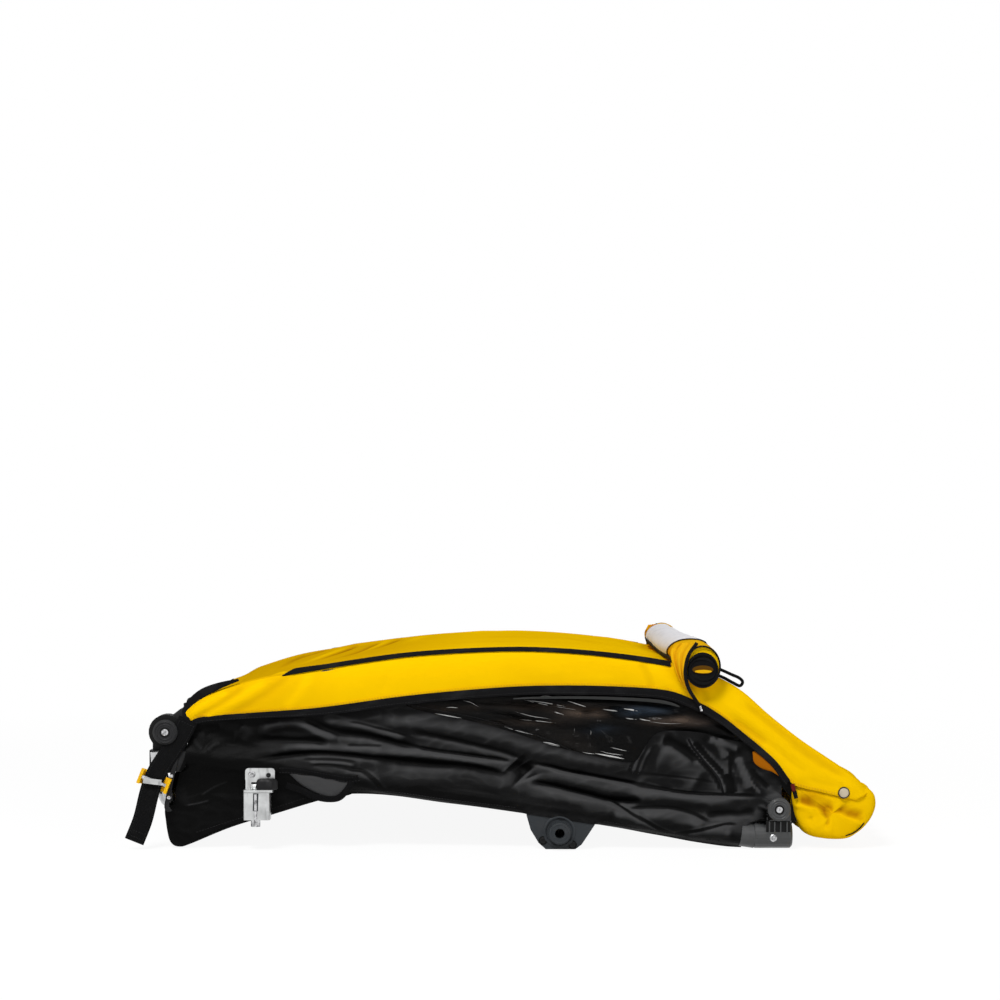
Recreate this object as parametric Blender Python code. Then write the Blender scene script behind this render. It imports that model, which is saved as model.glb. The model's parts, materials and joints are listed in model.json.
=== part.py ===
"""Two-seat child bike trailer, folded flat, with its wheels and tow arm taken off.

Metres, +Z up. -X is the trailer's front and -Y its left side. The origin is on the ground, under the
middle of the folded trailer. Everything is at rest: the hoop lies folded over the seat-back frame.
"""

import math

import bmesh
import bpy
from mathutils import Matrix, Vector

MM = 0.001

# Overall sizes
BODY_WIDTH = 654 * MM
HINGE_SPAN = 767.5 * MM
HINGE_MID_AHEAD = 34.25 * MM
FRONT_HINGE_UP = 147 * MM

# Tubes
RAIL_OD = 28 * MM
HOOP_OD = 22 * MM
FRAME_OD = 22 * MM
BUMPER_OD = 18 * MM
AXLE_TUBE_OD = 25 * MM
SEAT_TUBE_OD = 22 * MM
TUBE_WALL = 1.5 * MM
SPIGOT_LENGTH = 26 * MM

# Fits
TOUCH_GAP = 0.3 * MM
PLUG_GAP = 0.15 * MM
SIDE_CLEARANCE = 2 * MM
HOOP_INSET = 2 * MM

# Hinges
PIVOT_RADIUS = 4 * MM
PIVOT_NUT_RADIUS = 7 * MM
PIVOT_NUT_LENGTH = 6 * MM
KNUCKLE_RADIUS = 21.5 * MM
KNUCKLE_HALF_WIDTH = HOOP_OD / 2 + 0.8 * MM
NECK_RADIUS = KNUCKLE_HALF_WIDTH - 0.4 * MM
FRONT_LUG_RADIUS = 20 * MM
FRONT_LUG_WIDTH = 12 * MM
FRONT_DISC_RADIUS = 15.6 * MM
FRONT_DISC_WIDTH = 8 * MM
REAR_LUG_RADIUS = 15 * MM
REAR_LUG_WIDTH = 22 * MM
REAR_DISC_RADIUS = 14.4 * MM
REAR_DISC_WIDTH = 6 * MM
DISC_EDGE = 1.5 * MM
CUT_PAST = 5 * MM

# Front corner fitting: the undersides of its plate and of its block, as (behind, above) the hinge
CORNER_UNDER_KNUCKLE = 3 * MM
CORNER_PLATE_UNDERSIDE = (
    (-23 * MM, -47 * MM),
    (-8 * MM, -55 * MM),
    (20 * MM, -50 * MM),
    (25.4 * MM, -44 * MM),
)
CORNER_BLOCK_UNDERSIDE = ((2.5 * MM, -50 * MM), (19 * MM, -49.5 * MM), (25 * MM, -43.5 * MM))

# Side rail: how far its centre line runs below the front hinge and, at the rear hinge, below the
# sleeve's centre line, and where it starts and stops
RAIL_BELOW_FRONT_HINGE = 24.6 * MM
RAIL_BELOW_SLEEVE = 5.7 * MM
RAIL_START_BEHIND_HINGE = 28 * MM
RAIL_STOP_AHEAD_OF_HINGE = 33.5 * MM

# Rear corner fitting, and the seat-back frame's room over it
REAR_SLEEVE_WALL = 3 * MM
REAR_SLEEVE_LIP = 1.5 * MM
REAR_SLEEVE_CROWN = 2.5 * MM
SPIGOT_ROOT = 12 * MM
FRAME_OVER_SLEEVE = 5.5 * MM
REAR_SLEEVE_AHEAD = 30.5 * MM
REAR_SLEEVE_BEHIND = 17.5 * MM
REAR_SLEEVE_INWARD = 30 * MM

# Bumper: its leg runs outside the hoop and leans back as it drops
BUMPER_DROP = 88 * MM
BUMPER_BEND_RADIUS = 22 * MM
BUMPER_LEG_OUTSIDE_HOOP = 4 * MM
BUMPER_LEG_LEAN = ((-11.5 * MM, 0 * MM), (-9.5 * MM, 22 * MM))
BUMPER_FOOT_AHEAD = 4 * MM
BUMPER_STUB = 7 * MM

# Axle receiver
AXLE_AHEAD_OF_REAR_HINGE = 274.5 * MM
AXLE_UP = 21.9 * MM
AXLE_BORE_RADIUS = 6.15 * MM
AXLE_BOSS_RADIUS = 13.5 * MM
AXLE_BOSS_OUT = 19 * MM
RECEIVER_HALF_DEPTH = 13 * MM
RECEIVER_AHEAD = 42 * MM
RECEIVER_UNDERSIDE = (
    (-41 * MM, 20 * MM),
    (-36 * MM, 2.5 * MM),
    (-26 * MM, -14 * MM),
    (-17 * MM, -AXLE_UP),
    (20 * MM, -AXLE_UP),
    (28 * MM, -16 * MM),
    (44 * MM, 8 * MM),
    (45.5 * MM, 12 * MM),
)
RECEIVER_BOLTS = ((-19 * MM, -12 * MM), (18 * MM, -16 * MM))
RECEIVER_BOLT_RADIUS = 3.6 * MM
RECEIVER_BOLT_DEPTH = 3 * MM

# Footwell: its front and bottom as (behind the front hinge, height), then its back as (behind the
# front hinge, below the rail's underside), and the front of its rim
FOOTWELL_INSIDE_RAIL = 17 * MM
FOOTWELL_WALL = 2.5 * MM
FOOTWELL_PROFILE = (
    (14 * MM, 89.5 * MM),
    (14 * MM, 60 * MM),
    (11 * MM, 50 * MM),
    (-1 * MM, 46.5 * MM),
    (-3 * MM, 43 * MM),
    (4.5 * MM, 9 * MM),
    (8 * MM, 3 * MM),
    (14 * MM, 0 * MM),
    (26 * MM, 0 * MM),
)
FOOTWELL_BACK = ((206 * MM, 17.1 * MM), (240 * MM, 2.7 * MM))
FOOTWELL_RIM_FROM = 30 * MM
FOOTWELL_UNDER_RAIL = 1 * MM
SEAT_TUBE_BEHIND_HINGE = 253 * MM
FLOOR_BEHIND_SEAT_TUBE = 15 * MM
FLOOR_AHEAD_OF_REAR_TUBE = 23.5 * MM

# Seat cushion, on the floor sheet
CUSHION_BEHIND_TUBE = 10 * MM
CUSHION_LENGTH = 280 * MM
CUSHION_INSIDE_RAIL = 22 * MM
CUSHION_HEIGHT = 19 * MM
CUSHION_EDGE = 3 * MM

# Tow hitch, on the left rail: places are measured from the front hinge
TOW_PLATE_WIDTH = 37 * MM
TOW_PLATE_THICKNESS = 3 * MM
TOW_PLATE_BEHIND_HINGE = 100 * MM
TOW_PLATE_TOP = 101.9 * MM
TOW_PLATE_BOTTOM = 84.4 * MM
TOW_PLATE_CORNER = 4 * MM
TOW_ARM_WIDTH = 7 * MM
TOW_LUG_TOP = 76 * MM
TOW_LUG_PAST_PIN = 11.5 * MM
TOW_LUG_CORNER = 3 * MM
TOW_PIN_BEHIND_HINGE = 113.6 * MM
TOW_PIN_OUT = 7 * MM
TOW_PIN_RADIUS = 3 * MM
TOW_PIN_HEAD_RADIUS = 5.5 * MM
TOW_PIN_HEAD_HEIGHT = 4.5 * MM
TOW_PIN_NUT_RADIUS = 6 * MM
TOW_PIN_NUT_HEIGHT = 8.7 * MM
TOW_KNOB_BEHIND_HINGE = 127.5 * MM
TOW_KNOB_RADIUS = 7.7 * MM
TOW_KNOB_HEIGHT = 11.5 * MM
RECEIVER_BOX_UNDER_LUG = 0.5 * MM
RECEIVER_BOX_HEIGHT = 34 * MM
RECEIVER_BOX_DEPTH = 22 * MM
RECEIVER_BOX_AHEAD_OF_PIN = 14.6 * MM
RECEIVER_BOX_BEHIND_PIN = 18.4 * MM
RECEIVER_SOCKET = 15 * MM
RECEIVER_SOCKET_DEPTH = 24 * MM

# Tow-arm pocket: (behind the front hinge, height)
POCKET_OUTLINE = (
    (150 * MM, 98 * MM),
    (234 * MM, 85.5 * MM),
    (226 * MM, 72 * MM),
    (207 * MM, 63 * MM),
    (196 * MM, 65 * MM),
    (155 * MM, 84 * MM),
)
POCKET_OFF_RAIL = 1.2 * MM
POCKET_THICKNESS = 3 * MM

# Hoop: the apex of its bend, its rear end, and the rise of the front tube over the straight line
HOOP_BEND_AHEAD_OF_REAR_HINGE = 107.5 * MM
HOOP_BEND_UP = 217.5 * MM
HOOP_BEND_LEG = 60 * MM
HOOP_END_BEHIND_REAR_HINGE = 98.5 * MM
HOOP_END_UP = 60.6 * MM
HOOP_RISE = (
    (0.0, 0 * MM),
    (0.066, 24 * MM),
    (0.256, 47 * MM),
    (0.445, 51 * MM),
    (0.634, 46.5 * MM),
    (0.824, 27 * MM),
)
HOOP_TUBE_START = 38 * MM
NECK_TO_TUBE = HOOP_OD * 0.06

# Seat-back frame, measured along the frame from the rear hinge. Folded, it stops short of the front
# hinge
FRAME_SHORT_OF_FRONT_HINGE = 147.5 * MM
FRAME_TOP_TUBE_AT = HINGE_SPAN - FRAME_SHORT_OF_FRONT_HINGE
FRAME_FOLD_ANGLE = math.radians(171.8)
SEAT_BACK_START = 60 * MM
SEAT_BACK_BELOW_TOP_TUBE = 24 * MM
SEAT_BACK_THICKNESS = 9 * MM
HOOK_FOOT_BEFORE_TUBE = 14 * MM
HOOK_TIP_AT = FRAME_TOP_TUBE_AT + 52.5 * MM
HOOK_TIP_LENGTH = 6 * MM
HOOK_TIP_AHEAD = 2 * MM
HOOK_THICKNESS = 6 * MM
HOOK_WIDTH = 24 * MM
HOOK_INSIDE_UPRIGHT = 14 * MM

# Cloth
CLOTH = 2 * MM
CLOTH_GAP = 0.5 * MM
CANOPY_CROWN = 4 * MM
WALL_FOLD = 4 * MM
WALL_SWELL = 1 * MM
WALL_OUTSIDE_RAIL_LINE = 6 * MM
WALL_BEHIND_HINGE = 53 * MM
WALL_AHEAD_OF_REAR_HINGE = 20 * MM
WALL_OFF_TUBE = 1 * MM
PANEL_OUTSIDE_HOOP = HOOP_OD / 2 + 1.8 * MM
ROLL_FLATTENS_CANOPY = 70 * MM
FLAP_PAST_HOOP = 9 * MM
WEBBING_WIDTH = 25 * MM
WEBBING_THICKNESS = 1.6 * MM
ROLL_HALF_WIDTH = 24 * MM
ROLL_HALF_HEIGHT = 19 * MM
ROLL_DROOP = 8 * MM
ROLL_OVERHANG = 19 * MM
ROLL_OFF_PANEL = 2.6 * MM
ELASTIC_RADIUS = 2 * MM
ELASTIC_ROUTE = (
    (23 * MM, -15 * MM),
    (34 * MM, -19.5 * MM),
    (45 * MM, -24.5 * MM),
    (54 * MM, -28.5 * MM),
    (58.5 * MM, -33.5 * MM),
    (55 * MM, -38.5 * MM),
    (46 * MM, -34.5 * MM),
    (36 * MM, -29 * MM),
    (24 * MM, -23.8 * MM),
)
SNAP_RADIUS = 6 * MM
SNAP_FROM_END = 20 * MM
SNAP_BELOW_TUBE = 2 * MM

# Folding strap: (behind the front hinge, outside the body, height)
STRAP_ROUTE = (
    (36 * MM, 2.6 * MM, 163 * MM),
    (33.5 * MM, 2.6 * MM, 147 * MM),
    (16.5 * MM, 2.8 * MM, 119 * MM),
    (-5 * MM, 4.5 * MM, 97 * MM),
    (-13.5 * MM, 4.7 * MM, 85 * MM),
    (-21 * MM, 4.6 * MM, 62 * MM),
    (-29 * MM, 3.6 * MM, 36 * MM),
    (-40 * MM, 2.4 * MM, 10 * MM),
)
BUCKLE_AHEAD_OF_HINGE = 13.3 * MM
BUCKLE_UP = 86.3 * MM
BUCKLE_TILT = math.radians(21.5)
BUCKLE_OFF_BODY = 1.7 * MM
BUCKLE_DEPTH = 9.3 * MM
BUCKLE_PLATE = 1.5 * MM
BUCKLE_BAR_OFF_BODY = 8.3 * MM
BUCKLE_SLACK = 3.5 * MM
BUCKLE_CHEEK = 3.8 * MM
BUCKLE_HEIGHT = 19 * MM
BUCKLE_BAR_RADIUS = 2.4 * MM

# Side panel: how far it hangs below the hoop's tube, by share of the way along the hoop
PANEL_DROP = (
    (0.05, 17 * MM),
    (0.09, 26 * MM),
    (0.14, 33 * MM),
    (0.20, 38 * MM),
    (0.27, 37.5 * MM),
    (0.34, 36 * MM),
    (0.41, 35.5 * MM),
    (0.48, 35 * MM),
    (0.55, 33 * MM),
    (0.62, 31 * MM),
    (0.68, 29 * MM),
    (0.73, 26 * MM),
    (0.77, 20 * MM),
    (0.80, 18 * MM),
    (0.83, 18.5 * MM),
    (0.865, 20.5 * MM),
    (0.90, 27 * MM),
    (0.927, 44 * MM),
    (0.95, 31 * MM),
    (0.975, 18 * MM),
    (1.0, 7 * MM),
)

# Canopy and rear flap: their ends as offsets (back, up) from the hoop's rear end
CANOPY_START = 43 * MM
CANOPY_TAIL = ((16.5 * MM, 11.5 * MM), (20.5 * MM, 2 * MM))
FLAP_PROFILE = (
    (20.5 * MM, -1.5 * MM),
    (19 * MM, -16 * MM),
    (12 * MM, -31 * MM),
    (-4 * MM, -41 * MM),
    (-30 * MM, -45 * MM),
    (-56 * MM, -41 * MM),
    (-73 * MM, -29 * MM),
    (-79 * MM, -13 * MM),
    (-78.5 * MM, 2 * MM),
)

# Crumpled side window: its gap to the wall, and its lower edge as (ahead of the rear hinge, height)
WINDOW_GAP = 4 * MM
WINDOW_EDGE = (
    (469.5 * MM, 186 * MM),
    (436.5 * MM, 179 * MM),
    (373.5 * MM, 167 * MM),
    (298.5 * MM, 144 * MM),
    (223.5 * MM, 118 * MM),
    (173.5 * MM, 108 * MM),
    (145.5 * MM, 126 * MM),
    (98.5 * MM, 142 * MM),
    (42.5 * MM, 138 * MM),
)

TUBE_SIDES = 16
ROUND_SIDES = 24
OVERLAP = 0.1 * MM
TINY = 1e-6

REAR_SLEEVE_RADIUS = RAIL_OD / 2 + REAR_SLEEVE_WALL
REAR_HINGE_UP = 2 * REAR_SLEEVE_RADIUS + FRAME_OD / 2 + FRAME_OVER_SLEEVE
FRONT_X = -HINGE_SPAN / 2 - HINGE_MID_AHEAD
REAR_X = HINGE_SPAN / 2 - HINGE_MID_AHEAD
HALF_WIDTH = BODY_WIDTH / 2
RAIL_Y = HALF_WIDTH - RAIL_OD / 2
HOOP_Y = HALF_WIDTH - HOOP_INSET - HOOP_OD / 2
FRAME_Y = HOOP_Y - HOOP_OD / 2 - SIDE_CLEARANCE - FRAME_OD / 2
BUMPER_LEG_Y = HOOP_Y + BUMPER_LEG_OUTSIDE_HOOP
KNUCKLE_OUT = HOOP_Y + KNUCKLE_HALF_WIDTH
KNUCKLE_IN = HOOP_Y - KNUCKLE_HALF_WIDTH
FRONT_LUG_OUT = KNUCKLE_IN - TOUCH_GAP
FRONT_LUG_IN = FRONT_LUG_OUT - FRONT_LUG_WIDTH
REAR_LUG_OUT = RAIL_Y + REAR_SLEEVE_RADIUS
REAR_LUG_IN = REAR_LUG_OUT - REAR_LUG_WIDTH
FRAME_KNUCKLE_OUT = REAR_LUG_IN - TOUCH_GAP
FRAME_KNUCKLE_IN = FRAME_Y - FRAME_OD / 2 + 1 * MM
PIVOT_BORE_RADIUS = PIVOT_RADIUS + TOUCH_GAP

SIDES = ((-1, "left"), (1, "right"))

COLOURS = {
    "aluminium": ((0.60, 0.61, 0.62), 0.35, 1.0),
    "steel": ((0.55, 0.56, 0.57), 0.25, 1.0),
    "painted_tube": ((0.03, 0.03, 0.032), 0.4, 0.3),
    "black_plastic": ((0.022, 0.022, 0.024), 0.45, 0.0),
    "grey_plastic": ((0.06, 0.062, 0.066), 0.5, 0.0),
    "yellow_plastic": ((0.85, 0.50, 0.02), 0.4, 0.0),
    "yellow_cloth": ((0.90, 0.52, 0.005), 0.65, 0.0),
    "black_cloth": ((0.02, 0.02, 0.021), 0.75, 0.0),
    "clear_vinyl": ((0.10, 0.11, 0.12), 0.12, 0.0),
    "black_webbing": ((0.016, 0.016, 0.017), 0.8, 0.0),
}


def clear_scene():
    for obj in list(bpy.data.objects):
        bpy.data.objects.remove(obj, do_unlink=True)


def material(name):
    """The Principled material of that name, made on first use."""
    if name in bpy.data.materials:
        return bpy.data.materials[name]
    colour, roughness, metallic = COLOURS[name]
    made = bpy.data.materials.new(name)
    made.use_nodes = True
    shader = made.node_tree.nodes["Principled BSDF"]
    shader.inputs["Base Color"].default_value = (*colour, 1.0)
    shader.inputs["Roughness"].default_value = roughness
    shader.inputs["Metallic"].default_value = metallic
    made.diffuse_color = (*colour, 1.0)
    return made


def pivot(name, place):
    """An empty on a joint's axis, which a moving piece hangs on."""
    empty = bpy.data.objects.new(name, None)
    empty.location = place
    bpy.context.scene.collection.objects.link(empty)
    return empty


def place_mesh(name, bm, look, origin=None, parent=None, smooth=True):
    """Turns a bmesh in world coordinates into an object whose origin is at the given point."""
    bmesh.ops.remove_doubles(bm, verts=bm.verts, dist=TINY)
    bmesh.ops.recalc_face_normals(bm, faces=bm.faces)
    bm.verts.ensure_lookup_table()
    origin = Vector(origin) if origin is not None else bm.verts[0].co.copy()
    bmesh.ops.translate(bm, verts=bm.verts, vec=-origin)
    mesh = bpy.data.meshes.new(name)
    bm.to_mesh(mesh)
    bm.free()
    if smooth:
        mesh.shade_smooth()
        mesh.set_sharp_from_angle(angle=math.radians(35))
    obj = bpy.data.objects.new(name, mesh)
    obj.location = origin
    if look:
        mesh.materials.append(material(look))
    if parent:
        obj.parent = parent
        obj.matrix_parent_inverse = Matrix.Translation(-parent.location)
    bpy.context.scene.collection.objects.link(obj)
    return obj


def helper(obj):
    """Marks an object as a cutter or an addition that only a Boolean reads."""
    obj.hide_render = True
    obj.display_type = "WIRE"
    return obj


def boolean(target, other, operation):
    step = target.modifiers.new(other.name, "BOOLEAN")
    step.operation = operation
    step.object = helper(other)
    return target


def cut(target, other):
    return boolean(target, other, "DIFFERENCE")


def join(target, other):
    return boolean(target, other, "UNION")


def ring_frames(points):
    """Two cross directions for each point of a path, turned as little as the path allows."""
    tangents = []
    for i, point in enumerate(points):
        behind = [q for q in points[:i] if (point - q).length > TINY]
        ahead = [q for q in points[i + 1 :] if (q - point).length > TINY]
        start = behind[-1] if behind else point
        stop = ahead[0] if ahead else point
        tangents.append((stop - start).normalized())
    across = tangents[0].orthogonal().normalized()
    frames = []
    for tangent in tangents:
        across = (across - tangent * across.dot(tangent)).normalized()
        frames.append((across, tangent.cross(across)))
    return frames


def sweep_mesh(points, radii, wall=0.0, sides=TUBE_SIDES):
    """A round bar along a path or, with a wall, an open tube. A step in radius repeats its point."""
    points = [Vector(p) for p in points]
    bm = bmesh.new()
    skins = [[], []] if wall else [[]]
    for point, radius, (a, b) in zip(points, radii, ring_frames(points)):
        for skin, inset in zip(skins, (0.0, wall)):
            ring = []
            for k in range(sides):
                turn = 2 * math.pi * (k + 0.5) / sides
                spoke = a * math.cos(turn) + b * math.sin(turn)
                ring.append(bm.verts.new(point + spoke * (radius - inset)))
            skin.append(ring)
    for skin in skins:
        for one, two in zip(skin, skin[1:]):
            bridge(bm, one, two)
    if wall:
        bridge(bm, skins[0][0], skins[1][0])
        bridge(bm, skins[0][-1], skins[1][-1])
    else:
        bm.faces.new(skins[0][0])
        bm.faces.new(skins[0][-1])
    return bm


def bridge(bm, one, two):
    count = len(one)
    for k in range(count):
        bm.faces.new((one[k], one[(k + 1) % count], two[(k + 1) % count], two[k]))


def bar(name, look, points, radii, wall=0.0, sides=TUBE_SIDES, parent=None, origin=None):
    if isinstance(radii, float):
        radii = [radii] * len(points)
    return place_mesh(name, sweep_mesh(points, radii, wall, sides), look, origin, parent)


def prism(name, look, outline, start, stop, axis="Y", parent=None, origin=None):
    """An outline extruded along Y, from outline points (x, z), or along Z, from points (x, y)."""
    bm = bmesh.new()
    if axis == "Y":
        ring = [bm.verts.new((x, start, z)) for x, z in outline]
        reach = (0, stop - start, 0)
    else:
        ring = [bm.verts.new((x, y, start)) for x, y in outline]
        reach = (0, 0, stop - start)
    base = bm.faces.new(ring)
    grown = bmesh.ops.extrude_face_region(bm, geom=[base])
    moved = [v for v in grown["geom"] if isinstance(v, bmesh.types.BMVert)]
    bmesh.ops.translate(bm, verts=moved, vec=reach)
    return place_mesh(name, bm, look, origin, parent)


def cloth(name, look, rows, thickness=CLOTH, parent=None, origin=None):
    """A sheet through a grid of points, thickened evenly on both sides."""
    bm = bmesh.new()
    grid = [[bm.verts.new(p) for p in row] for row in rows]
    for low, high in zip(grid, grid[1:]):
        for a, b, c, d in zip(low, low[1:], high[1:], high):
            bm.faces.new((a, b, c, d))
    obj = place_mesh(name, bm, look, origin, parent)
    shell = obj.modifiers.new("thickness", "SOLIDIFY")
    shell.thickness = thickness
    shell.offset = 0.0
    return obj


def cord(name, look, points, radius, parent):
    """A free cord: a bevelled curve through the points."""
    curve = bpy.data.curves.new(name, "CURVE")
    curve.dimensions = "3D"
    curve.bevel_depth = radius
    curve.bevel_resolution = 2
    curve.use_fill_caps = True
    spline = curve.splines.new("POLY")
    spline.points.add(len(points) - 1)
    for knot, point in zip(spline.points, points):
        knot.co = (*point, 1.0)
    curve.materials.append(material(look))
    obj = bpy.data.objects.new(name, curve)
    obj.parent = parent
    obj.matrix_parent_inverse = Matrix.Translation(-parent.location)
    bpy.context.scene.collection.objects.link(obj)
    return obj


def rounded_box(x0, x1, z0, z1, radius, steps=4):
    """Outline of a rectangle with round corners."""
    outline = []
    corners = ((x1, z1, 0), (x0, z1, 90), (x0, z0, 180), (x1, z0, 270))
    for x, z, turn in corners:
        cx = x - radius if x == x1 else x + radius
        cz = z - radius if z == z1 else z + radius
        for k in range(steps + 1):
            angle = math.radians(turn + 90 * k / steps)
            outline.append((cx + radius * math.cos(angle), cz + radius * math.sin(angle)))
    return outline


def arch(x, z, radius, foot, steps=14):
    """Outline of a lug: a half circle about (x, z) on straight sides down to the foot."""
    outline = []
    for k in range(steps + 1):
        angle = math.pi * k / steps
        outline.append((x + radius * math.cos(angle), z + radius * math.sin(angle)))
    return outline + [(x - radius, foot), (x + radius, foot)]


def smooth_path(points, count):
    """Evenly spaced points on a Catmull-Rom curve through the given ones."""
    points = [Vector(p) for p in points]
    padded = [points[0] * 2 - points[1], *points, points[-1] * 2 - points[-2]]
    dense = []
    for p0, p1, p2, p3 in zip(padded, padded[1:], padded[2:], padded[3:]):
        for k in range(24):
            t = k / 24
            dense.append(
                (
                    p1 * 2
                    + (p2 - p0) * t
                    + (p0 * 2 - p1 * 5 + p2 * 4 - p3) * t**2
                    + (p1 * 3 - p0 - p2 * 3 + p3) * t**3
                )
                / 2
            )
    dense.append(points[-1])
    return [along(dense, length_of(dense) * k / (count - 1)) for k in range(count)]


def length_of(path):
    return sum((b - a).length for a, b in zip(path, path[1:]))


def along(path, distance):
    """The point that lies so far along a path of straight pieces, past its ends too."""
    for a, b in zip(path, path[1:]):
        step = (b - a).length
        if distance <= step or b is path[-1]:
            return a + (b - a) * (distance / step)
        distance -= step
    return path[-1]


def rail_z(x):
    """Height of the side rail's centre line."""
    front = FRONT_HINGE_UP - RAIL_BELOW_FRONT_HINGE
    rear = REAR_SLEEVE_RADIUS - RAIL_BELOW_SLEEVE
    return front + (rear - front) * (x - FRONT_X) / HINGE_SPAN


def hoop_curve():
    """The hoop's side tube in the (x, z) plane, from the front hinge to its rear end."""
    bend = Vector((REAR_X - HOOP_BEND_AHEAD_OF_REAR_HINGE, HOOP_BEND_UP))
    end = Vector((REAR_X + HOOP_END_BEHIND_REAR_HINGE, HOOP_END_UP))
    front = Vector((FRONT_X, FRONT_HINGE_UP))
    rising = [front.lerp(bend, share) + Vector((0, rise)) for share, rise in HOOP_RISE]
    before = bend + (rising[-1] - bend).normalized() * HOOP_BEND_LEG
    after = bend + (end - bend).normalized() * HOOP_BEND_LEG
    round_off = [
        before * (1 - t) ** 2 + bend * (2 * t * (1 - t)) + after * t**2
        for t in (0.0, 0.25, 0.5, 0.75, 1.0)
    ]
    return smooth_path([*rising, *round_off, after.lerp(end, 0.5), end], 160)


HOOP = hoop_curve()
HOOP_LENGTH = length_of(HOOP)
ROOF_LENGTH = (
    Vector((REAR_X + HOOP_END_BEHIND_REAR_HINGE, HOOP_END_UP))
    - Vector((REAR_X - HOOP_BEND_AHEAD_OF_REAR_HINGE, HOOP_BEND_UP))
).length
ELBOW_START = HOOP_LENGTH - ROOF_LENGTH - HOOP_BEND_LEG * 0.8
ELBOW_STOP = HOOP_LENGTH - ROOF_LENGTH + HOOP_BEND_LEG
FIRST_BEND_STOP = 150 * MM
ROLL_AT = HOOP_LENGTH - ROOF_LENGTH - 3 * MM


def hoop_at(distance, outward=0.0):
    """(x, z) on the hoop at a distance from the front hinge, moved off the tube's centre line."""
    here = along(HOOP, distance)
    way = (along(HOOP, distance + MM) - along(HOOP, distance - MM)).normalized()
    return here + Vector((-way.y, way.x)) * outward


def hoop_stations():
    """Distances along the hoop at which its tube and its covers turn, so that the covers fit."""
    stations = [0.0]
    for stop, steps in (
        (HOOP_TUBE_START, 4),
        (HOOP_TUBE_START + SPIGOT_LENGTH, 2),
        (FIRST_BEND_STOP, 3),
        (ELBOW_START - SPIGOT_LENGTH, 7),
        (ELBOW_START, 1),
        (ELBOW_STOP, 6),
        (ELBOW_STOP + SPIGOT_LENGTH, 1),
        (HOOP_LENGTH, 4),
    ):
        start = stations[-1]
        stations += [start + (stop - start) * (k + 1) / steps for k in range(steps)]
    return stations


HOOP_STATIONS = hoop_stations()


def hoop_height(x):
    """Height of the hoop's centre line over a place on the X axis."""
    for a, b in zip(HOOP, HOOP[1:]):
        if a.x <= x <= b.x:
            return a.y + (b.y - a.y) * (x - a.x) / (b.x - a.x)
    return HOOP[-1].y


def frame_point(distance, forward=0.0):
    """(x, z) on the folded seat-back frame: along it from its hinge, and off its front face."""
    u = Vector((math.cos(FRAME_FOLD_ANGLE), math.sin(FRAME_FOLD_ANGLE)))
    ahead = Vector((-u.y, u.x))
    return Vector((REAR_X, REAR_HINGE_UP)) + u * distance + ahead * forward


def bore_y(name, x, z, radius, start, stop):
    return bar(name, None, [(x, start, z), (x, stop, z)], radius, sides=ROUND_SIDES)


def bolt(name, x, z, side, disc, disc_width, out, inside):
    """A hinge bolt: cover disc outside, shaft through the lug and knuckle, nut inside."""
    places = (
        (out + TOUCH_GAP + disc_width, disc - DISC_EDGE),
        (out + TOUCH_GAP + disc_width - DISC_EDGE, disc),
        (out + TOUCH_GAP, disc),
        (out + TOUCH_GAP, PIVOT_RADIUS),
        (inside - TOUCH_GAP, PIVOT_RADIUS),
        (inside - TOUCH_GAP, PIVOT_NUT_RADIUS),
        (inside - TOUCH_GAP - PIVOT_NUT_LENGTH, PIVOT_NUT_RADIUS),
    )
    points = [(x, side * y, z) for y, _ in places]
    radii = [radius for _, radius in places]
    return bar(name, "black_plastic", points, radii, sides=ROUND_SIDES, origin=(x, side * out, z))


def plug_radius(tube_od, sides=TUBE_SIDES):
    """Radius of a plug that slides in a tube whose bore has flats."""
    return (tube_od / 2 - TUBE_WALL) * math.cos(math.pi / sides) - PLUG_GAP


def side_rail(side, word):
    start = FRONT_X + RAIL_START_BEHIND_HINGE
    stop = REAR_X - RAIL_STOP_AHEAD_OF_HINGE
    ends = [(x, side * RAIL_Y, rail_z(x)) for x in (start, stop)]
    bar(f"side_rail_{word}", "painted_tube", ends, RAIL_OD / 2, TUBE_WALL, sides=20)


def rail_spigot(name, x, toward, side):
    """A plug on the rail's own line, which a corner fitting pushes into the rail."""
    ends = [(q, side * RAIL_Y, rail_z(q)) for q in (x, x + toward)]
    return bar(name, None, ends, plug_radius(RAIL_OD))


def hung_outline(x, z, top, underside):
    """Outline with a flat top, over an underside given by its offsets from (x, z)."""
    outline = [(x + underside[0][0], top)]
    outline += [(x + dx, z + dz) for dx, dz in underside]
    return outline + [(x + underside[-1][0], top)]


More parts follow.
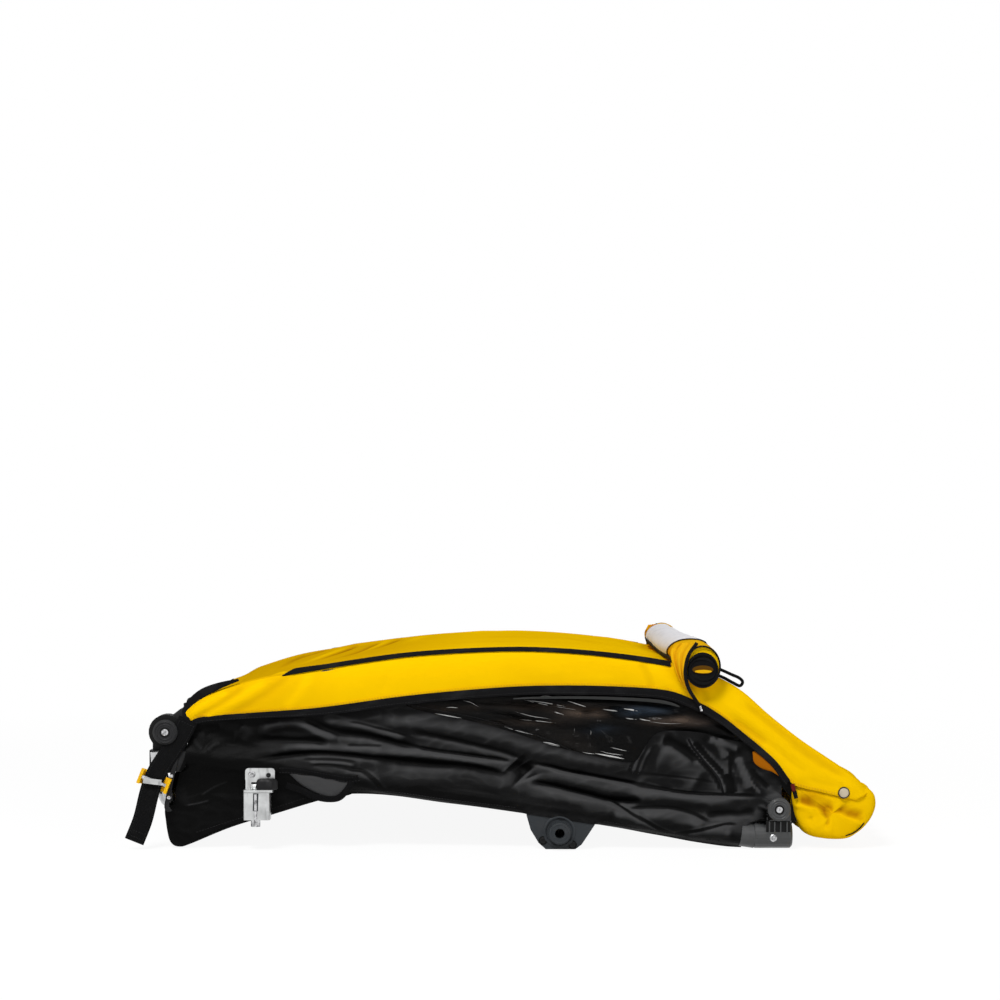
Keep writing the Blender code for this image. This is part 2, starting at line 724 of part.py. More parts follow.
def front_corner(side, word):
    """Fitting that takes the rail and the bumper leg and carries the hoop's hinge lug."""
    x, z = FRONT_X, FRONT_HINGE_UP
    top = z - KNUCKLE_RADIUS - CORNER_UNDER_KNUCKLE
    inner = FRONT_LUG_IN * side
    leg_side = (BUMPER_LEG_Y - BUMPER_OD / 2 - TOUCH_GAP) * side
    plate = hung_outline(x, z, top, CORNER_PLATE_UNDERSIDE)
    body = prism(f"front_corner_{word}", "black_plastic", plate, inner, leg_side, origin=(x, inner, z))
    block = hung_outline(x, z, top - OVERLAP, CORNER_BLOCK_UNDERSIDE)
    outer = HALF_WIDTH * side
    join(body, prism(f"front_corner_{word}_block", None, block, inner + side * MM, outer))
    lug = arch(x, z, FRONT_LUG_RADIUS, top - CUT_PAST)
    lug_from = inner + side * OVERLAP
    join(body, prism(f"front_corner_{word}_lug", None, lug, lug_from, FRONT_LUG_OUT * side))
    reach = RAIL_START_BEHIND_HINGE - SPIGOT_ROOT + SPIGOT_LENGTH
    join(body, rail_spigot(f"front_corner_{word}_spigot", x + SPIGOT_ROOT, reach, side))
    hole = (FRONT_LUG_IN - CUT_PAST) * side, (FRONT_LUG_OUT + CUT_PAST) * side
    cut(body, bore_y(f"front_corner_{word}_bore", x, z, PIVOT_BORE_RADIUS, *hole))
    cradle = FRONT_LUG_OUT * side, (HALF_WIDTH + CUT_PAST) * side
    cut(body, bore_y(f"front_corner_{word}_cradle", x, z, KNUCKLE_RADIUS + 1 * MM, *cradle))
    bolt(
        f"front_hinge_bolt_{word}",
        x,
        z,
        side,
        FRONT_DISC_RADIUS,
        FRONT_DISC_WIDTH,
        KNUCKLE_OUT,
        FRONT_LUG_IN,
    )


def rear_corner(side, word):
    """Elbow that joins the rail to the rear cross tube and carries the seat-back frame's lug."""
    x, z = REAR_X, REAR_SLEEVE_RADIUS
    mouth, back = x - REAR_SLEEVE_AHEAD, x + REAR_SLEEVE_BEHIND
    stations = [mouth, mouth + REAR_SLEEVE_LIP, back - REAR_SLEEVE_CROWN, back]
    radii = [z - REAR_SLEEVE_LIP, z, z, z - REAR_SLEEVE_CROWN]
    points = [(q, side * RAIL_Y, z) for q in stations]
    body = bar(f"rear_corner_{word}", "black_plastic", points, radii, sides=24, origin=(x, side * RAIL_Y, z))
    turn_in = [(x, side * RAIL_Y, z), (x, side * (RAIL_Y - REAR_SLEEVE_INWARD), z)]
    join(body, bar(f"rear_corner_{word}_elbow", None, turn_in, z - 0.4 * MM, sides=20))
    plug_end = RAIL_Y - REAR_SLEEVE_INWARD - SPIGOT_LENGTH
    plug = [(x, side * RAIL_Y, z), (x, side * plug_end, z)]
    join(body, bar(f"rear_corner_{word}_plug", None, plug, plug_radius(RAIL_OD)))
    spigot_from = mouth + SPIGOT_ROOT
    reach = -(SPIGOT_ROOT + RAIL_STOP_AHEAD_OF_HINGE - REAR_SLEEVE_AHEAD + SPIGOT_LENGTH)
    join(body, rail_spigot(f"rear_corner_{word}_spigot", spigot_from, reach, side))
    lug = arch(x, REAR_HINGE_UP, REAR_LUG_RADIUS, z)
    join(body, prism(f"rear_corner_{word}_lug", None, lug, REAR_LUG_IN * side, REAR_LUG_OUT * side))
    hole = (REAR_LUG_IN - CUT_PAST) * side, (REAR_LUG_OUT + CUT_PAST) * side
    cut(body, bore_y(f"rear_corner_{word}_bore", x, REAR_HINGE_UP, PIVOT_BORE_RADIUS, *hole))
    bolt(
        f"rear_hinge_bolt_{word}",
        x,
        REAR_HINGE_UP,
        side,
        REAR_DISC_RADIUS,
        REAR_DISC_WIDTH,
        REAR_LUG_OUT,
        FRAME_KNUCKLE_IN,
    )


def cross_tube(name, x, z, outer, half_length, parent=None, look="painted_tube"):
    reach = half_length - TOUCH_GAP
    ends = [(x, -reach, z), (x, reach, z)]
    bar(name, look, ends, outer / 2, TUBE_WALL, parent=parent, sides=20)


def bumper_leg(side, word):
    """Bare tube that drops from the front corner and turns in across the front."""
    y = BUMPER_LEG_Y
    top = FRONT_HINGE_UP - KNUCKLE_RADIUS - CORNER_UNDER_KNUCKLE - 1 * MM
    low = FRONT_HINGE_UP - BUMPER_DROP
    r = BUMPER_BEND_RADIUS
    points = [(FRONT_X + dx, side * y, top - down) for dx, down in BUMPER_LEG_LEAN]
    points.append((FRONT_X - BUMPER_FOOT_AHEAD, side * y, low + r))
    for k in range(1, 5):
        turn = math.pi / 2 * k / 4
        points.append(
            (
                FRONT_X - BUMPER_FOOT_AHEAD * (1 - k / 4),
                side * (y - r * (1 - math.cos(turn))),
                low + r * (1 - math.sin(turn)),
            )
        )
    end = side * (y - r - BUMPER_STUB)
    points += [(FRONT_X, end, low), (FRONT_X, end, low), (FRONT_X, end - side * SPIGOT_LENGTH, low)]
    outer = BUMPER_OD / 2
    radii = [outer] * (len(points) - 2) + [plug_radius(BUMPER_OD)] * 2
    bar(f"bumper_leg_{word}", "aluminium", points, radii, TUBE_WALL)
    return abs(end)


def axle_receiver(side, word):
    """Block under the rail with the boss and bore that take the wheel's axle."""
    x, z = REAR_X - AXLE_AHEAD_OF_REAR_HINGE, AXLE_UP
    outline = [(x + dx, z + dz) for dx, dz in RECEIVER_UNDERSIDE]
    for q in (outline[-1][0], x - RECEIVER_AHEAD):
        outline.append((q, rail_z(q)))
    face = RAIL_Y + RECEIVER_HALF_DEPTH
    back = RAIL_Y - RECEIVER_HALF_DEPTH
    place = (x, face * side, z)
    body = prism(f"axle_receiver_{word}", "grey_plastic", outline, back * side, face * side, origin=place)
    tip = HALF_WIDTH + AXLE_BOSS_OUT
    boss_ends = [(x, (face - 2 * MM) * side, z), (x, tip * side, z)]
    join(body, bar(f"axle_receiver_{word}_boss", None, boss_ends, AXLE_BOSS_RADIUS, sides=ROUND_SIDES))
    saddle = [(q, side * RAIL_Y, rail_z(q)) for q in (x - 60 * MM, x + 60 * MM)]
    cut(body, bar(f"axle_receiver_{word}_saddle", None, saddle, RAIL_OD / 2 + TOUCH_GAP, sides=20))
    bore_ends = (back - CUT_PAST) * side, (tip + CUT_PAST) * side
    cut(body, bore_y(f"axle_receiver_{word}_bore", x, z, AXLE_BORE_RADIUS, *bore_ends))
    for count, (dx, dz) in enumerate(RECEIVER_BOLTS):
        sink = (face - RECEIVER_BOLT_DEPTH) * side, (face + CUT_PAST) * side
        cut(body, bore_y(f"axle_receiver_{word}_sink{count}", x + dx, z + dz, RECEIVER_BOLT_RADIUS, *sink))


def footwell():
    """Tub under the children's feet: front wall, rising bottom and two sides, open at the top."""
    half = HALF_WIDTH - FOOTWELL_INSIDE_RAIL
    profile = [(FRONT_X + dx, z) for dx, z in FOOTWELL_PROFILE]
    for dx, under in FOOTWELL_BACK:
        profile.append((FRONT_X + dx, rail_z(FRONT_X + dx) - RAIL_OD / 2 - under))
    back, front = profile[-1][0], FRONT_X + FOOTWELL_RIM_FROM
    rim = [(q, rail_z(q) - RAIL_OD / 2 - FOOTWELL_UNDER_RAIL) for q in (back, front)]
    rim.append((front - 1 * MM, profile[0][1]))
    bm = bmesh.new()
    walls = []
    for y in (-half, half):
        walls.append([bm.verts.new((px, y, pz)) for px, pz in profile])
        side_rim = [bm.verts.new((px, y, pz)) for px, pz in rim]
        bm.faces.new(walls[-1] + side_rim)
    for a, b, c, d in zip(walls[0], walls[0][1:], walls[1][1:], walls[1]):
        bm.faces.new((a, b, c, d))
    obj = place_mesh("footwell", bm, "black_cloth", origin=(FRONT_X, 0, 0))
    shell = obj.modifiers.new("wall", "SOLIDIFY")
    shell.thickness = FOOTWELL_WALL
    shell.offset = -1.0
    shell.use_even_offset = True


def floor_and_cushion():
    """Floor sheet between the rails, and the seat cushion on it."""
    start = FRONT_X + SEAT_TUBE_BEHIND_HINGE + FLOOR_BEHIND_SEAT_TUBE
    stop = REAR_X - FLOOR_AHEAD_OF_REAR_TUBE
    half = RAIL_Y - REAR_SLEEVE_RADIUS - SIDE_CLEARANCE
    rows = []
    for k in range(7):
        x = start + (stop - start) * k / 6
        rows.append([(x, half * (j / 2 - 1), rail_z(x)) for j in range(5)])
    cloth("floor_sheet", "black_cloth", rows)
    near = start + CUSHION_BEHIND_TUBE
    wide = half - CUSHION_INSIDE_RAIL

    def cushion(u, v, level):
        x = near + CUSHION_LENGTH * (u + 1) / 2
        middle_channel = 1 - 0.35 * math.exp(-((v / 0.06) ** 2))
        crown = (1 - u**6) * (1 - v**8) * middle_channel
        thick = (CUSHION_EDGE + (CUSHION_HEIGHT - CUSHION_EDGE) * crown) * level
        return (x, v * wide, rail_z(x) + CLOTH / 2 + CLOTH_GAP + thick)

    pad("seat_cushion", "black_cloth", cushion, 12, 18)


def pad(name, look, at, long_steps, wide_steps, parent=None):
    """A closed cushion: at(u, v, level) gives its under and upper side, with u and v from -1 to 1."""
    bm = bmesh.new()
    skins = []
    for level in (0, 1):
        grid = []
        for i in range(long_steps + 1):
            u = 2 * i / long_steps - 1
            points = [at(u, 2 * j / wide_steps - 1, level) for j in range(wide_steps + 1)]
            grid.append([bm.verts.new(point) for point in points])
        for low, high in zip(grid, grid[1:]):
            for a, b, c, d in zip(low, low[1:], high[1:], high):
                bm.faces.new((a, b, c, d))
        skins.append(edge_ring(grid))
    bridge(bm, *skins)
    place_mesh(name, bm, look, at(0, 0, 0), parent)


def edge_ring(grid):
    """The border of a grid of points, in order."""
    return (
        grid[0]
        + [row[-1] for row in grid[1:]]
        + list(reversed(grid[-1][:-1]))
        + [row[0] for row in reversed(grid[1:-1])]
    )


def tow_hitch(pin_pivot, knob_pivot):
    """Bracket on the left rail, receiver box on its vertical pin, and the clamp knob."""
    out = -(HALF_WIDTH + TOUCH_GAP)
    face = out - TOW_PLATE_THICKNESS
    x0 = FRONT_X + TOW_PLATE_BEHIND_HINGE
    x1 = x0 + TOW_PLATE_WIDTH
    pin_x, pin_y = pin_pivot.location.x, pin_pivot.location.y
    knob_x, knob_y = knob_pivot.location.x, knob_pivot.location.y
    lug_low = TOW_LUG_TOP - TOW_PLATE_THICKNESS
    plate = rounded_box(x0, x1, TOW_PLATE_BOTTOM, TOW_PLATE_TOP, TOW_PLATE_CORNER)
    bracket = prism("tow_bracket", "aluminium", plate, out, face, origin=(x0, face, TOW_PLATE_TOP))
    arm_x = x0 + 0.5 * MM
    arm_z = TOW_PLATE_BOTTOM + 6 * MM
    arm = [(arm_x, arm_z), (arm_x, lug_low + OVERLAP)]
    arm += [(arm_x + TOW_ARM_WIDTH, lug_low + OVERLAP), (arm_x + TOW_ARM_WIDTH, arm_z)]
    join(bracket, prism("tow_bracket_arm", None, arm, out - OVERLAP / 2, face + OVERLAP / 2))
    lug_out = pin_y - TOW_LUG_PAST_PIN
    lug = rounded_box(x0 - 1 * MM, x1 - 1 * MM, lug_out, out, TOW_LUG_CORNER)
    join(bracket, prism("tow_bracket_lug", None, lug, lug_low, TOW_LUG_TOP, axis="Z"))
    for name, hx, hy in (("pin", pin_x, pin_y), ("stud", knob_x, knob_y)):
        ends = [(hx, hy, lug_low - CUT_PAST), (hx, hy, TOW_LUG_TOP + CUT_PAST)]
        cut(bracket, bar(f"tow_bracket_{name}_hole", None, ends, TOW_PIN_RADIUS + TOUCH_GAP))
    top = lug_low - RECEIVER_BOX_UNDER_LUG
    low = top - RECEIVER_BOX_HEIGHT
    ahead = pin_x - RECEIVER_BOX_AHEAD_OF_PIN
    behind = pin_x + RECEIVER_BOX_BEHIND_PIN
    half = RECEIVER_BOX_DEPTH / 2
    box = rounded_box(ahead, behind, pin_y - half, pin_y + half, TOW_LUG_CORNER)
    at_pin = pin_pivot.location
    receiver = prism("tow_receiver", "aluminium", box, low, top, "Z", pin_pivot, at_pin)
    socket = RECEIVER_SOCKET / 2
    middle = (top + low) / 2
    socket_end = ahead + RECEIVER_SOCKET_DEPTH
    hollow = rounded_box(ahead - CUT_PAST, socket_end, pin_y - socket, pin_y + socket, 1 * MM, 2)
    cut(receiver, prism("tow_receiver_socket", None, hollow, middle - socket, middle + socket, axis="Z"))
    hole = [(pin_x, pin_y, low - CUT_PAST), (pin_x, pin_y, top + CUT_PAST)]
    cut(receiver, bar("tow_receiver_bore", None, hole, TOW_PIN_RADIUS + TOUCH_GAP))
    levels = (
        (TOW_LUG_TOP + TOW_PIN_HEAD_HEIGHT, TOW_PIN_HEAD_RADIUS - 1 * MM),
        (TOW_LUG_TOP + TOW_PIN_HEAD_HEIGHT - DISC_EDGE, TOW_PIN_HEAD_RADIUS),
        (TOW_LUG_TOP + TOUCH_GAP, TOW_PIN_HEAD_RADIUS),
        (TOW_LUG_TOP + TOUCH_GAP, TOW_PIN_RADIUS),
        (low - TOUCH_GAP, TOW_PIN_RADIUS),
        (low - TOUCH_GAP, TOW_PIN_NUT_RADIUS),
        (low - TOUCH_GAP - TOW_PIN_NUT_HEIGHT, TOW_PIN_NUT_RADIUS),
    )
    points = [(pin_x, pin_y, z) for z, _ in levels]
    bar("tow_pin", "steel", points, [r for _, r in levels], origin=pin_pivot.location)
    base = TOW_LUG_TOP + TOUCH_GAP
    knob_levels = (
        (lug_low + 0.2 * MM, TOW_PIN_RADIUS - TOUCH_GAP),
        (base, TOW_PIN_RADIUS - TOUCH_GAP),
        (base, TOW_KNOB_RADIUS),
        (base + TOW_KNOB_HEIGHT * 0.7, TOW_KNOB_RADIUS),
        (base + TOW_KNOB_HEIGHT, TOW_KNOB_RADIUS * 0.6),
    )
    points = [(knob_x, knob_y, z) for z, _ in knob_levels]
    radii = [r for _, r in knob_levels]
    bar("tow_knob", "black_plastic", points, radii, parent=knob_pivot, origin=knob_pivot.location)


def folding_strap():
    """Webbing from the front corner through the buckle to its free end, with the buckle."""
    route = [(FRONT_X + dx, -HALF_WIDTH - off, z) for dx, off, z in STRAP_ROUTE]
    line = smooth_path(route, 16)
    rows = []
    for k, point in enumerate(line):
        way = (line[min(k + 1, len(line) - 1)] - line[max(k - 1, 0)]).normalized()
        wide = way.cross(Vector((0, 1, 0))).normalized() * WEBBING_WIDTH / 2
        rows.append([point - wide, point + wide])
    cloth("folding_strap", "black_webbing", rows, WEBBING_THICKNESS)
    buckle(FRONT_X - BUCKLE_AHEAD_OF_HINGE, BUCKLE_UP)


def buckle(x, z):
    """Back plate with two cheeks, and the bar between the cheeks that grips the webbing."""
    u = Vector((math.cos(BUCKLE_TILT), -math.sin(BUCKLE_TILT)))
    v = Vector((-u.y, u.x))

    def tilted(u0, u1, v0, v1):
        corners = ((u0, v0), (u1, v0), (u1, v1), (u0, v1))
        return [tuple(Vector((x, z)) + u * a + v * b) for a, b in corners]

    cheek = WEBBING_WIDTH / 2 + BUCKLE_SLACK
    wide = cheek + BUCKLE_CHEEK
    half = BUCKLE_HEIGHT / 2
    back = -HALF_WIDTH - BUCKLE_OFF_BODY
    front = back - BUCKLE_DEPTH
    plate = tilted(-wide, wide, -half, half)
    plate_front = back - BUCKLE_PLATE
    body = prism("buckle_frame", "yellow_plastic", plate, back, plate_front, origin=(x, back, z))
    for count, (u0, u1) in enumerate(((-wide, -cheek), (cheek, wide))):
        ends = tilted(u0, u1, -half, half)
        join(body, prism(f"buckle_cheek{count}", None, ends, back - OVERLAP, front))
    reach = cheek - TOUCH_GAP
    ends = []
    for a in (-reach, reach):
        at = Vector((x, z)) + u * a
        ends.append((at.x, -HALF_WIDTH - BUCKLE_BAR_OFF_BODY, at.y))
    bar("buckle_bar", "steel", ends, BUCKLE_BAR_RADIUS, sides=12)


def tow_pocket():
    """Cloth pocket on the left rail, which holds the tow arm's end when it is stored."""
    outline = [(FRONT_X + dx, z) for dx, z in POCKET_OUTLINE]
    back = -HALF_WIDTH - POCKET_OFF_RAIL
    prism("tow_pocket", "black_cloth", outline, back, back - POCKET_THICKNESS)


def hoop_run(start, stop, side):
    """Points on the hoop's side tube from one distance to another."""
    between = [d for d in HOOP_STATIONS if start + MM < d < stop - MM]
    points = []
    for distance in [start, *between, stop]:
        x, z = hoop_at(distance)
        points.append((x, side * HOOP_Y, z))
    return points


def hoop_side(side, word, parent):
    """One side of the hoop: knuckle, front tube, elbow and roof tube."""
    x, z = FRONT_X, FRONT_HINGE_UP
    plug = plug_radius(HOOP_OD)
    ends = [(x, side * KNUCKLE_IN, z), (x, side * KNUCKLE_OUT, z)]
    place = (x, side * HOOP_Y, z)
    knuckle = bar(
        f"hoop_knuckle_{word}",
        "black_plastic",
        ends,
        KNUCKLE_RADIUS,
        sides=ROUND_SIDES,
        parent=parent,
        origin=place,
    )
    neck_end = HOOP_TUBE_START - NECK_TO_TUBE
    neck = hoop_run(6 * MM, neck_end, side)
    spigot = hoop_run(neck_end, neck_end + SPIGOT_LENGTH, side)
    radii = [NECK_RADIUS] * len(neck) + [plug] * len(spigot)
    join(knuckle, bar(f"hoop_knuckle_{word}_neck", None, neck + spigot, radii, sides=20))
    hole = (KNUCKLE_IN - CUT_PAST) * side, (KNUCKLE_OUT + CUT_PAST) * side
    cut(knuckle, bore_y(f"hoop_knuckle_{word}_bore", x, z, PIVOT_BORE_RADIUS, *hole))
    outer = HOOP_OD / 2
    front = hoop_run(HOOP_TUBE_START, ELBOW_START, side)
    bar(f"hoop_front_tube_{word}", "painted_tube", front, outer, TUBE_WALL, parent=parent)
    start, stop = ELBOW_START + TOUCH_GAP, ELBOW_STOP - TOUCH_GAP
    first_plug = hoop_run(start - SPIGOT_LENGTH, start, side)
    bend = hoop_run(start, stop, side)
    second_plug = hoop_run(stop, stop + SPIGOT_LENGTH, side)
    radii = [plug] * len(first_plug) + [outer] * len(bend) + [plug] * len(second_plug)
    elbow = first_plug + bend + second_plug
    bar(f"hoop_elbow_{word}", "black_plastic", elbow, radii, parent=parent)
    roof = hoop_run(ELBOW_STOP, HOOP_LENGTH + outer + 1 * MM, side)
    bar(f"hoop_roof_tube_{word}", "painted_tube", [roof[0], roof[-1]], outer, TUBE_WALL, parent=parent)


def panel_drop(distance):
    """How far the side panel hangs below the hoop's centre line there."""
    share = distance / HOOP_LENGTH
    for (s0, d0), (s1, d1) in zip(PANEL_DROP, PANEL_DROP[1:]):
        if share <= s1:
            return d0 + (d1 - d0) * (share - s0) / (s1 - s0)
    return PANEL_DROP[-1][1]


def side_panel(side, word, parent):
    """Yellow panel that covers the hoop's tube and hangs below it, down to the bound lower edge."""
    rows = []
    first = HOOP_LENGTH * PANEL_DROP[0][0]
    for distance in [first] + [d for d in HOOP_STATIONS if d > first + 6 * MM]:
        drop = panel_drop(distance)
        row = []
        for outward, y in (
            (-drop, PANEL_OUTSIDE_HOOP),
            (-drop / 2, PANEL_OUTSIDE_HOOP),
            (0.0, PANEL_OUTSIDE_HOOP),
            (HOOP_OD * 0.32, PANEL_OUTSIDE_HOOP - 1.6 * MM),
            (HOOP_OD / 2 + 1.4 * MM, HOOP_OD * 0.2),
        ):
            x, z = hoop_at(distance, outward)
            row.append((x, side * (HOOP_Y + y), z))
        rows.append(row)
    cloth(f"side_panel_{word}", "yellow_cloth", rows, parent=parent)
    x, z = hoop_at(HOOP_LENGTH - SNAP_FROM_END, -SNAP_BELOW_TUBE)
    face = HOOP_Y + PANEL_OUTSIDE_HOOP + CLOTH / 2 + TOUCH_GAP
    ends = [(x, side * face, z), (x, side * (face + 2.5 * MM), z), (x, side * (face + 3.2 * MM), z)]
    radii = [SNAP_RADIUS, SNAP_RADIUS, SNAP_RADIUS * 0.8]
    bar(f"panel_snap_{word}", "steel", ends, radii, sides=ROUND_SIDES, parent=parent)


def canopy(parent):
    """Yellow sheet over both side tubes, from the front hem over the bend to the rear end."""
    half = HOOP_Y + 1.5 * MM
    lift = HOOP_OD / 2 + CLOTH_GAP + CLOTH / 2
    end = Vector(hoop_at(HOOP_LENGTH))
    rows = []
    for distance in [CANOPY_START] + [d for d in HOOP_STATIONS if d > CANOPY_START + 4 * MM]:
        near_roll = math.exp(-(((distance - ROLL_AT) / ROLL_FLATTENS_CANOPY) ** 2))
        row = []
        for j in range(9):
            v = j / 4 - 1
            crown = CANOPY_CROWN * (1 - v * v) * (1 - near_roll)
            x, z = hoop_at(distance, lift + crown)
            row.append((x, v * half, z))
        rows.append(row)
    for dx, dz in CANOPY_TAIL:
        rows.append([(end.x + dx, (j / 4 - 1) * half, end.y + dz) for j in range(9)])
    cloth("canopy", "yellow_cloth", rows, parent=parent)


def rear_flap(parent):
    """Rear curtain, gathered in a pouch below the hoop's rear end."""
    end = Vector(hoop_at(HOOP_LENGTH))
    half = HOOP_Y + FLAP_PAST_HOOP
    rows = []
    for dx, dz in FLAP_PROFILE:
        rows.append([(end.x + dx, (j / 3 - 1) * half, end.y + dz) for j in range(7)])
    cloth("rear_flap", "yellow_cloth", rows, parent=parent)


def cover_roll(parent):
    """Front cover rolled up across the bend. Its ends hang over the side panels."""
    lift = HOOP_OD / 2 + CLOTH_GAP + CLOTH + CLOTH_GAP + ROLL_HALF_HEIGHT
    cx, cz = hoop_at(ROLL_AT, lift)
    base = hoop_at(ROLL_AT)
    normal = (Vector((cx, cz)) - base).normalized()
    slope = Vector((normal.y, -normal.x))
    bm = bmesh.new()
    rings = []
    reach = HALF_WIDTH + ROLL_OVERHANG
    inside = HALF_WIDTH + ROLL_OFF_PANEL
    for y, droop in (
        (-reach, 1.0),
        (-inside, 1.0),
        (-inside + 1.2 * MM, 0.0),
        (-reach / 3, 0.0),
        (reach / 3, 0.0),
        (inside - 1.2 * MM, 0.0),
        (inside, 1.0),
        (reach, 1.0),
    ):
        ring = []
        for k in range(24):
            turn = 2 * math.pi * k / 24
            tall = ROLL_HALF_HEIGHT + ROLL_DROOP * droop
            across = slope * math.cos(turn) * ROLL_HALF_WIDTH
            up = normal * (math.sin(turn) * tall - ROLL_DROOP * droop)
            x, z = Vector((cx, cz)) + across + up
            ring.append(bm.verts.new((x, y, z)))
        rings.append(ring)
    for one, two in zip(rings, rings[1:]):
        bridge(bm, one, two)
    bm.faces.new(rings[0])
    bm.faces.new(rings[-1])
    place_mesh("cover_roll", bm, "yellow_cloth", (cx, 0, cz), parent)
    route = [(cx + a, -(HOOP_Y + 3 * MM), cz + b) for a, b in ELASTIC_ROUTE]
    cord("elastic_loop", "black_webbing", smooth_path(route, 11), ELASTIC_RADIUS, parent)


def hoop_low(x):
    """Height just under the hoop's side tube."""
    slanted_tube = HOOP_OD / 2 * 1.25
    return hoop_height(x) - slanted_tube - 2.5 * WALL_OFF_TUBE


def window_low(x):
    """Height of the lower edge of the crumpled window."""
    ahead = REAR_X - x
    for (a0, z0), (a1, z1) in zip(WINDOW_EDGE, WINDOW_EDGE[1:]):
        if a1 - TINY <= ahead <= a0 + TINY:
            return z0 + (z1 - z0) * (a0 - ahead) / (a0 - a1)
    return None


def side_cloth(side, word):
    """Black side wall between the rail and the hoop, in long folds, and the window above it."""
    start = FRONT_X + WALL_BEHIND_HINGE
    sleeve = REAR_X - REAR_SLEEVE_AHEAD
    y_rest = RAIL_Y + WALL_OUTSIDE_RAIL_LINE
    window_x = []
    for (a0, _), (a1, _) in zip(WINDOW_EDGE, WINDOW_EDGE[1:]):
        window_x += [REAR_X - a0, REAR_X - (a0 + a1) / 2]
    window_x.append(REAR_X - WINDOW_EDGE[-1][0])
    before = window_x[0] - WINDOW_GAP
    wall_x = [start + (before - start) * k / 8 for k in range(9)] + window_x
    wall_x += [window_x[-1] + WINDOW_GAP, sleeve - 2 * MM, sleeve - 1 * MM]
    wall_x.append(REAR_X - WALL_AHEAD_OF_REAR_HINGE)
    rows = []
    for x in wall_x:
        over_sleeve = x > sleeve - 1.5 * MM
        low = 2 * REAR_SLEEVE_RADIUS if over_sleeve else rail_z(x) + RAIL_OD / 2
        low += WALL_OFF_TUBE
        high = hoop_low(x)
        if window_low(x) is not None:
            high = min(window_low(x) - WINDOW_GAP / 2, high)
        row = []
        for j in range(10):
            t = j / 9
            fold = math.sin(2 * math.pi * (2.4 * t + 0.9 * (x - start) / HINGE_SPAN))
            swell = math.sin(math.pi * t)
            y = y_rest + swell * (WALL_SWELL + WALL_FOLD * fold)
            row.append((x, side * y, low + (high - low) * t))
        rows.append(row)
    cloth(f"side_wall_{word}", "black_cloth", rows)
    rows = []
    for x in window_x:
        low, high = window_low(x) + WINDOW_GAP / 2, hoop_low(x)
        row = []
        for j in range(7):
            t = j / 6
            crumple = math.sin(x * 95 + 7 * t) * math.sin(x * 41 - 5 * t)
            y = y_rest + math.sin(math.pi * t) * WALL_FOLD * crumple
            row.append((x, side * y, low + (high - low) * t))
        rows.append(row)
    cloth(f"side_window_{word}", "clear_vinyl", rows)


def rear_frame(parent):
    """Seat-back frame, folded forward: uprights, top tube, sling and latch hooks."""
    outer = FRAME_OD / 2
    hinge = (REAR_X, REAR_HINGE_UP)
    for side, word in SIDES:
        run = [frame_point(10 * MM), frame_point(FRAME_TOP_TUBE_AT + outer)]
        points = [(p.x, side * FRAME_Y, p.y) for p in run]
        place = (REAR_X, side * FRAME_Y, REAR_HINGE_UP)
        name = f"upright_{word}"
        upright = bar(name, "painted_tube", points, outer, TUBE_WALL, parent=parent, origin=place)
        eye = [(hinge[0], side * y, hinge[1]) for y in (FRAME_KNUCKLE_IN, FRAME_KNUCKLE_OUT)]
        join(upright, bar(f"upright_{word}_eye", None, eye, REAR_LUG_RADIUS, sides=ROUND_SIDES))
        hole = (FRAME_KNUCKLE_IN - 2 * CUT_PAST) * side, (FRAME_KNUCKLE_OUT + CUT_PAST) * side
        cut(upright, bore_y(f"upright_{word}_bore", *hinge, PIVOT_BORE_RADIUS, *hole))
        front = outer + TOUCH_GAP
        foot = FRAME_TOP_TUBE_AT - HOOK_FOOT_BEFORE_TUBE
        outline = []
        for along_frame, ahead in (
            (foot, front),
            (HOOK_TIP_AT - HOOK_TIP_LENGTH, front),
            (HOOK_TIP_AT - HOOK_TIP_LENGTH, HOOK_TIP_AHEAD),
            (HOOK_TIP_AT, HOOK_TIP_AHEAD),
            (HOOK_TIP_AT, front + HOOK_THICKNESS),
            (foot, front + HOOK_THICKNESS),
        ):
            outline.append(tuple(frame_point(along_frame, ahead)))
        far = FRAME_Y - outer - HOOK_INSIDE_UPRIGHT
        near = far - HOOK_WIDTH
        prism(f"latch_hook_{word}", "black_plastic", outline, side * near, side * far, parent=parent)
    top = frame_point(FRAME_TOP_TUBE_AT)
    cross_tube("rear_frame_top_tube", top.x, top.y, FRAME_OD, FRAME_Y - outer, parent)
    wide = FRAME_Y - outer - SIDE_CLEARANCE
    sling_stop = FRAME_TOP_TUBE_AT - SEAT_BACK_BELOW_TOP_TUBE
    middle = (SEAT_BACK_START + sling_stop) / 2
    reach = (sling_stop - SEAT_BACK_START) / 2

    def sling(u, v, level):
        crown = (1 - u**8) * (1 - v**10)
        ahead = (level - 0.5) * SEAT_BACK_THICKNESS * (0.35 + 0.65 * crown)
        x, z = frame_point(middle + u * reach, ahead)
        return (x, v * wide, z)

    pad("seat_back", "black_cloth", sling, 12, 10, parent)


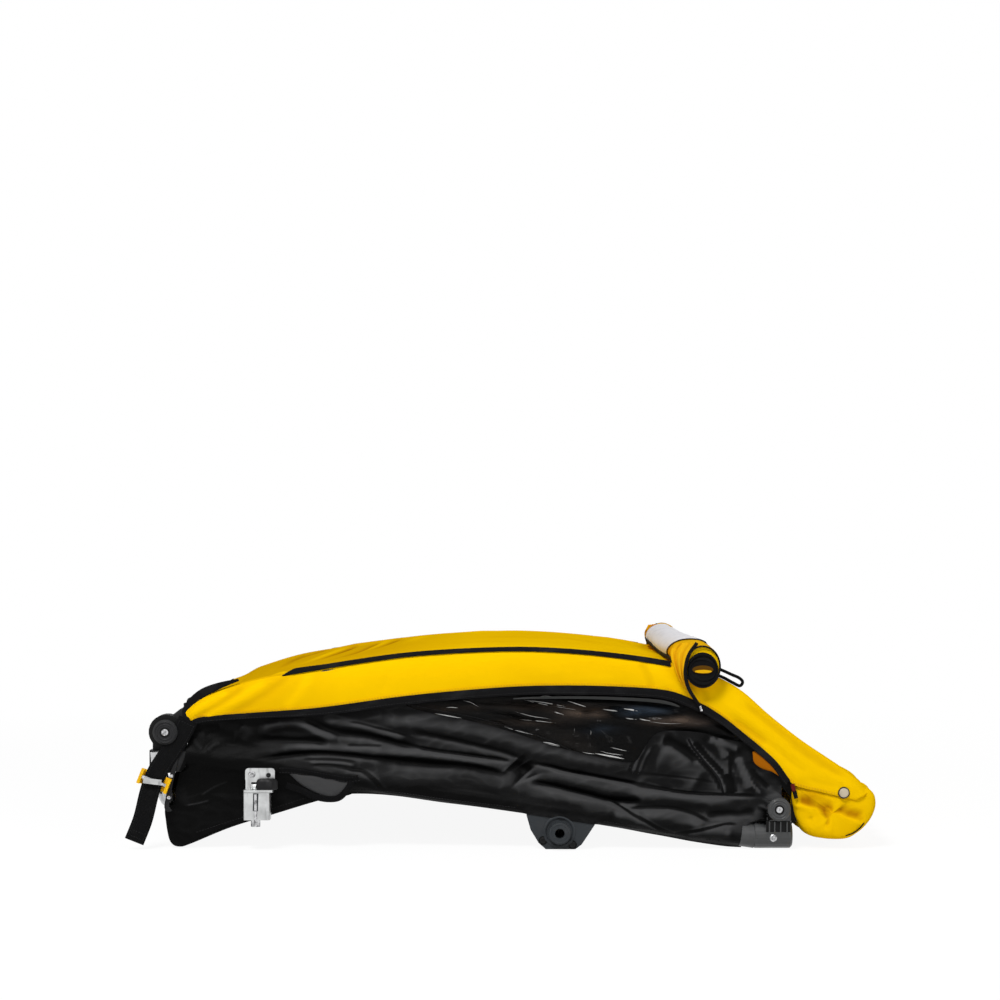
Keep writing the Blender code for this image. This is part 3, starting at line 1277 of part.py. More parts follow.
def build():
    clear_scene()
    hoop_pivot = pivot("hoop_pivot", (FRONT_X, 0, FRONT_HINGE_UP))
    frame_pivot = pivot("rear_frame_pivot", (REAR_X, 0, REAR_HINGE_UP))
    pin_y = -(HALF_WIDTH + TOW_PIN_OUT)
    pin_pivot = pivot("tow_pin_pivot", (FRONT_X + TOW_PIN_BEHIND_HINGE, pin_y, TOW_LUG_TOP))
    knob_y = -(HALF_WIDTH + TOUCH_GAP + TOW_PLATE_THICKNESS + TOW_KNOB_RADIUS)
    knob_place = (FRONT_X + TOW_KNOB_BEHIND_HINGE, knob_y, TOW_LUG_TOP)
    knob_pivot = pivot("tow_knob_pivot", knob_place)
    for side, word in SIDES:
        side_rail(side, word)
        front_corner(side, word)
        rear_corner(side, word)
        leg_end = bumper_leg(side, word)
        axle_receiver(side, word)
        side_cloth(side, word)
        hoop_side(side, word, hoop_pivot)
        side_panel(side, word, hoop_pivot)
    low = FRONT_HINGE_UP - BUMPER_DROP
    cross_tube("bumper_cross_tube", FRONT_X, low, BUMPER_OD, leg_end, look="aluminium")
    sleeve_end = RAIL_Y - REAR_SLEEVE_INWARD
    cross_tube("rear_cross_tube", REAR_X, REAR_SLEEVE_RADIUS, RAIL_OD, sleeve_end)
    receiver_back = RAIL_Y - RECEIVER_HALF_DEPTH
    axle_x = REAR_X - AXLE_AHEAD_OF_REAR_HINGE
    cross_tube("axle_cross_tube", axle_x, AXLE_UP, AXLE_TUBE_OD, receiver_back)
    seat_x = FRONT_X + SEAT_TUBE_BEHIND_HINGE
    cross_tube("seat_front_tube", seat_x, rail_z(seat_x), SEAT_TUBE_OD, RAIL_Y - RAIL_OD / 2)
    end_x, end_z = hoop_at(HOOP_LENGTH)
    cross_tube("hoop_rear_cross_tube", end_x, end_z, HOOP_OD, HOOP_Y - HOOP_OD / 2, hoop_pivot)
    footwell()
    floor_and_cushion()
    tow_hitch(pin_pivot, knob_pivot)
    tow_pocket()
    folding_strap()
    canopy(hoop_pivot)
    rear_flap(hoop_pivot)
    cover_roll(hoop_pivot)
    rear_frame(frame_pivot)


build()
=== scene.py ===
"""Looks for the folded child bike trailer: soft goods, trims, fittings and finishes around its frame.

Metres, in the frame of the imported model: -X is the trailer's front and -Y its left side, which the
camera sees.
"""

import json
import math

import bmesh
import bpy
import numpy as np
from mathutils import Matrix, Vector, bvhtree, kdtree, noise


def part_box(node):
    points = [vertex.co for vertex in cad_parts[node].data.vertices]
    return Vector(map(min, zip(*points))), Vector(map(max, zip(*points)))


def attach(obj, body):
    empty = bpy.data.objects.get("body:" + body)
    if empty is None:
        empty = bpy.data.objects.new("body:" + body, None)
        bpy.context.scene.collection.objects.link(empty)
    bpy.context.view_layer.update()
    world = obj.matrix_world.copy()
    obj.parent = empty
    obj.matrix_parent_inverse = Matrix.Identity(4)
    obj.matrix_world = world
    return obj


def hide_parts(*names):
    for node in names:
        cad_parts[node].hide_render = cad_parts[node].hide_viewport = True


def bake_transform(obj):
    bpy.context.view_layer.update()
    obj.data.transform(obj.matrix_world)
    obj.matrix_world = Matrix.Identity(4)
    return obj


MM = 0.001
WORDS = ("left", "right")
SIDES = tuple(zip((-1, 1), WORDS))

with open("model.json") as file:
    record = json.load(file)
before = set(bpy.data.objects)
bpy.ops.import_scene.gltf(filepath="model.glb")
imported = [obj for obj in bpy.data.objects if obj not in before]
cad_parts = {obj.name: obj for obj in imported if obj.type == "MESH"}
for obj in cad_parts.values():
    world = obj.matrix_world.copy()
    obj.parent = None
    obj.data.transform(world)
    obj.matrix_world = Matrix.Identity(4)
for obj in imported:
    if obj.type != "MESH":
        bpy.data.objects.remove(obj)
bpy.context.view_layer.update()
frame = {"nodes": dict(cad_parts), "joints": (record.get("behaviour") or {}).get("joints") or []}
HINGES = {joint["name"]: Vector(joint["pos_m"]) for joint in frame["joints"]}
FRONT = HINGES["hoop_fold"]
REAR = HINGES["rear_frame_fold"]
RAIL_LOW, RAIL_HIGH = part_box("side_rail_left")
HALF_WIDTH = -RAIL_LOW.y
RAIL_Y = (RAIL_HIGH.y - RAIL_LOW.y) / 2 - HALF_WIDTH


def rail_height(x):
    """Height of the side rail's centre line."""
    radius = RAIL_HIGH.y - RAIL_LOW.y
    slope = (RAIL_LOW.z - RAIL_HIGH.z + radius) / (RAIL_HIGH.x - RAIL_LOW.x)
    return RAIL_HIGH.z - radius / 2 + slope * (x - RAIL_LOW.x)


# Curves through chosen points

CURVE_STEPS = 24


def smooth(points, count):
    """Evenly spaced points on a Catmull-Rom curve through the given ones."""
    points = np.asarray(points, float)
    before, after = points[0] * 2 - points[1], points[-1] * 2 - points[-2]
    padded = np.concatenate([[before], points, [after]])
    t = np.linspace(0, 1, CURVE_STEPS, endpoint=False)[:, None]
    dense = []
    for p0, p1, p2, p3 in zip(padded, padded[1:], padded[2:], padded[3:]):
        bend = (p0 * 2 - p1 * 5 + p2 * 4 - p3) * t**2 + (p1 * 3 - p0 - p2 * 3 + p3) * t**3
        dense.append((p1 * 2 + (p2 - p0) * t + bend) / 2)
    return evenly(np.concatenate([*dense, points[-1:]]), count)


def curve(route, count):
    """A smooth curve through places given in mm."""
    return smooth(np.array(route) * MM, count)


def reach_of(path):
    """Distance along a path at each of its points."""
    return np.concatenate([[0], np.cumsum(np.linalg.norm(np.diff(path, axis=0), axis=1))])


def evenly(path, count):
    """Points at equal distances along a path."""
    reach = reach_of(path)
    wanted = np.linspace(0, reach[-1], count)
    return np.stack([np.interp(wanted, reach, path[:, k]) for k in range(path.shape[1])], axis=1)


def length_of(path):
    return float(np.linalg.norm(np.diff(np.asarray(path), axis=0), axis=1).sum())


def unit(vectors):
    return vectors / np.maximum(np.linalg.norm(vectors, axis=-1, keepdims=True), 1e-12)


def ease(value, low, high):
    """0 below low, 1 above high, and smooth between them."""
    t = np.clip((value - low) / (high - low), 0, 1)
    return t * t * (3 - 2 * t)


def ripple(points, size, seed=0.0):
    """Smooth noise from -1 to 1 at each point, with bumps about as long as size (x, y, z)."""
    shape = points.shape[:-1]
    flat = points.reshape(-1, 3) / np.asarray(size) + seed
    return np.array([noise.noise(Vector(p)) for p in flat]).reshape(shape)


def lay(grid_x, grid_y, grid_z):
    return np.stack(np.broadcast_arrays(grid_x, grid_y, grid_z), axis=-1)


def stood(flat, y=0.0):
    """Points or directions given as X and height, at one Y."""
    return lay(flat[..., 0], y, flat[..., 1])


def crumple(x, z, wide, tall, seed=0.0):
    """Smooth noise over an upright cloth, with bumps about as wide and tall as given."""
    return ripple(lay(x, 0, z), (wide, 1, tall), seed)


def read(table, at):
    """Values of a table in mm, read between its places."""
    return np.interp(at, *(np.array(table).T * MM))


# Meshes

SHARP_ANGLE = math.radians(50)


def piece_from(name, points, faces, look, uv=None):
    """A smooth piece at the origin. uv gives each point its place on the cloth, in metres."""
    mesh = bpy.data.meshes.new(name)
    mesh.from_pydata(np.asarray(points, float).tolist(), [], faces)
    if uv is not None:
        layer = mesh.uv_layers.new(name="cloth")
        index = np.zeros(len(mesh.loops), int)
        mesh.loops.foreach_get("vertex_index", index)
        layer.data.foreach_set("uv", np.asarray(uv, float)[index].ravel())
    bm = bmesh.new()
    bm.from_mesh(mesh)
    bmesh.ops.recalc_face_normals(bm, faces=bm.faces)
    bm.to_mesh(mesh)
    bm.free()
    mesh.shade_smooth()
    mesh.set_sharp_from_angle(angle=SHARP_ANGLE)
    mesh.materials.append(look)
    return linked(name, mesh)


def linked(name, data):
    obj = bpy.data.objects.new(name, data)
    bpy.context.scene.collection.objects.link(obj)
    return obj


def grid_faces(rows, columns, start=0, looped=False, turned=False):
    faces = []
    for i in range(rows - 1):
        for j in range(columns if looped else columns - 1):
            k = (j + 1) % columns
            a, b = start + i * columns + j, start + i * columns + k
            quad = (a, b, b + columns, a + columns)
            faces.append(quad[::-1] if turned else quad)
    return faces


def rim_of(rows, columns):
    """Places of a grid's outer points, in order round it."""
    ring = [(0, j) for j in range(columns)]
    ring += [(i, columns - 1) for i in range(1, rows)]
    ring += [(rows - 1, j) for j in range(columns - 2, -1, -1)]
    return ring + [(i, 0) for i in range(rows - 2, 0, -1)]


def doubled_faces(rows, columns):
    """Faces of two grids, one behind the other, joined all round."""
    count = rows * columns
    faces = grid_faces(rows, columns) + grid_faces(rows, columns, start=count, turned=True)
    edge = [i * columns + j for i, j in rim_of(rows, columns)]
    return faces + [(b, a, a + count, b + count) for a, b in zip(edge, edge[1:] + edge[:1])]


def rings_piece(name, grid, look, uv=None):
    """A closed piece through rings of points, with a flat face on its first and last ring."""
    rows, columns = grid.shape[:2]
    faces = grid_faces(rows, columns, looped=True)
    faces.append(tuple(range(columns - 1, -1, -1)))
    faces.append(tuple((rows - 1) * columns + j for j in range(columns)))
    return piece_from(name, grid.reshape(-1, 3), faces, look, uv)


def cloth_uv(grid):
    """Each point's distance along the rows and the columns of a sheet."""
    along = np.linalg.norm(np.diff(grid, axis=0), axis=2).mean(axis=1)
    across = np.linalg.norm(np.diff(grid, axis=1), axis=2).mean(axis=0)
    u = np.concatenate([[0], np.cumsum(along)])
    v = np.concatenate([[0], np.cumsum(across)])
    return np.stack(np.meshgrid(u, v, indexing="ij"), axis=2).reshape(-1, 2)


def grid_normals(grid):
    rows = np.gradient(grid, axis=0)
    columns = np.gradient(grid, axis=1)
    return unit(np.cross(rows, columns))


def sheet(name, grid, look, thickness):
    """A sheet of cloth through a grid of points, with an even wall on both sides of it."""
    grid = np.asarray(grid, float)
    rows, columns = grid.shape[:2]
    off = grid_normals(grid) * thickness / 2
    points = np.concatenate([(grid + off).reshape(-1, 3), (grid - off).reshape(-1, 3)])
    return piece_from(name, points, doubled_faces(rows, columns), look, np.tile(cloth_uv(grid), (2, 1)))


def swept(name, path, across, section, look):
    """A section of (across, outward) offsets carried along a path. Both ends are closed."""
    path = np.asarray(path, float)
    tangent = unit(np.gradient(path, axis=0))
    across = np.broadcast_to(np.asarray(across, float), path.shape)
    across = unit(across - tangent * (across * tangent).sum(axis=1, keepdims=True))
    outward = np.cross(tangent, across)
    section = np.asarray(section, float)
    if section.ndim == 2:
        section = np.broadcast_to(section, (len(path), *section.shape))
    grid = path[:, None] + across[:, None] * section[..., :1] + outward[:, None] * section[..., 1:]
    return rings_piece(name, grid, look, cloth_uv(grid))


def oval(wide, deep, count=12, power=1.0):
    """Section of a round bar or, with a power under 1, of a flat tape."""
    turn = np.linspace(0, 2 * math.pi, count, endpoint=False)
    x, y = np.cos(turn), np.sin(turn)
    x = np.sign(x) * np.abs(x) ** power
    y = np.sign(y) * np.abs(y) ** power
    return np.stack([x * wide / 2, y * deep / 2], axis=1)


TAPE_COUNT, TAPE_POWER = 14, 0.45


def tapered(widths, thickness, count=TAPE_COUNT, power=TAPE_POWER):
    """Sections of a tape that changes its width along its length."""
    return np.stack([oval(width, thickness, count, power) for width in widths])


def tube(name, path, radius, look, count=12):
    path = np.asarray(path, float)
    steps = unit(np.gradient(path, axis=0))
    across = [np.cross(steps[0], (0.3, 0.4, 0.87))]
    for step in steps[1:]:
        across.append(across[-1] - step * np.dot(across[-1], step))
    return swept(name, path, unit(np.array(across)), oval(2 * radius, 2 * radius, count), look)


def tape(name, path, across, width, thickness, look):
    return swept(name, path, across, oval(width, thickness, TAPE_COUNT, TAPE_POWER), look)


def gather(name, parts):
    """Joins pieces of one body into one, and keeps their materials."""
    bpy.ops.object.select_all(action="DESELECT")
    for part in parts:
        part.select_set(True)
    bpy.context.view_layer.objects.active = parts[0]
    bpy.ops.object.join()
    parts[0].name = name
    return parts[0]


# Nodes and materials


def grow(tree, kind, settings=(), values=()):
    """Adds a node with its settings, and links or sets its inputs."""
    node = tree.nodes.new(kind)
    for key, value in dict(settings).items():
        setattr(node, key, value)
    for key, value in dict(values).items():
        if isinstance(value, bpy.types.NodeSocket):
            tree.links.new(value, node.inputs[key])
        else:
            node.inputs[key].default_value = value
    return node


# Point attribute of painted light and shade: above 0 a painted highlight on folds, below 0 painted shade
# deep in creases; on the windows it holds painted reflections
PAINTED_LIGHT_ATTRIBUTE = "painted_light"


class Finish:
    """A Principled material that is built up a layer at a time."""

    def __init__(self, name, colour, roughness, source="Object", shine=0.5, metal=0.0):
        self.look = bpy.data.materials.new(name)
        self.look.use_nodes = True
        self.tree = self.look.node_tree
        self.shader = self.tree.nodes["Principled BSDF"]
        self.place = self.tree.nodes.new("ShaderNodeTexCoord").outputs[source]
        self.set("Base Color", (*colour, 1))
        self.set("Roughness", roughness)
        self.set("Specular IOR Level", shine)
        self.set("Metallic", metal)
        self.colour = colour
        self.last_colour = None
        self.last_normal = None

    def set(self, socket, value):
        self.shader.inputs[socket].default_value = value

    def add(self, kind, settings=(), values=()):
        return grow(self.tree, kind, settings, values)

    def stretched(self, stretch=(1, 1, 1), turn=0.0):
        """The surface's coordinates, with the pattern drawn out along an axis and turned about Z."""
        scale = tuple(1 / s for s in stretch)
        values = {"Vector": self.place, "Scale": scale, "Rotation": (0, 0, turn)}
        return self.add("ShaderNodeMapping", values=values).outputs["Vector"]

    def noise(self, size, detail=3.0, stretch=(1, 1, 1), rough=0.55):
        """Noise from 0 to 1, with patches about as wide as size."""
        where = self.stretched(stretch)
        values = {"Vector": where, "Scale": 1 / size, "Detail": detail, "Roughness": rough}
        return self.add("ShaderNodeTexNoise", values=values).outputs["Fac"]

    def creases(self, size, stretch=(1, 1, 1)):
        """Sharp crossing creases, like crumpled cloth."""
        settings = {"noise_type": "RIDGED_MULTIFRACTAL"}
        values = {"Vector": self.stretched(stretch), "Scale": 1 / size, "Detail": 2.0, "Roughness": 0.4}
        return self.add("ShaderNodeTexNoise", settings, values).outputs["Fac"]

    def bands(self, pitch, axis, wander=0.0):
        """Even bands across an axis. A Wave texture's own bands are a tenth of pi apart."""
        settings = {"wave_type": "BANDS", "bands_direction": axis}
        values = {"Vector": self.place, "Scale": math.pi / 10 / pitch, "Distortion": wander}
        return self.add("ShaderNodeTexWave", settings, values).outputs["Fac"]

    def times(self, one, other):
        return self.add("ShaderNodeMath", {"operation": "MULTIPLY"}, {0: one, 1: other}).outputs[0]

    def between(self, factor, low, high, start=0.0, stop=1.0):
        """A factor stretched from low..high to start..stop."""
        values = {"Value": factor, "From Min": low, "From Max": high, "To Min": start, "To Max": stop}
        return self.add("ShaderNodeMapRange", values=values).outputs["Result"]

    def tint(self, factor, colour):
        """Turns the colour towards another one where factor is high."""
        node = self.add("ShaderNodeMix", {"data_type": "RGBA"}, {0: factor, 7: (*colour, 1)})
        if self.last_colour is None:
            node.inputs[6].default_value = (*self.colour, 1)
        else:
            self.tree.links.new(self.last_colour, node.inputs[6])
        self.last_colour = node.outputs[2]
        self.tree.links.new(self.last_colour, self.shader.inputs["Base Color"])
        return self

    def gloss(self, factor, low, high):
        """Roughness from low to high along the factor."""
        self.tree.links.new(self.between(factor, 0, 1, low, high), self.shader.inputs["Roughness"])
        return self

    def patches(self, colour, size, detail, low, high, stretch=(1, 1, 1), most=1.0):
        """Turns the colour towards another one in patches of noise."""
        return self.tint(self.between(self.noise(size, detail, stretch), low, high, 0, most), colour)

    def painted_light(self, low, high, colour):
        """Turns the colour towards another one by the painted light and shade stored on the cloth: lighter
        on folds, darker in creases.
        """
        painted_shading = self.add("ShaderNodeAttribute", {"attribute_name": PAINTED_LIGHT_ATTRIBUTE}).outputs["Fac"]
        return self.tint(self.between(painted_shading, low, high), colour)

    def bump(self, height, depth, strength=1.0):
        """Relief of a real depth, in metres."""
        values = {"Height": height, "Distance": depth, "Strength": strength}
        node = self.add("ShaderNodeBump", values=values)
        if self.last_normal is not None:
            self.tree.links.new(self.last_normal, node.inputs["Normal"])
        self.last_normal = node.outputs["Normal"]
        self.tree.links.new(self.last_normal, self.shader.inputs["Normal"])
        return self

    def grain(self, size, detail, depth, strength=1.0, stretch=(1, 1, 1)):
        return self.bump(self.noise(size, detail, stretch), depth, strength)

    def weave(self, pitch, depth, strength=0.6):
        """Threads over and under, along the cloth's own two directions."""
        threads = self.times(self.bands(pitch, "X"), self.bands(pitch, "Y"))
        return self.bump(threads, depth, strength)


def yellow_cloth(name="yellow_cloth_look", colour=(0.95, 0.565, 0.001), worn=(0.86, 0.475, 0.001),
                 crease_shade=(0.46, 0.19, 0.002)):
    """Coated polyester: even, a little waxy, dirtier in patches, with painted shade along its creases."""
    cloth = Finish(name, colour, 0.55, "UV", 0.0)
    # Painted shade in the creases, and where the cloth is painted darker
    cloth.painted_light(-0.1, -1.0, crease_shade)
    cloth.patches(worn, 0.16, 3, 0.5, 0.82, (2, 1, 1))
    cloth.patches((0.66, 0.35, 0.004), 0.021, 6, 0.66, 0.8, (3, 1, 1), 0.35)
    cloth.gloss(cloth.noise(0.05, 3), 0.45, 0.65)
    cloth.grain(0.028, 4, 0.0011, 1.0, (2.4, 1, 1))
    cloth.bump(cloth.creases(0.045, (1.6, 1, 1)), 0.0008, 0.5)
    return cloth.weave(0.0008, 0.00007).look


def black_cloth(name="black_cloth_look", colour=(0.0050, 0.0050, 0.0052), pitch=0.0009):
    """Heavy coated nylon: near black, with a painted highlight on its folds and painted shade in its
    creases.
    """
    cloth = Finish(name, colour, 0.5, "UV", 0.06)
    cloth.patches((0.0135, 0.0135, 0.0138), 0.09, 4, 0.42, 0.8, (2.5, 1, 1))
    cloth.patches((0.030, 0.029, 0.027), 0.012, 6, 0.64, 0.82, most=0.4)
    # Painted highlight on the folds, then painted shade in the creases
    cloth.painted_light(0.0, 1.0, (0.052, 0.052, 0.053))
    cloth.painted_light(-0.02, -0.7, (0.0006, 0.0006, 0.0006))
    cloth.gloss(cloth.noise(0.04, 4), 0.40, 0.60)
    cloth.grain(0.022, 4, 0.0014, 1.0, (2.6, 1, 1))
    cloth.bump(cloth.creases(0.03, (2.2, 1, 1)), 0.0012, 0.6)
    return cloth.weave(pitch, 0.00012).look


def binding():
    """Ribbed black edge tape, greyer where it is worn."""
    edge = Finish("binding_look", (0.0075, 0.0075, 0.008), 0.6, "UV", 0.03)
    edge.patches((0.022, 0.022, 0.023), 0.02, 5, 0.5, 0.8, (2, 1, 1))
    edge.bump(edge.bands(0.0011, "X"), 0.00022, 0.8)
    return edge.bump(edge.bands(0.0008, "Y"), 0.00010, 0.6).look


def webbing():
    """Flat woven strap with heavy ribs across it."""
    strap = Finish("webbing_look", (0.005, 0.005, 0.0053), 0.62, "UV", 0.04)
    strap.patches((0.011, 0.011, 0.0113), 0.015, 5, 0.55, 0.8)
    strap.bump(strap.bands(0.0016, "X", 0.4), 0.0003, 0.9)
    return strap.bump(strap.bands(0.0012, "Y"), 0.00012, 0.6).look


def clear_vinyl():
    """Clear window sheet, glossy, a little smoky, with scuffs and painted brownish and bluish reflections.
    """
    vinyl = Finish("clear_vinyl_look", (0.009, 0.009, 0.009), 0.06, "UV")
    vinyl.set("Transmission Weight", 0.45)
    vinyl.set("IOR", 1.1)
    vinyl.patches((0.035, 0.03, 0.026), 0.05, 4, 0.5, 0.8, (3, 1, 1))
    # Painted reflections: brownish above 0, bluish below 0
    vinyl.painted_light(0.0, 1.0, (0.15, 0.11, 0.085))
    vinyl.painted_light(0.0, -1.0, (0.06, 0.085, 0.12))
    vinyl.gloss(vinyl.between(vinyl.noise(0.018, 6, (4, 1, 1)), 0.45, 0.85), 0.05, 0.24)
    vinyl.grain(0.02, 3, 0.0016, 1.0, (3.5, 1, 1))
    return vinyl.grain(0.004, 4, 0.00012, 0.5, (5, 1, 1)).look


def pale_panel():
    """The roll's pale panel: smooth coated cloth with faint creases."""
    panel = Finish("pale_panel_look", (0.75, 0.735, 0.755), 0.5, "UV", 0.1)
    panel.patches((0.60, 0.585, 0.61), 0.03, 5, 0.5, 0.85)
    panel.grain(0.02, 4, 0.0009, 1.0, (1, 2.5, 1))
    return panel.weave(0.0008, 0.00006).look


def aluminium(name, colour, roughness, stretch):
    """Bare drawn or rolled aluminium with fine lines along the work, and small knocks."""
    metal = Finish(name, colour, roughness, metal=1.0)
    metal.patches([0.72 * c for c in colour], 0.018, 3, 0.42, 0.7)
    metal.patches([0.3 * c for c in colour], 0.004, 5, 0.55, 0.75, stretch, 0.6)
    metal.gloss(metal.noise(0.0025, 4, stretch), roughness - 0.09, roughness + 0.16)
    metal.grain(0.0009, 3, 0.00006, 0.6, stretch)
    return metal.grain(0.016, 2, 0.0002, 0.5).look


def chrome():
    metal = Finish("bright_steel_look", (0.62, 0.62, 0.63), 0.16, metal=1.0)
    metal.patches((0.22, 0.22, 0.225), 0.0032, 4, 0.45, 0.62)
    metal.gloss(metal.noise(0.004, 5), 0.10, 0.28)
    return metal.grain(0.003, 3, 0.00004, 0.5).look


def moulded(name, colour, roughness, worn=(0.05, 0.05, 0.052), shine=0.16):
    """Moulded plastic with a fine spark-eroded grain, dusty and worn in places."""
    plastic = Finish(name, colour, roughness, shine=shine)
    plastic.patches(worn, 0.03, 5, 0.52, 0.85, most=0.8)
    plastic.patches(worn, 0.003, 5, 0.66, 0.78, most=0.4)
    plastic.gloss(plastic.noise(0.012, 4), roughness - 0.1, roughness + 0.14)
    return plastic.grain(0.0007, 2, 0.00006, 0.7).look


def coated_tube():
    """Black powder coat with orange peel and a few scuffs."""
    coat = Finish("frame_tube_look", (0.014, 0.014, 0.015), 0.34, shine=0.2)
    coat.patches((0.07, 0.07, 0.07), 0.008, 6, 0.66, 0.8, (6, 1, 1), 0.6)
    coat.gloss(coat.noise(0.02, 4), 0.28, 0.48)
    return coat.grain(0.0016, 2, 0.00005, 0.6).look


def thread(name, colour):
    """Sewing thread, twisted."""
    return Finish(name, colour, 0.6, shine=0.1).grain(0.0006, 2, 0.00008, 0.8).look


YELLOW_CLOTH = yellow_cloth()
BLACK_CLOTH = black_cloth()
LINING = black_cloth("lining_look", (0.008, 0.008, 0.0085), 0.0012)
BINDING = binding()
WEBBING = webbing()
VINYL = clear_vinyl()
PALE_PANEL = pale_panel()
ALUMINIUM = aluminium("bare_aluminium_look", (0.60, 0.605, 0.61), 0.34, (1, 8, 1))
TOW_METAL = aluminium("tow_metal_look", (0.64, 0.65, 0.65), 0.30, (1, 1, 9))
CHROME = chrome()
BLACK_PLASTIC = moulded("black_plastic_look", (0.010, 0.010, 0.0105), 0.42)
DISC_PLASTIC = moulded("disc_plastic_look", (0.019, 0.019, 0.020), 0.38)
# The rear fitting's black plastic, painted lighter than the front's for the light on it
LIT_REAR_PLASTIC = moulded("lit_rear_plastic_look", (0.038, 0.039, 0.040), 0.30, (0.085, 0.086, 0.088), 0.5)
DARK_PLASTIC = moulded("dark_plastic_look", (0.030, 0.034, 0.038), 0.45)
# Near-black plastic painted as shade: for the knuckle, the neck's hollow and the rims round screws and bolts
SHADE_BLACK = moulded("shade_black_look", (0.003, 0.003, 0.003), 0.6, (0.010, 0.010, 0.010))
SNAP_LOOK = moulded("snap_look", (0.60, 0.52, 0.39), 0.42, (0.34, 0.29, 0.20))
YELLOW_PLASTIC = moulded("yellow_plastic_look", (0.90, 0.50, 0.004), 0.36, (0.74, 0.40, 0.02))
FRAME_TUBE = coated_tube()
BLACK_THREAD = thread("black_thread_look", (0.02, 0.02, 0.021))
# Yellow cloth painted orange-brown for shade
SHADED_INNER_CLOTH = yellow_cloth("shaded_inner_cloth_look", (0.42, 0.13, 0.004), (0.20, 0.05, 0.002))
ROLL_CLOTH = yellow_cloth("roll_cloth_look", (0.80, 0.43, 0.006), (0.62, 0.30, 0.005))
YELLOW_THREAD = thread("yellow_thread_look", (0.78, 0.44, 0.01))
# Pale strips that stand for glints on the window
VINYL_GLINT_LOOK = Finish("vinyl_glint_look", (0.50, 0.50, 0.49), 0.2).look
WINDOW_TAPE_LOOK = moulded("window_tape_look", (0.026, 0.027, 0.026), 0.4)
RED_TAB = thread("red_tab_look", (0.11, 0.008, 0.006))
# Yellow cloth painted dark brown for the shade in the roll's eye
EYE_SHADE_CLOTH = yellow_cloth("eye_shade_cloth_look", (0.11, 0.05, 0.006), (0.06, 0.025, 0.003))


# Stage, lights and camera

TARGET_AT = Vector((-0.0056, 0.0, 0.380))
CAMERA_AWAY = 3.13
LENS = 80.6
SENSOR = 36.0
SHIFT = (0.005, 0.0458)
FLOOR_SIZE = 14.0
FLOOR_DROP = 0.4 * MM
# Distances from the middle between which the floor fades to white
FLOOR_FADE = (0.75, 2.2)


def larger(tree, one, other):
    return grow(tree, "ShaderNodeMath", {"operation": "MAXIMUM"}, {0: one, 1: other}).outputs[0]


def camera_rays(tree):
    """1 for camera, glossy and transmission rays, and 0 for all others."""
    rays = grow(tree, "ShaderNodeLightPath").outputs
    seen = larger(tree, rays["Is Camera Ray"], rays["Is Glossy Ray"])
    return larger(tree, seen, rays["Is Transmission Ray"])


def mixed(tree, share, one, other):
    values = {0: share, 1: one.outputs[0], 2: other.outputs[0]}
    return grow(tree, "ShaderNodeMixShader", values=values)


def add_world():
    world = bpy.data.worlds.new("studio")
    bpy.context.scene.world = world
    world.use_nodes = True
    tree = world.node_tree
    tree.nodes.clear()
    dim = grow(tree, "ShaderNodeBackground", values={"Color": (0.96, 0.98, 1.0, 1), "Strength": 0.22})
    white = grow(tree, "ShaderNodeBackground", values={"Color": (1, 1, 1, 1), "Strength": 1.0})
    mix = mixed(tree, camera_rays(tree), dim, white)
    grow(tree, "ShaderNodeOutputWorld", values={"Surface": mix.outputs[0]})


def floor_look():
    """Pale matt floor: it takes the shadow near the object, and is plain white to the camera far off."""
    look = bpy.data.materials.new("studio_floor")
    look.use_nodes = True
    tree = look.node_tree
    tree.nodes.clear()
    matt = grow(tree, "ShaderNodeBsdfDiffuse", values={"Color": (0.10, 0.10, 0.10, 1)})
    lift = grow(tree, "ShaderNodeEmission", values={"Strength": 0.92})
    both = grow(tree, "ShaderNodeAddShader", values={0: matt.outputs[0], 1: lift.outputs[0]})
    far_white = grow(tree, "ShaderNodeEmission")
    plain = grow(tree, "ShaderNodeBsdfDiffuse", values={"Color": (0.72, 0.72, 0.72, 1)})
    place = grow(tree, "ShaderNodeTexCoord").outputs["Object"]
    away = grow(tree, "ShaderNodeVectorMath", {"operation": "LENGTH"}, {0: place}).outputs["Value"]
    low, high = FLOOR_FADE
    fade = grow(tree, "ShaderNodeMapRange", values={"Value": away, "From Min": low, "From Max": high})
    near = mixed(tree, fade.outputs["Result"], both, far_white)
    mix = mixed(tree, camera_rays(tree), plain, near)
    grow(tree, "ShaderNodeOutputMaterial", values={"Surface": mix.outputs[0]})
    return look


def add_stage():
    bpy.ops.mesh.primitive_plane_add(size=FLOOR_SIZE, location=(0, 0, -FLOOR_DROP))
    floor = bpy.context.object
    floor.name = "studio_floor"
    floor.data.materials.append(floor_look())


def add_light(name, place, aim, size, power):
    data = bpy.data.lights.new(name, "AREA")
    data.shape = "RECTANGLE"
    data.size, data.size_y = size
    data.energy = power
    lamp = linked(name, data)
    lamp.location = place
    lamp.rotation_euler = (Vector(aim) - Vector(place)).to_track_quat("-Z", "Y").to_euler()


def add_lights():
    add_light("key_box", (-0.8, -2.2, 2.7), (0, -0.2, 0.1), (1.0, 0.8), 82)
    add_light("fill_box", (1.9, -3.0, 1.0), (0.1, -0.2, 0.1), (1.2, 1.2), 18)
    add_light("rear_rim", (1.4, 2.0, 1.9), (0.1, 0.1, 0.1), (1.6, 0.9), 16)


def add_camera():
    data = bpy.data.cameras.new("photo_camera")
    data.lens = LENS
    data.sensor_width = SENSOR
    data.shift_x, data.shift_y = SHIFT
    camera = linked("photo_camera", data)
    camera.location = TARGET_AT + Vector((0, -CAMERA_AWAY, 0))
    camera.rotation_euler = (math.pi / 2, 0, 0)
    bpy.context.scene.camera = camera


bpy.context.scene.view_settings.view_transform = "Standard"
add_world()
add_stage()
add_lights()
add_camera()


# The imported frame's own pieces

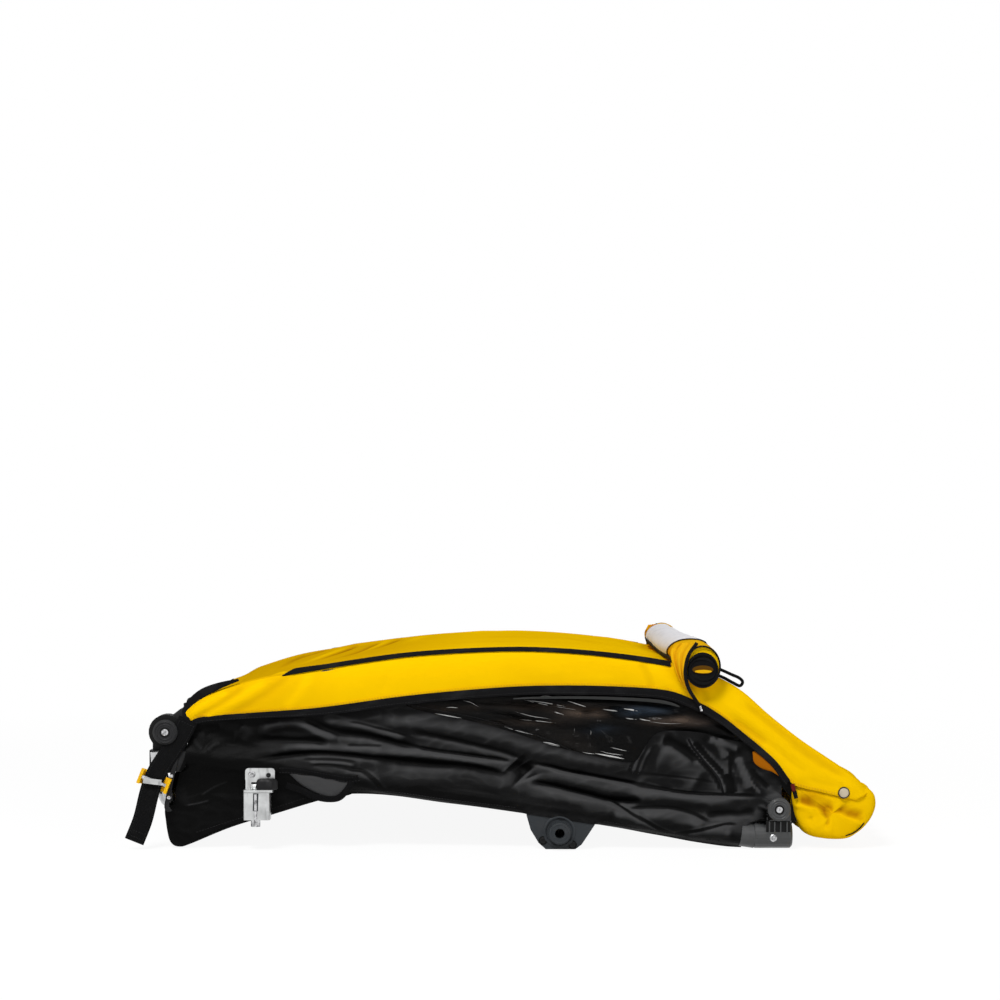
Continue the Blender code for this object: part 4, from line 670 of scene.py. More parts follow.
FRAME_LOOKS = {
    "frame_tube": FRAME_TUBE,
    "bare_aluminium": ALUMINIUM,
    "bright_steel": CHROME,
    "black_plastic": BLACK_PLASTIC,
    "grey_plastic": DARK_PLASTIC,
    "yellow_plastic": YELLOW_PLASTIC,
    "yellow_cloth": YELLOW_CLOTH,
    "black_cloth": BLACK_CLOTH,
    "clear_vinyl": VINYL,
    "black_webbing": WEBBING,
}
TOW_NODES = ("tow_bracket", "tow_receiver")
PART_LOOKS = {
    "front_hinge_bolt": DISC_PLASTIC,
    "rear_hinge_bolt": LIT_REAR_PLASTIC,
    "rear_corner": LIT_REAR_PLASTIC,
    # The knuckle is painted near-black as shade
    "hoop_knuckle": SHADE_BLACK,
    "panel_snap": SNAP_LOOK,
}


def dress_frame():
    for name, node in frame["nodes"].items():
        for held in node.material_slots:
            plain = held.material.name
            held.material = TOW_METAL if name in TOW_NODES else FRAME_LOOKS[plain]
            for part, look in PART_LOOKS.items():
                if part in name:
                    held.material = look


dress_frame()


def place(piece, body, slot, stands_for=()):
    """Puts a finished piece on its body."""
    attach(piece, body)
    if stands_for:
        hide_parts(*stands_for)
    return piece


# Elastic loop at the roll: the one free cord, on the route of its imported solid

LOOP_ROUTE = (
    (0.2700, -0.317, 0.2276),
    (0.2810, -0.317, 0.2231),
    (0.2920, -0.317, 0.2181),
    (0.3010, -0.317, 0.2141),
    (0.3055, -0.317, 0.2091),
    (0.3020, -0.317, 0.2041),
    (0.2930, -0.317, 0.2081),
    (0.2830, -0.317, 0.2136),
    (0.2710, -0.317, 0.2188),
)
LOOP_RADIUS = 2 * MM


def elastic_loop():
    path = smooth(LOOP_ROUTE, 60)
    loop = tube("elastic_loop_cord", path, LOOP_RADIUS, WEBBING, 14)
    place(loop, "hoop", "black_webbing", ["elastic_loop"])


elastic_loop()


# Geometry Nodes trees for what repeats


def new_tree(name, inputs):
    """A Geometry Nodes tree that takes a geometry and named number inputs."""
    tree = bpy.data.node_groups.new(name, "GeometryNodeTree")
    tree.interface.new_socket("Geometry", in_out="INPUT", socket_type="NodeSocketGeometry")
    for socket, value in inputs.items():
        made = tree.interface.new_socket(socket, in_out="INPUT", socket_type="NodeSocketFloat")
        made.default_value = value
    tree.interface.new_socket("Geometry", in_out="OUTPUT", socket_type="NodeSocketGeometry")
    return tree


def vector(tree, x=0.0, y=0.0, z=0.0):
    return grow(tree, "ShaderNodeCombineXYZ", values={"X": x, "Y": y, "Z": z}).outputs[0]


def product(tree, one, other):
    return grow(tree, "ShaderNodeMath", {"operation": "MULTIPLY"}, {0: one, 1: other}).outputs[0]


def step(tree, kind, settings=(), **values):
    """Adds a geometry node whose inputs are named with _ for each space."""
    values = {key.replace("_", " "): value for key, value in values.items()}
    return grow(tree, f"GeometryNode{kind}", settings, values)


def finish_tree(tree, geometry, look):
    real = step(tree, "RealizeInstances", Geometry=geometry)
    shade = step(tree, "SetShadeSmooth", Geometry=real.outputs[0], Shade_Smooth=False)
    dressed = step(tree, "SetMaterial", Geometry=shade.outputs[0], Material=look)
    grow(tree, "NodeGroupOutput", values={0: dressed.outputs[0]})
    return tree


def screw_tree(look):
    """A chamfered screw head with a drive recess on every point, facing along the point's "out"."""
    tree = new_tree("screw_heads", {"Radius": 0.0035, "Height": 0.0016, "Recess": 0.0012})
    given = tree.nodes.new("NodeGroupInput")
    radius, height, recess = (given.outputs[k] for k in ("Radius", "Height", "Recess"))
    drum = step(tree, "MeshCylinder", {"fill_type": "NGON"}, Vertices=24, Radius=radius, Depth=height)
    up, down = vector(tree, z=1.0), vector(tree, z=-1.0)
    rise = product(tree, height, 0.35)
    top, mesh = drum.outputs["Top"], drum.outputs["Mesh"]
    crown = step(tree, "ExtrudeMesh", Mesh=mesh, Selection=top, Offset=up, Offset_Scale=rise)
    top, mesh = crown.outputs["Top"], crown.outputs["Mesh"]
    mesh = step(tree, "ScaleElements", Geometry=mesh, Selection=top, Scale=0.8).outputs[0]
    lip = step(tree, "ExtrudeMesh", Mesh=mesh, Selection=top, Offset=up, Offset_Scale=0.0)
    top, mesh = lip.outputs["Top"], lip.outputs["Mesh"]
    mesh = step(tree, "ScaleElements", Geometry=mesh, Selection=top, Scale=0.55).outputs[0]
    head = step(tree, "ExtrudeMesh", Mesh=mesh, Selection=top, Offset=down, Offset_Scale=recess)
    dots = step(tree, "MeshToPoints", Mesh=given.outputs["Geometry"]).outputs[0]
    facing = step(tree, "InputNamedAttribute", {"data_type": "FLOAT_VECTOR"}, Name="out")
    values = {"Vector": facing.outputs[0]}
    turn = grow(tree, "FunctionNodeAlignRotationToVector", {"axis": "Z"}, values).outputs[0]
    heads = step(tree, "InstanceOnPoints", Points=dots, Instance=head.outputs["Mesh"], Rotation=turn)
    return finish_tree(tree, heads.outputs[0], look)


def stitch_tree(name, look):
    """A row of sewn stitches: one rounded bead of thread at every step along each line."""
    tree = new_tree(name, {"Pitch": 0.0036, "Stitch": 0.0026, "Thread": 0.0007})
    given = tree.nodes.new("NodeGroupInput")
    pitch, stitch, yarn = (given.outputs[k] for k in ("Pitch", "Stitch", "Thread"))
    bead = step(tree, "MeshUVSphere", Segments=6, Rings=4, Radius=0.5).outputs["Mesh"]
    size = vector(tree, yarn, yarn, stitch)
    shaped = step(tree, "Transform", Geometry=bead, Scale=size).outputs[0]
    line = step(tree, "MeshToCurve", Mesh=given.outputs["Geometry"]).outputs[0]
    steps = step(tree, "CurveToPoints", {"mode": "LENGTH"}, Curve=line, Length=pitch).outputs
    places, turn = steps["Points"], steps["Rotation"]
    row = step(tree, "InstanceOnPoints", Points=places, Instance=shaped, Rotation=turn)
    return finish_tree(tree, row.outputs[0], look)


def run_tree(name, points, edges, tree, sizes=(), out=None):
    """Runs a tree on some points or lines, and returns its result as a plain mesh."""
    mesh = bpy.data.meshes.new(name)
    mesh.from_pydata([tuple(p) for p in points], edges, [])
    if out is not None:
        facing = mesh.attributes.new("out", "FLOAT_VECTOR", "POINT")
        facing.data.foreach_set("vector", np.asarray(out, float).ravel())
    obj = linked(name, mesh)
    run = obj.modifiers.new("run", "NODES")
    run.node_group = tree
    items = tree.interface.items_tree
    sockets = {item.name: item.identifier for item in items if item.in_out == "INPUT"}
    for key, value in dict(sizes).items():
        run[sockets[key]] = value
    evaluated = obj.evaluated_get(bpy.context.evaluated_depsgraph_get())
    made = bpy.data.meshes.new_from_object(evaluated)
    obj.modifiers.clear()
    obj.data = made
    return obj


SCREWS = screw_tree(CHROME)
BLACK_STITCHES = stitch_tree("black_stitches", BLACK_THREAD)
YELLOW_STITCHES = stitch_tree("yellow_stitches", YELLOW_THREAD)


def screws(name, places, out, radius, height, body, slot="bright_steel"):
    sizes = {"Radius": radius, "Height": height, "Recess": 0.7 * height}
    heads = run_tree(name, places, [], SCREWS, sizes, [out] * len(places))
    return place(heads, body, slot)


def stitches(name, lines, tree=BLACK_STITCHES, sizes=()):
    points, edges = [], []
    for line in lines:
        start = len(points)
        points += list(line)
        edges += [(k, k + 1) for k in range(start, len(points) - 1)]
    return run_tree(name, points, edges, tree, sizes)


# Yellow canopy: side panels, top, trims

# The side panel's edges from front to rear: top edge x and height, low edge x and height, in mm
PANEL_ROWS = (
    (-394, 173, -387, 159),
    (-377, 187, -377, 164),
    (-356, 196, -356, 167),
    (-300, 212.5, -300, 171),
    (-224, 225, -224, 177),
    (-112, 241, -112, 192),
    (0, 247.5, 0, 202),
    (76, 246, 76, 204.5),
    (151, 239, 151, 203),
    (215, 229, 211, 198),
    (262, 218, 250, 183),
    (301, 198, 277, 167),
    (338, 166, 309, 142),
    (376, 136, 345, 111),
    (410, 113, 365, 84),
    (425, 103, 380, 77),
    (440, 92, 400, 72.5),
    (452, 82, 424, 67),
    (462, 71, 445, 62),
)
PANEL_STEPS = 240
PANEL_COLUMNS = 18
CLOTH = 0.9 * MM
# How far out the panel stands, from its low edge (0) to its top edge (1), in mm from the middle plane
PANEL_OUT = ((0, 327.9), (0.15, 328.7), (0.4, 329.0), (0.65, 328.0), (0.85, 325.6), (1, 321.2))
# Folds of the panel: width and height in mm, then the line from front to rear
PANEL_FOLDS = (
    (5, 1.1, ((-388, 166), (-368, 181), (-340, 198))),
    (4, -0.9, ((-384, 162), (-352, 180), (-318, 204))),
    (6, 1.0, ((-376, 162), (-330, 186), (-290, 212))),
    (5, -0.8, ((-340, 168), (-300, 190), (-262, 219))),
    (6, 0.7, ((-270, 176), (-250, 196), (-236, 221))),
    (5, -0.5, ((-150, 196), (-143, 210), (-138, 224))),
    (7, -1.4, ((176, 236), (186, 218), (192, 200))),
    (7, 1.2, ((196, 234), (204, 214), (208, 200))),
    (6, -1.4, ((252, 208), (256, 196), (262, 184))),
    (8, 1.4, ((276, 186), (330, 148), (372, 108), (392, 90))),
    (6, -2.2, ((286, 168), (330, 138), (366, 110), (392, 92))),
    (7, -1.6, ((300, 188), (352, 146), (404, 108), (440, 86))),
    (6, 1.2, ((330, 136), (362, 100), (382, 84))),
    (5, -0.8, ((384, 90), (412, 82), (438, 80))),
    (5, 0.8, ((400, 100), (430, 84), (452, 76))),
)

# The yellow cloth is painted darker ahead of these X places, in the colour of the creases' painted shade
DARKER_FRONT, DARKER_TOP = (-0.30, -0.12), (-0.20, 0.04)

PANEL_EDGES = smooth(np.array(PANEL_ROWS) * MM, PANEL_STEPS)
TOP_EDGE = PANEL_EDGES[:, :2]
LOW_EDGE = PANEL_EDGES[:, 2:]


def fair(knots, at):
    """A smooth curve through (place, value) knots, read at some places."""
    path = smooth(knots, 400)
    return np.interp(at, path[:, 0], path[:, 1])


def edge_normal(edge):
    """Upward normal of an edge's line, in the X-Z plane."""
    along = unit(np.gradient(edge, axis=0))
    return np.stack([-along[:, 1], along[:, 0]], axis=1)


def blurred(field, times):
    for _ in range(times):
        field = np.pad(field, 1, mode="edge")
        field = (field[:-2, 1:-1] + field[2:, 1:-1] + field[1:-1, :-2] + field[1:-1, 2:]) / 4
    return field


def paint_light(cloth, painted_shading, faces=2):
    """Stores the painted light and shade of each point of a cloth, a highlight on folds and shade in
    creases, on each of its faces.
    """
    layer = cloth.data.attributes.new(PAINTED_LIGHT_ATTRIBUTE, "FLOAT", "POINT")
    layer.data.foreach_set("value", np.tile(np.clip(painted_shading, -1, 1).ravel(), faces).astype(np.float32))


def cast(names, starts, toward):
    """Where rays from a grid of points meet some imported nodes. They find no number where they miss."""
    points, faces = [], []
    for name in names:
        node = frame["nodes"][name].data
        first = len(points)
        points += [v.co.copy() for v in node.vertices]
        faces += [[first + k for k in face.vertices] for face in node.polygons]
    tree = bvhtree.BVHTree.FromPolygons(points, faces)
    found = np.full(starts.shape, np.nan)
    flat = found.reshape(-1, 3)
    for k, start in enumerate(starts.reshape(-1, 3)):
        hit = tree.ray_cast(Vector(start), Vector(toward))[0]
        if hit is not None:
            flat[k] = hit
    return found


def relief(x, z, folds, start=0.14):
    """Height of sewn seams and folds at each point. Every fold fades in up to start, and out at its end.

    A fold rises and falls alike, but a lap has a soft back above its line and drops sharply below.
    """
    height = np.zeros_like(x)
    for width, rise, route, *lap in folds:
        path = curve(route, 20)
        best = np.full(x.shape, 1.0)
        signed = np.zeros_like(x)
        along = np.zeros_like(x)
        for k, (a, b) in enumerate(zip(path, path[1:])):
            step = b - a
            ax, az = x - a[0], z - a[1]
            t = np.clip((ax * step[0] + az * step[1]) / (step @ step), 0, 1)
            off_x, off_z = ax - t * step[0], az - t * step[1]
            gap = np.hypot(off_x, off_z)
            closer = gap < best
            best = np.where(closer, gap, best)
            side = np.sign(step[0] * az - step[1] * ax)
            signed = np.where(closer, gap * side, signed)
            along = np.where(closer, (k + t) / (len(path) - 1), along)
        fade = ease(along, -0.02, start) * (1 - ease(along, 0.86, 1.02))
        reach = np.where(signed > 0, 1.5, 0.32) if lap else 1
        height += rise * MM * np.exp(-((best / (reach * width * MM)) ** 2)) * fade
    return height


def side_panel(side, word):
    share = np.linspace(0, 1, PANEL_COLUMNS)
    low, top = LOW_EDGE[:, None], TOP_EDGE[:, None]
    flat = low + (top - low) * share[:, None]
    x, z = flat[..., 0], flat[..., 1]
    folds = relief(x, z, PANEL_FOLDS)
    keep = 0.35 + 0.65 * (1 - ease(share, 0.75, 1.0))
    out = fair(PANEL_OUT, share) * MM + folds * keep + crumple(x, z, 0.05, 0.03) * 0.5 * MM * keep
    panel = sheet(f"side_panel_cloth_{word}", lay(x, side * out, z), YELLOW_CLOTH, CLOTH)
    # Painted light and shade on the panel's folds, and darker towards the front
    paint_light(panel, folds / (4.5 * MM) - 0.28 * (1 - ease(x, *DARKER_FRONT)))
    place(panel, "hoop", "yellow_cloth", [f"side_panel_{word}"])


# Canopy: distance from the middle plane and lift above the panels' top edge, in mm, over the tube
SHOULDER = ((321.2, 0.0), (319.6, 0.9), (316.8, 1.4), (313.5, 1.2), (309.0, 0.5), (302.0, -0.4))
CANOPY_MIDDLE = 296 * MM
CANOPY_PITCH = 8 * MM
SAG_DEPTH = (
    (-400, 1), (-382, 6), (-330, 7), (-250, 6.5), (-150, 4), (0, 3), (150, 2.5), (215, 0.8), (245, 0.2),
    (290, 2), (340, 4), (430, 2), (470, 1),
)
HEM_ARCH = 8.5 * MM
HEM_REACH = 24 * MM
CANOPY_FOLDS = (
    (9, 3.0, ((-330, 60), (-290, 200), (-270, 300))),
    (7, -3.0, ((-312, 80), (-274, 210), (-254, 305))),
    (7, -2.6, ((-286, 60), (-236, 190), (-214, 300))),
    (6, -2.2, ((-236, 130), (-204, 220), (-186, 306))),
    (6, -1.8, ((-348, 200), (-322, 260), (-300, 306))),
    (10, 2.0, ((-240, 120), (-218, 230), (-205, 308))),
    (12, 1.2, ((-170, 150), (-160, 240), (-150, 305))),
    (9, -1.4, ((-360, 90), (-345, 200), (-330, 300))),
    (16, 1.0, ((40, 60), (60, 180), (70, 300))),
    (10, -1.2, ((205, 150), (200, 240), (195, 305))),
    (12, 1.6, ((330, 40), (340, 180), (352, 300))),
    (9, -1.2, ((390, 60), (396, 200), (402, 300))),
)
# The right half's folds lie farther back than the left half's, and are shallower
FAR_SHIFT = 34 * MM
FAR_SHARE = 0.62
# Room over each latch hook where it closes round the rear cross tube: X, distance out, half size and rise
HOOK_ROOM = (451 * MM, 253 * MM, 17 * MM, 4.5 * MM)
CANOPY_GAP = 0.7 * MM
HOOP_KINDS = ("hoop_front_tube", "hoop_elbow", "hoop_roof_tube", "hoop_knuckle")


def hoop_top(x, y):
    """Height of the hoop's upper face at each place, or far below where there is none."""
    names = [f"{kind}_{word}" for kind in HOOP_KINDS for word in WORDS] + ["hoop_rear_cross_tube"]
    return np.nan_to_num(cast(names, lay(x, y, 1), (0, 0, -1))[..., 2], nan=-1.0)


def canopy_folds(x, y):
    """Height of the canopy's folds, which differ on its two halves."""
    near = relief(x, np.abs(y), CANOPY_FOLDS, 0.75)
    far = relief(x - FAR_SHIFT, np.abs(y) * 0.97, CANOPY_FOLDS, 0.75) * FAR_SHARE
    share = ease(y, -0.05, 0.05)
    return near * (1 - share) + far * share


def canopy_grid():
    shoulder_y = np.array([y for y, lift in SHOULDER]) * MM
    shoulder_y = np.concatenate([shoulder_y, (shoulder_y[1:] + shoulder_y[:-1]) / 2])
    middle = np.arange(-CANOPY_MIDDLE, CANOPY_MIDDLE + MM, CANOPY_PITCH)
    across = np.unique(np.concatenate([-shoulder_y, middle, shoulder_y]))
    normal = edge_normal(TOP_EDGE)
    y = np.broadcast_to(across, (PANEL_STEPS, len(across)))
    outer = np.abs(y)
    inside = 1 - ease(outer, 0.12, 0.302)
    sag = read(SAG_DEPTH, TOP_EDGE[:, 0])[:, None]
    lift = np.where(outer > 0.302, read(sorted(SHOULDER), outer), -0.4 * MM - inside * (sag - 0.4 * MM))
    from_hem = reach_of(TOP_EDGE)[:, None]
    lift = lift + HEM_ARCH * (1 - ease(outer, 0.235, 0.319)) * (1 - ease(from_hem, 0, HEM_REACH))
    x = TOP_EDGE[:, :1] + normal[:, :1] * lift
    z = TOP_EDGE[:, 1:] + normal[:, 1:] * lift
    soft = (1 - ease(outer, 0.296, 0.313)) * ease(from_hem, 0, 0.03)
    wrinkle = canopy_folds(x, y) * soft
    wrinkle = wrinkle + ripple(lay(x, y, z), (0.05, 0.11, 0.2), 3.0) * 1.6 * MM * soft
    hook_x, hook_y, size, rise = HOOK_ROOM
    wrinkle = wrinkle + rise * np.exp(-(((x - hook_x) / size) ** 2) - ((outer - hook_y) / size) ** 2)
    x, z = x + normal[:, :1] * wrinkle, z + normal[:, 1:] * wrinkle
    floor = hoop_top(x, y) + CANOPY_GAP
    return lay(x, y, np.maximum(z + blurred(np.maximum(0, floor - z), 3), floor))


CANOPY = canopy_grid()


def both(kind):
    return [f"{kind}_{word}" for word in WORDS]


def canopy():
    cloth = sheet("canopy_cloth", CANOPY, YELLOW_CLOTH, CLOTH)
    # Painted darker towards the front, with painted light and shade on the folds
    front_darkening = 0.42 * (1 - ease(CANOPY[..., 0], *DARKER_TOP))
    paint_light(cloth, canopy_folds(CANOPY[..., 0], CANOPY[..., 1]) / (2.8 * MM) - front_darkening)
    place(cloth, "hoop", "yellow_cloth", ["canopy"])


def along_edge(edge, x_from, x_to, count):
    """Points of an edge between two X places, with the upward normal at each."""
    keep = (edge[:, 0] >= x_from * MM) & (edge[:, 0] <= x_to * MM)
    found = evenly(np.concatenate([edge[keep], edge_normal(edge)[keep]], axis=1), count)
    return found[:, :2], unit(found[:, 2:])


# The low binding's width at each X, in mm
BINDING_WIDTH = (
    (-392, 7), (-300, 7.5), (-200, 10.5), (100, 11.5), (240, 11), (280, 9), (360, 8.5), (372, 7),
)
# Welt round the panel's front end: X, height, distance from the middle plane and width, in mm
FRONT_WELT = (
    (-385.5, 155, 329.2, 6), (-391.5, 164.5, 328.4, 7), (-393, 174, 323.4, 9), (-384, 186, 322.8, 10.5),
    (-370, 196.5, 322.6, 11), (-350, 205, 322.6, 8), (-327, 212, 322.5, 3),
)
# The right welt stops after this many of those places: in the photo it's out of sight
RIGHT_WELT_PLACES = 3
BINDING_END = 366 * MM


def edge_binding(side, word):
    """Black tape under the low edge of a side panel, round its front end and up to the rear tab."""
    keep = slice(0, int(np.argmin(np.abs(LOW_EDGE[:, 0] - BINDING_END))))
    low, normal = LOW_EDGE[keep], edge_normal(LOW_EDGE)[keep]
    width = read(BINDING_WIDTH, low[:, 0])
    path = stood(low - normal * (width[:, None] / 2 - 0.8 * MM), side * 328.7 * MM)
    strip = swept(f"panel_binding_{word}", path, stood(normal), tapered(width, 1.5 * MM), BINDING)
    welt = curve(FRONT_WELT if side < 0 else FRONT_WELT[:RIGHT_WELT_PLACES], 50)
    path = lay(welt[:, 0], side * welt[:, 2], welt[:, 1])
    across = stood(edge_normal(welt[:, :2]))
    cap = swept(f"panel_front_binding_{word}", path, across, tapered(welt[:, 3], 2.2 * MM), BINDING)
    place(gather(f"panel_binding_{word}", [strip, cap]), "hoop", "black_webbing")
    sewn, up = along_edge(LOW_EDGE, -384, 440, 200)
    lines = [stood(sewn + up * inset * MM, side * 329.15 * MM) for inset in (1.6, 3.0)]
    place(stitches(f"panel_stitches_{word}", lines, YELLOW_STITCHES), "hoop", "yellow_cloth")
    line = stood(low - normal * (width * 0.7)[:, None], side * 329.6 * MM)
    place(stitches(f"binding_stitches_{word}", [line]), "hoop", "black_webbing")


STRIP_FROM, STRIP_TO = -275, 216
# The strip's width in mm along its length (0 to 1). Its front end is cut to a point, which lies low
STRIP_WIDTH = ((0, 1.0), (0.035, 8.4), (0.1, 6.8), (0.2, 6.8), (0.5, 6.2), (0.8, 6.6), (1, 8.0))
STRIP_POINT, POINT_DROP = 0.035, 3.6 * MM
# How far each strip's middle is above the seam. The right one is out of sight in the photo, and sits lower
STRIP_LIFT = {"left": 2.8 * MM, "right": -1.2 * MM}


def shoulder_strip(side, word):
    """Black tape over the seam between the side panel and the canopy."""
    edge, up = along_edge(TOP_EDGE, STRIP_FROM, STRIP_TO, 150)
    run = np.linspace(0, 1, 150)
    width = np.interp(run, *np.array(STRIP_WIDTH).T) * MM
    lift = STRIP_LIFT[word] - np.interp(run, (0, STRIP_POINT), (POINT_DROP, 0))
    path = stood(edge + up * lift[:, None], side * 322.4 * MM)
    section = tapered(width, 1.5 * MM, 12, 0.5)
    strip = swept(f"shoulder_strip_{word}", path, stood(up, -side * 0.6), section, BINDING)
    place(strip, "hoop", "black_webbing")


# How far the hem's right half sits below the canopy's edge, which hides it in the photo
HEM_DROP = 4.0 * MM


def front_hem():
    """Black tape along the canopy's front edge, over the hoop and from side to side."""
    path = evenly(CANOPY[0], 120)
    inner = 1 - ease(np.abs(path[:, 1]), 0.25, 0.321)
    section = tapered((7.5 + 6.5 * inner) * MM, 3.2 * MM)
    far = ease(path[:, 1], -0.05, 0.12)
    line = path - np.outer(inner * 1.5 * MM + far * HEM_DROP, (0, 0, 1))
    hem = swept("front_hem", line, np.broadcast_to((-0.25, 0, 1), line.shape), section, BINDING)
    place(hem, "hoop", "black_webbing")


for side, word in SIDES:
    side_panel(side, word)
    edge_binding(side, word)
    shoulder_strip(side, word)
canopy()
front_hem()


# Black side cloth, from under the rail up to the yellow panel

RAIL_SLOPE = (rail_height(0.1) - rail_height(0)) / 0.1
RAIL_UP = Vector((-RAIL_SLOPE, 0, 1)).normalized()
# The zone above the rail in which the side cloth turns from the base to the hoop
WALL_LOW = (
    (-414, 8), (-408, 3.6), (-400, 3.2), (-388, 7), (-370, 15.5), (-337, 28.5), (-281, 45), (-224, 63),
    (-187, 68.5), (-131, 66), (-74, 58), (-37, 54), (19, 46.5), (76, 38), (132, 29), (188, 18.5),
    (244, 8), (282, 2.4), (306, 0.9), (330, 0.9),
)
WALL_FRONT = ((0, 0), (8, 0), (47, -7), (56, 4), (75, 7), (95, 12), (120, 21), (165, 27), (200, 27))
WALL_REAR = ((0, 0), (27, 1), (33, 12), (38, 40), (48, 50), (110, 50), (140, 50))
WINDOW_SILL = (
    (-150, 194), (-130, 187), (-112, 177), (-87, 170.5), (-38, 160.6), (-3, 152), (37, 139.4), (74, 127.4),
    (100, 121), (129, 114.4), (156, 108.8), (171, 110), (181, 125), (192, 140), (207, 147.5), (248, 146),
    (280, 138), (303, 134), (322, 134.5),
)
WALL_STEPS, WALL_COLUMNS = 360, 120
FOLD_DEPTH = 1.35
WALL_START, WALL_STOP = -414 * MM, 304 * MM
WALL_GAP = 1.0 * MM
CARRIERS = ("side_rail", "front_corner", "rear_corner", "axle_receiver", "hoop_knuckle", "hoop_front_tube",
            "hoop_roof_tube", "hoop_elbow")
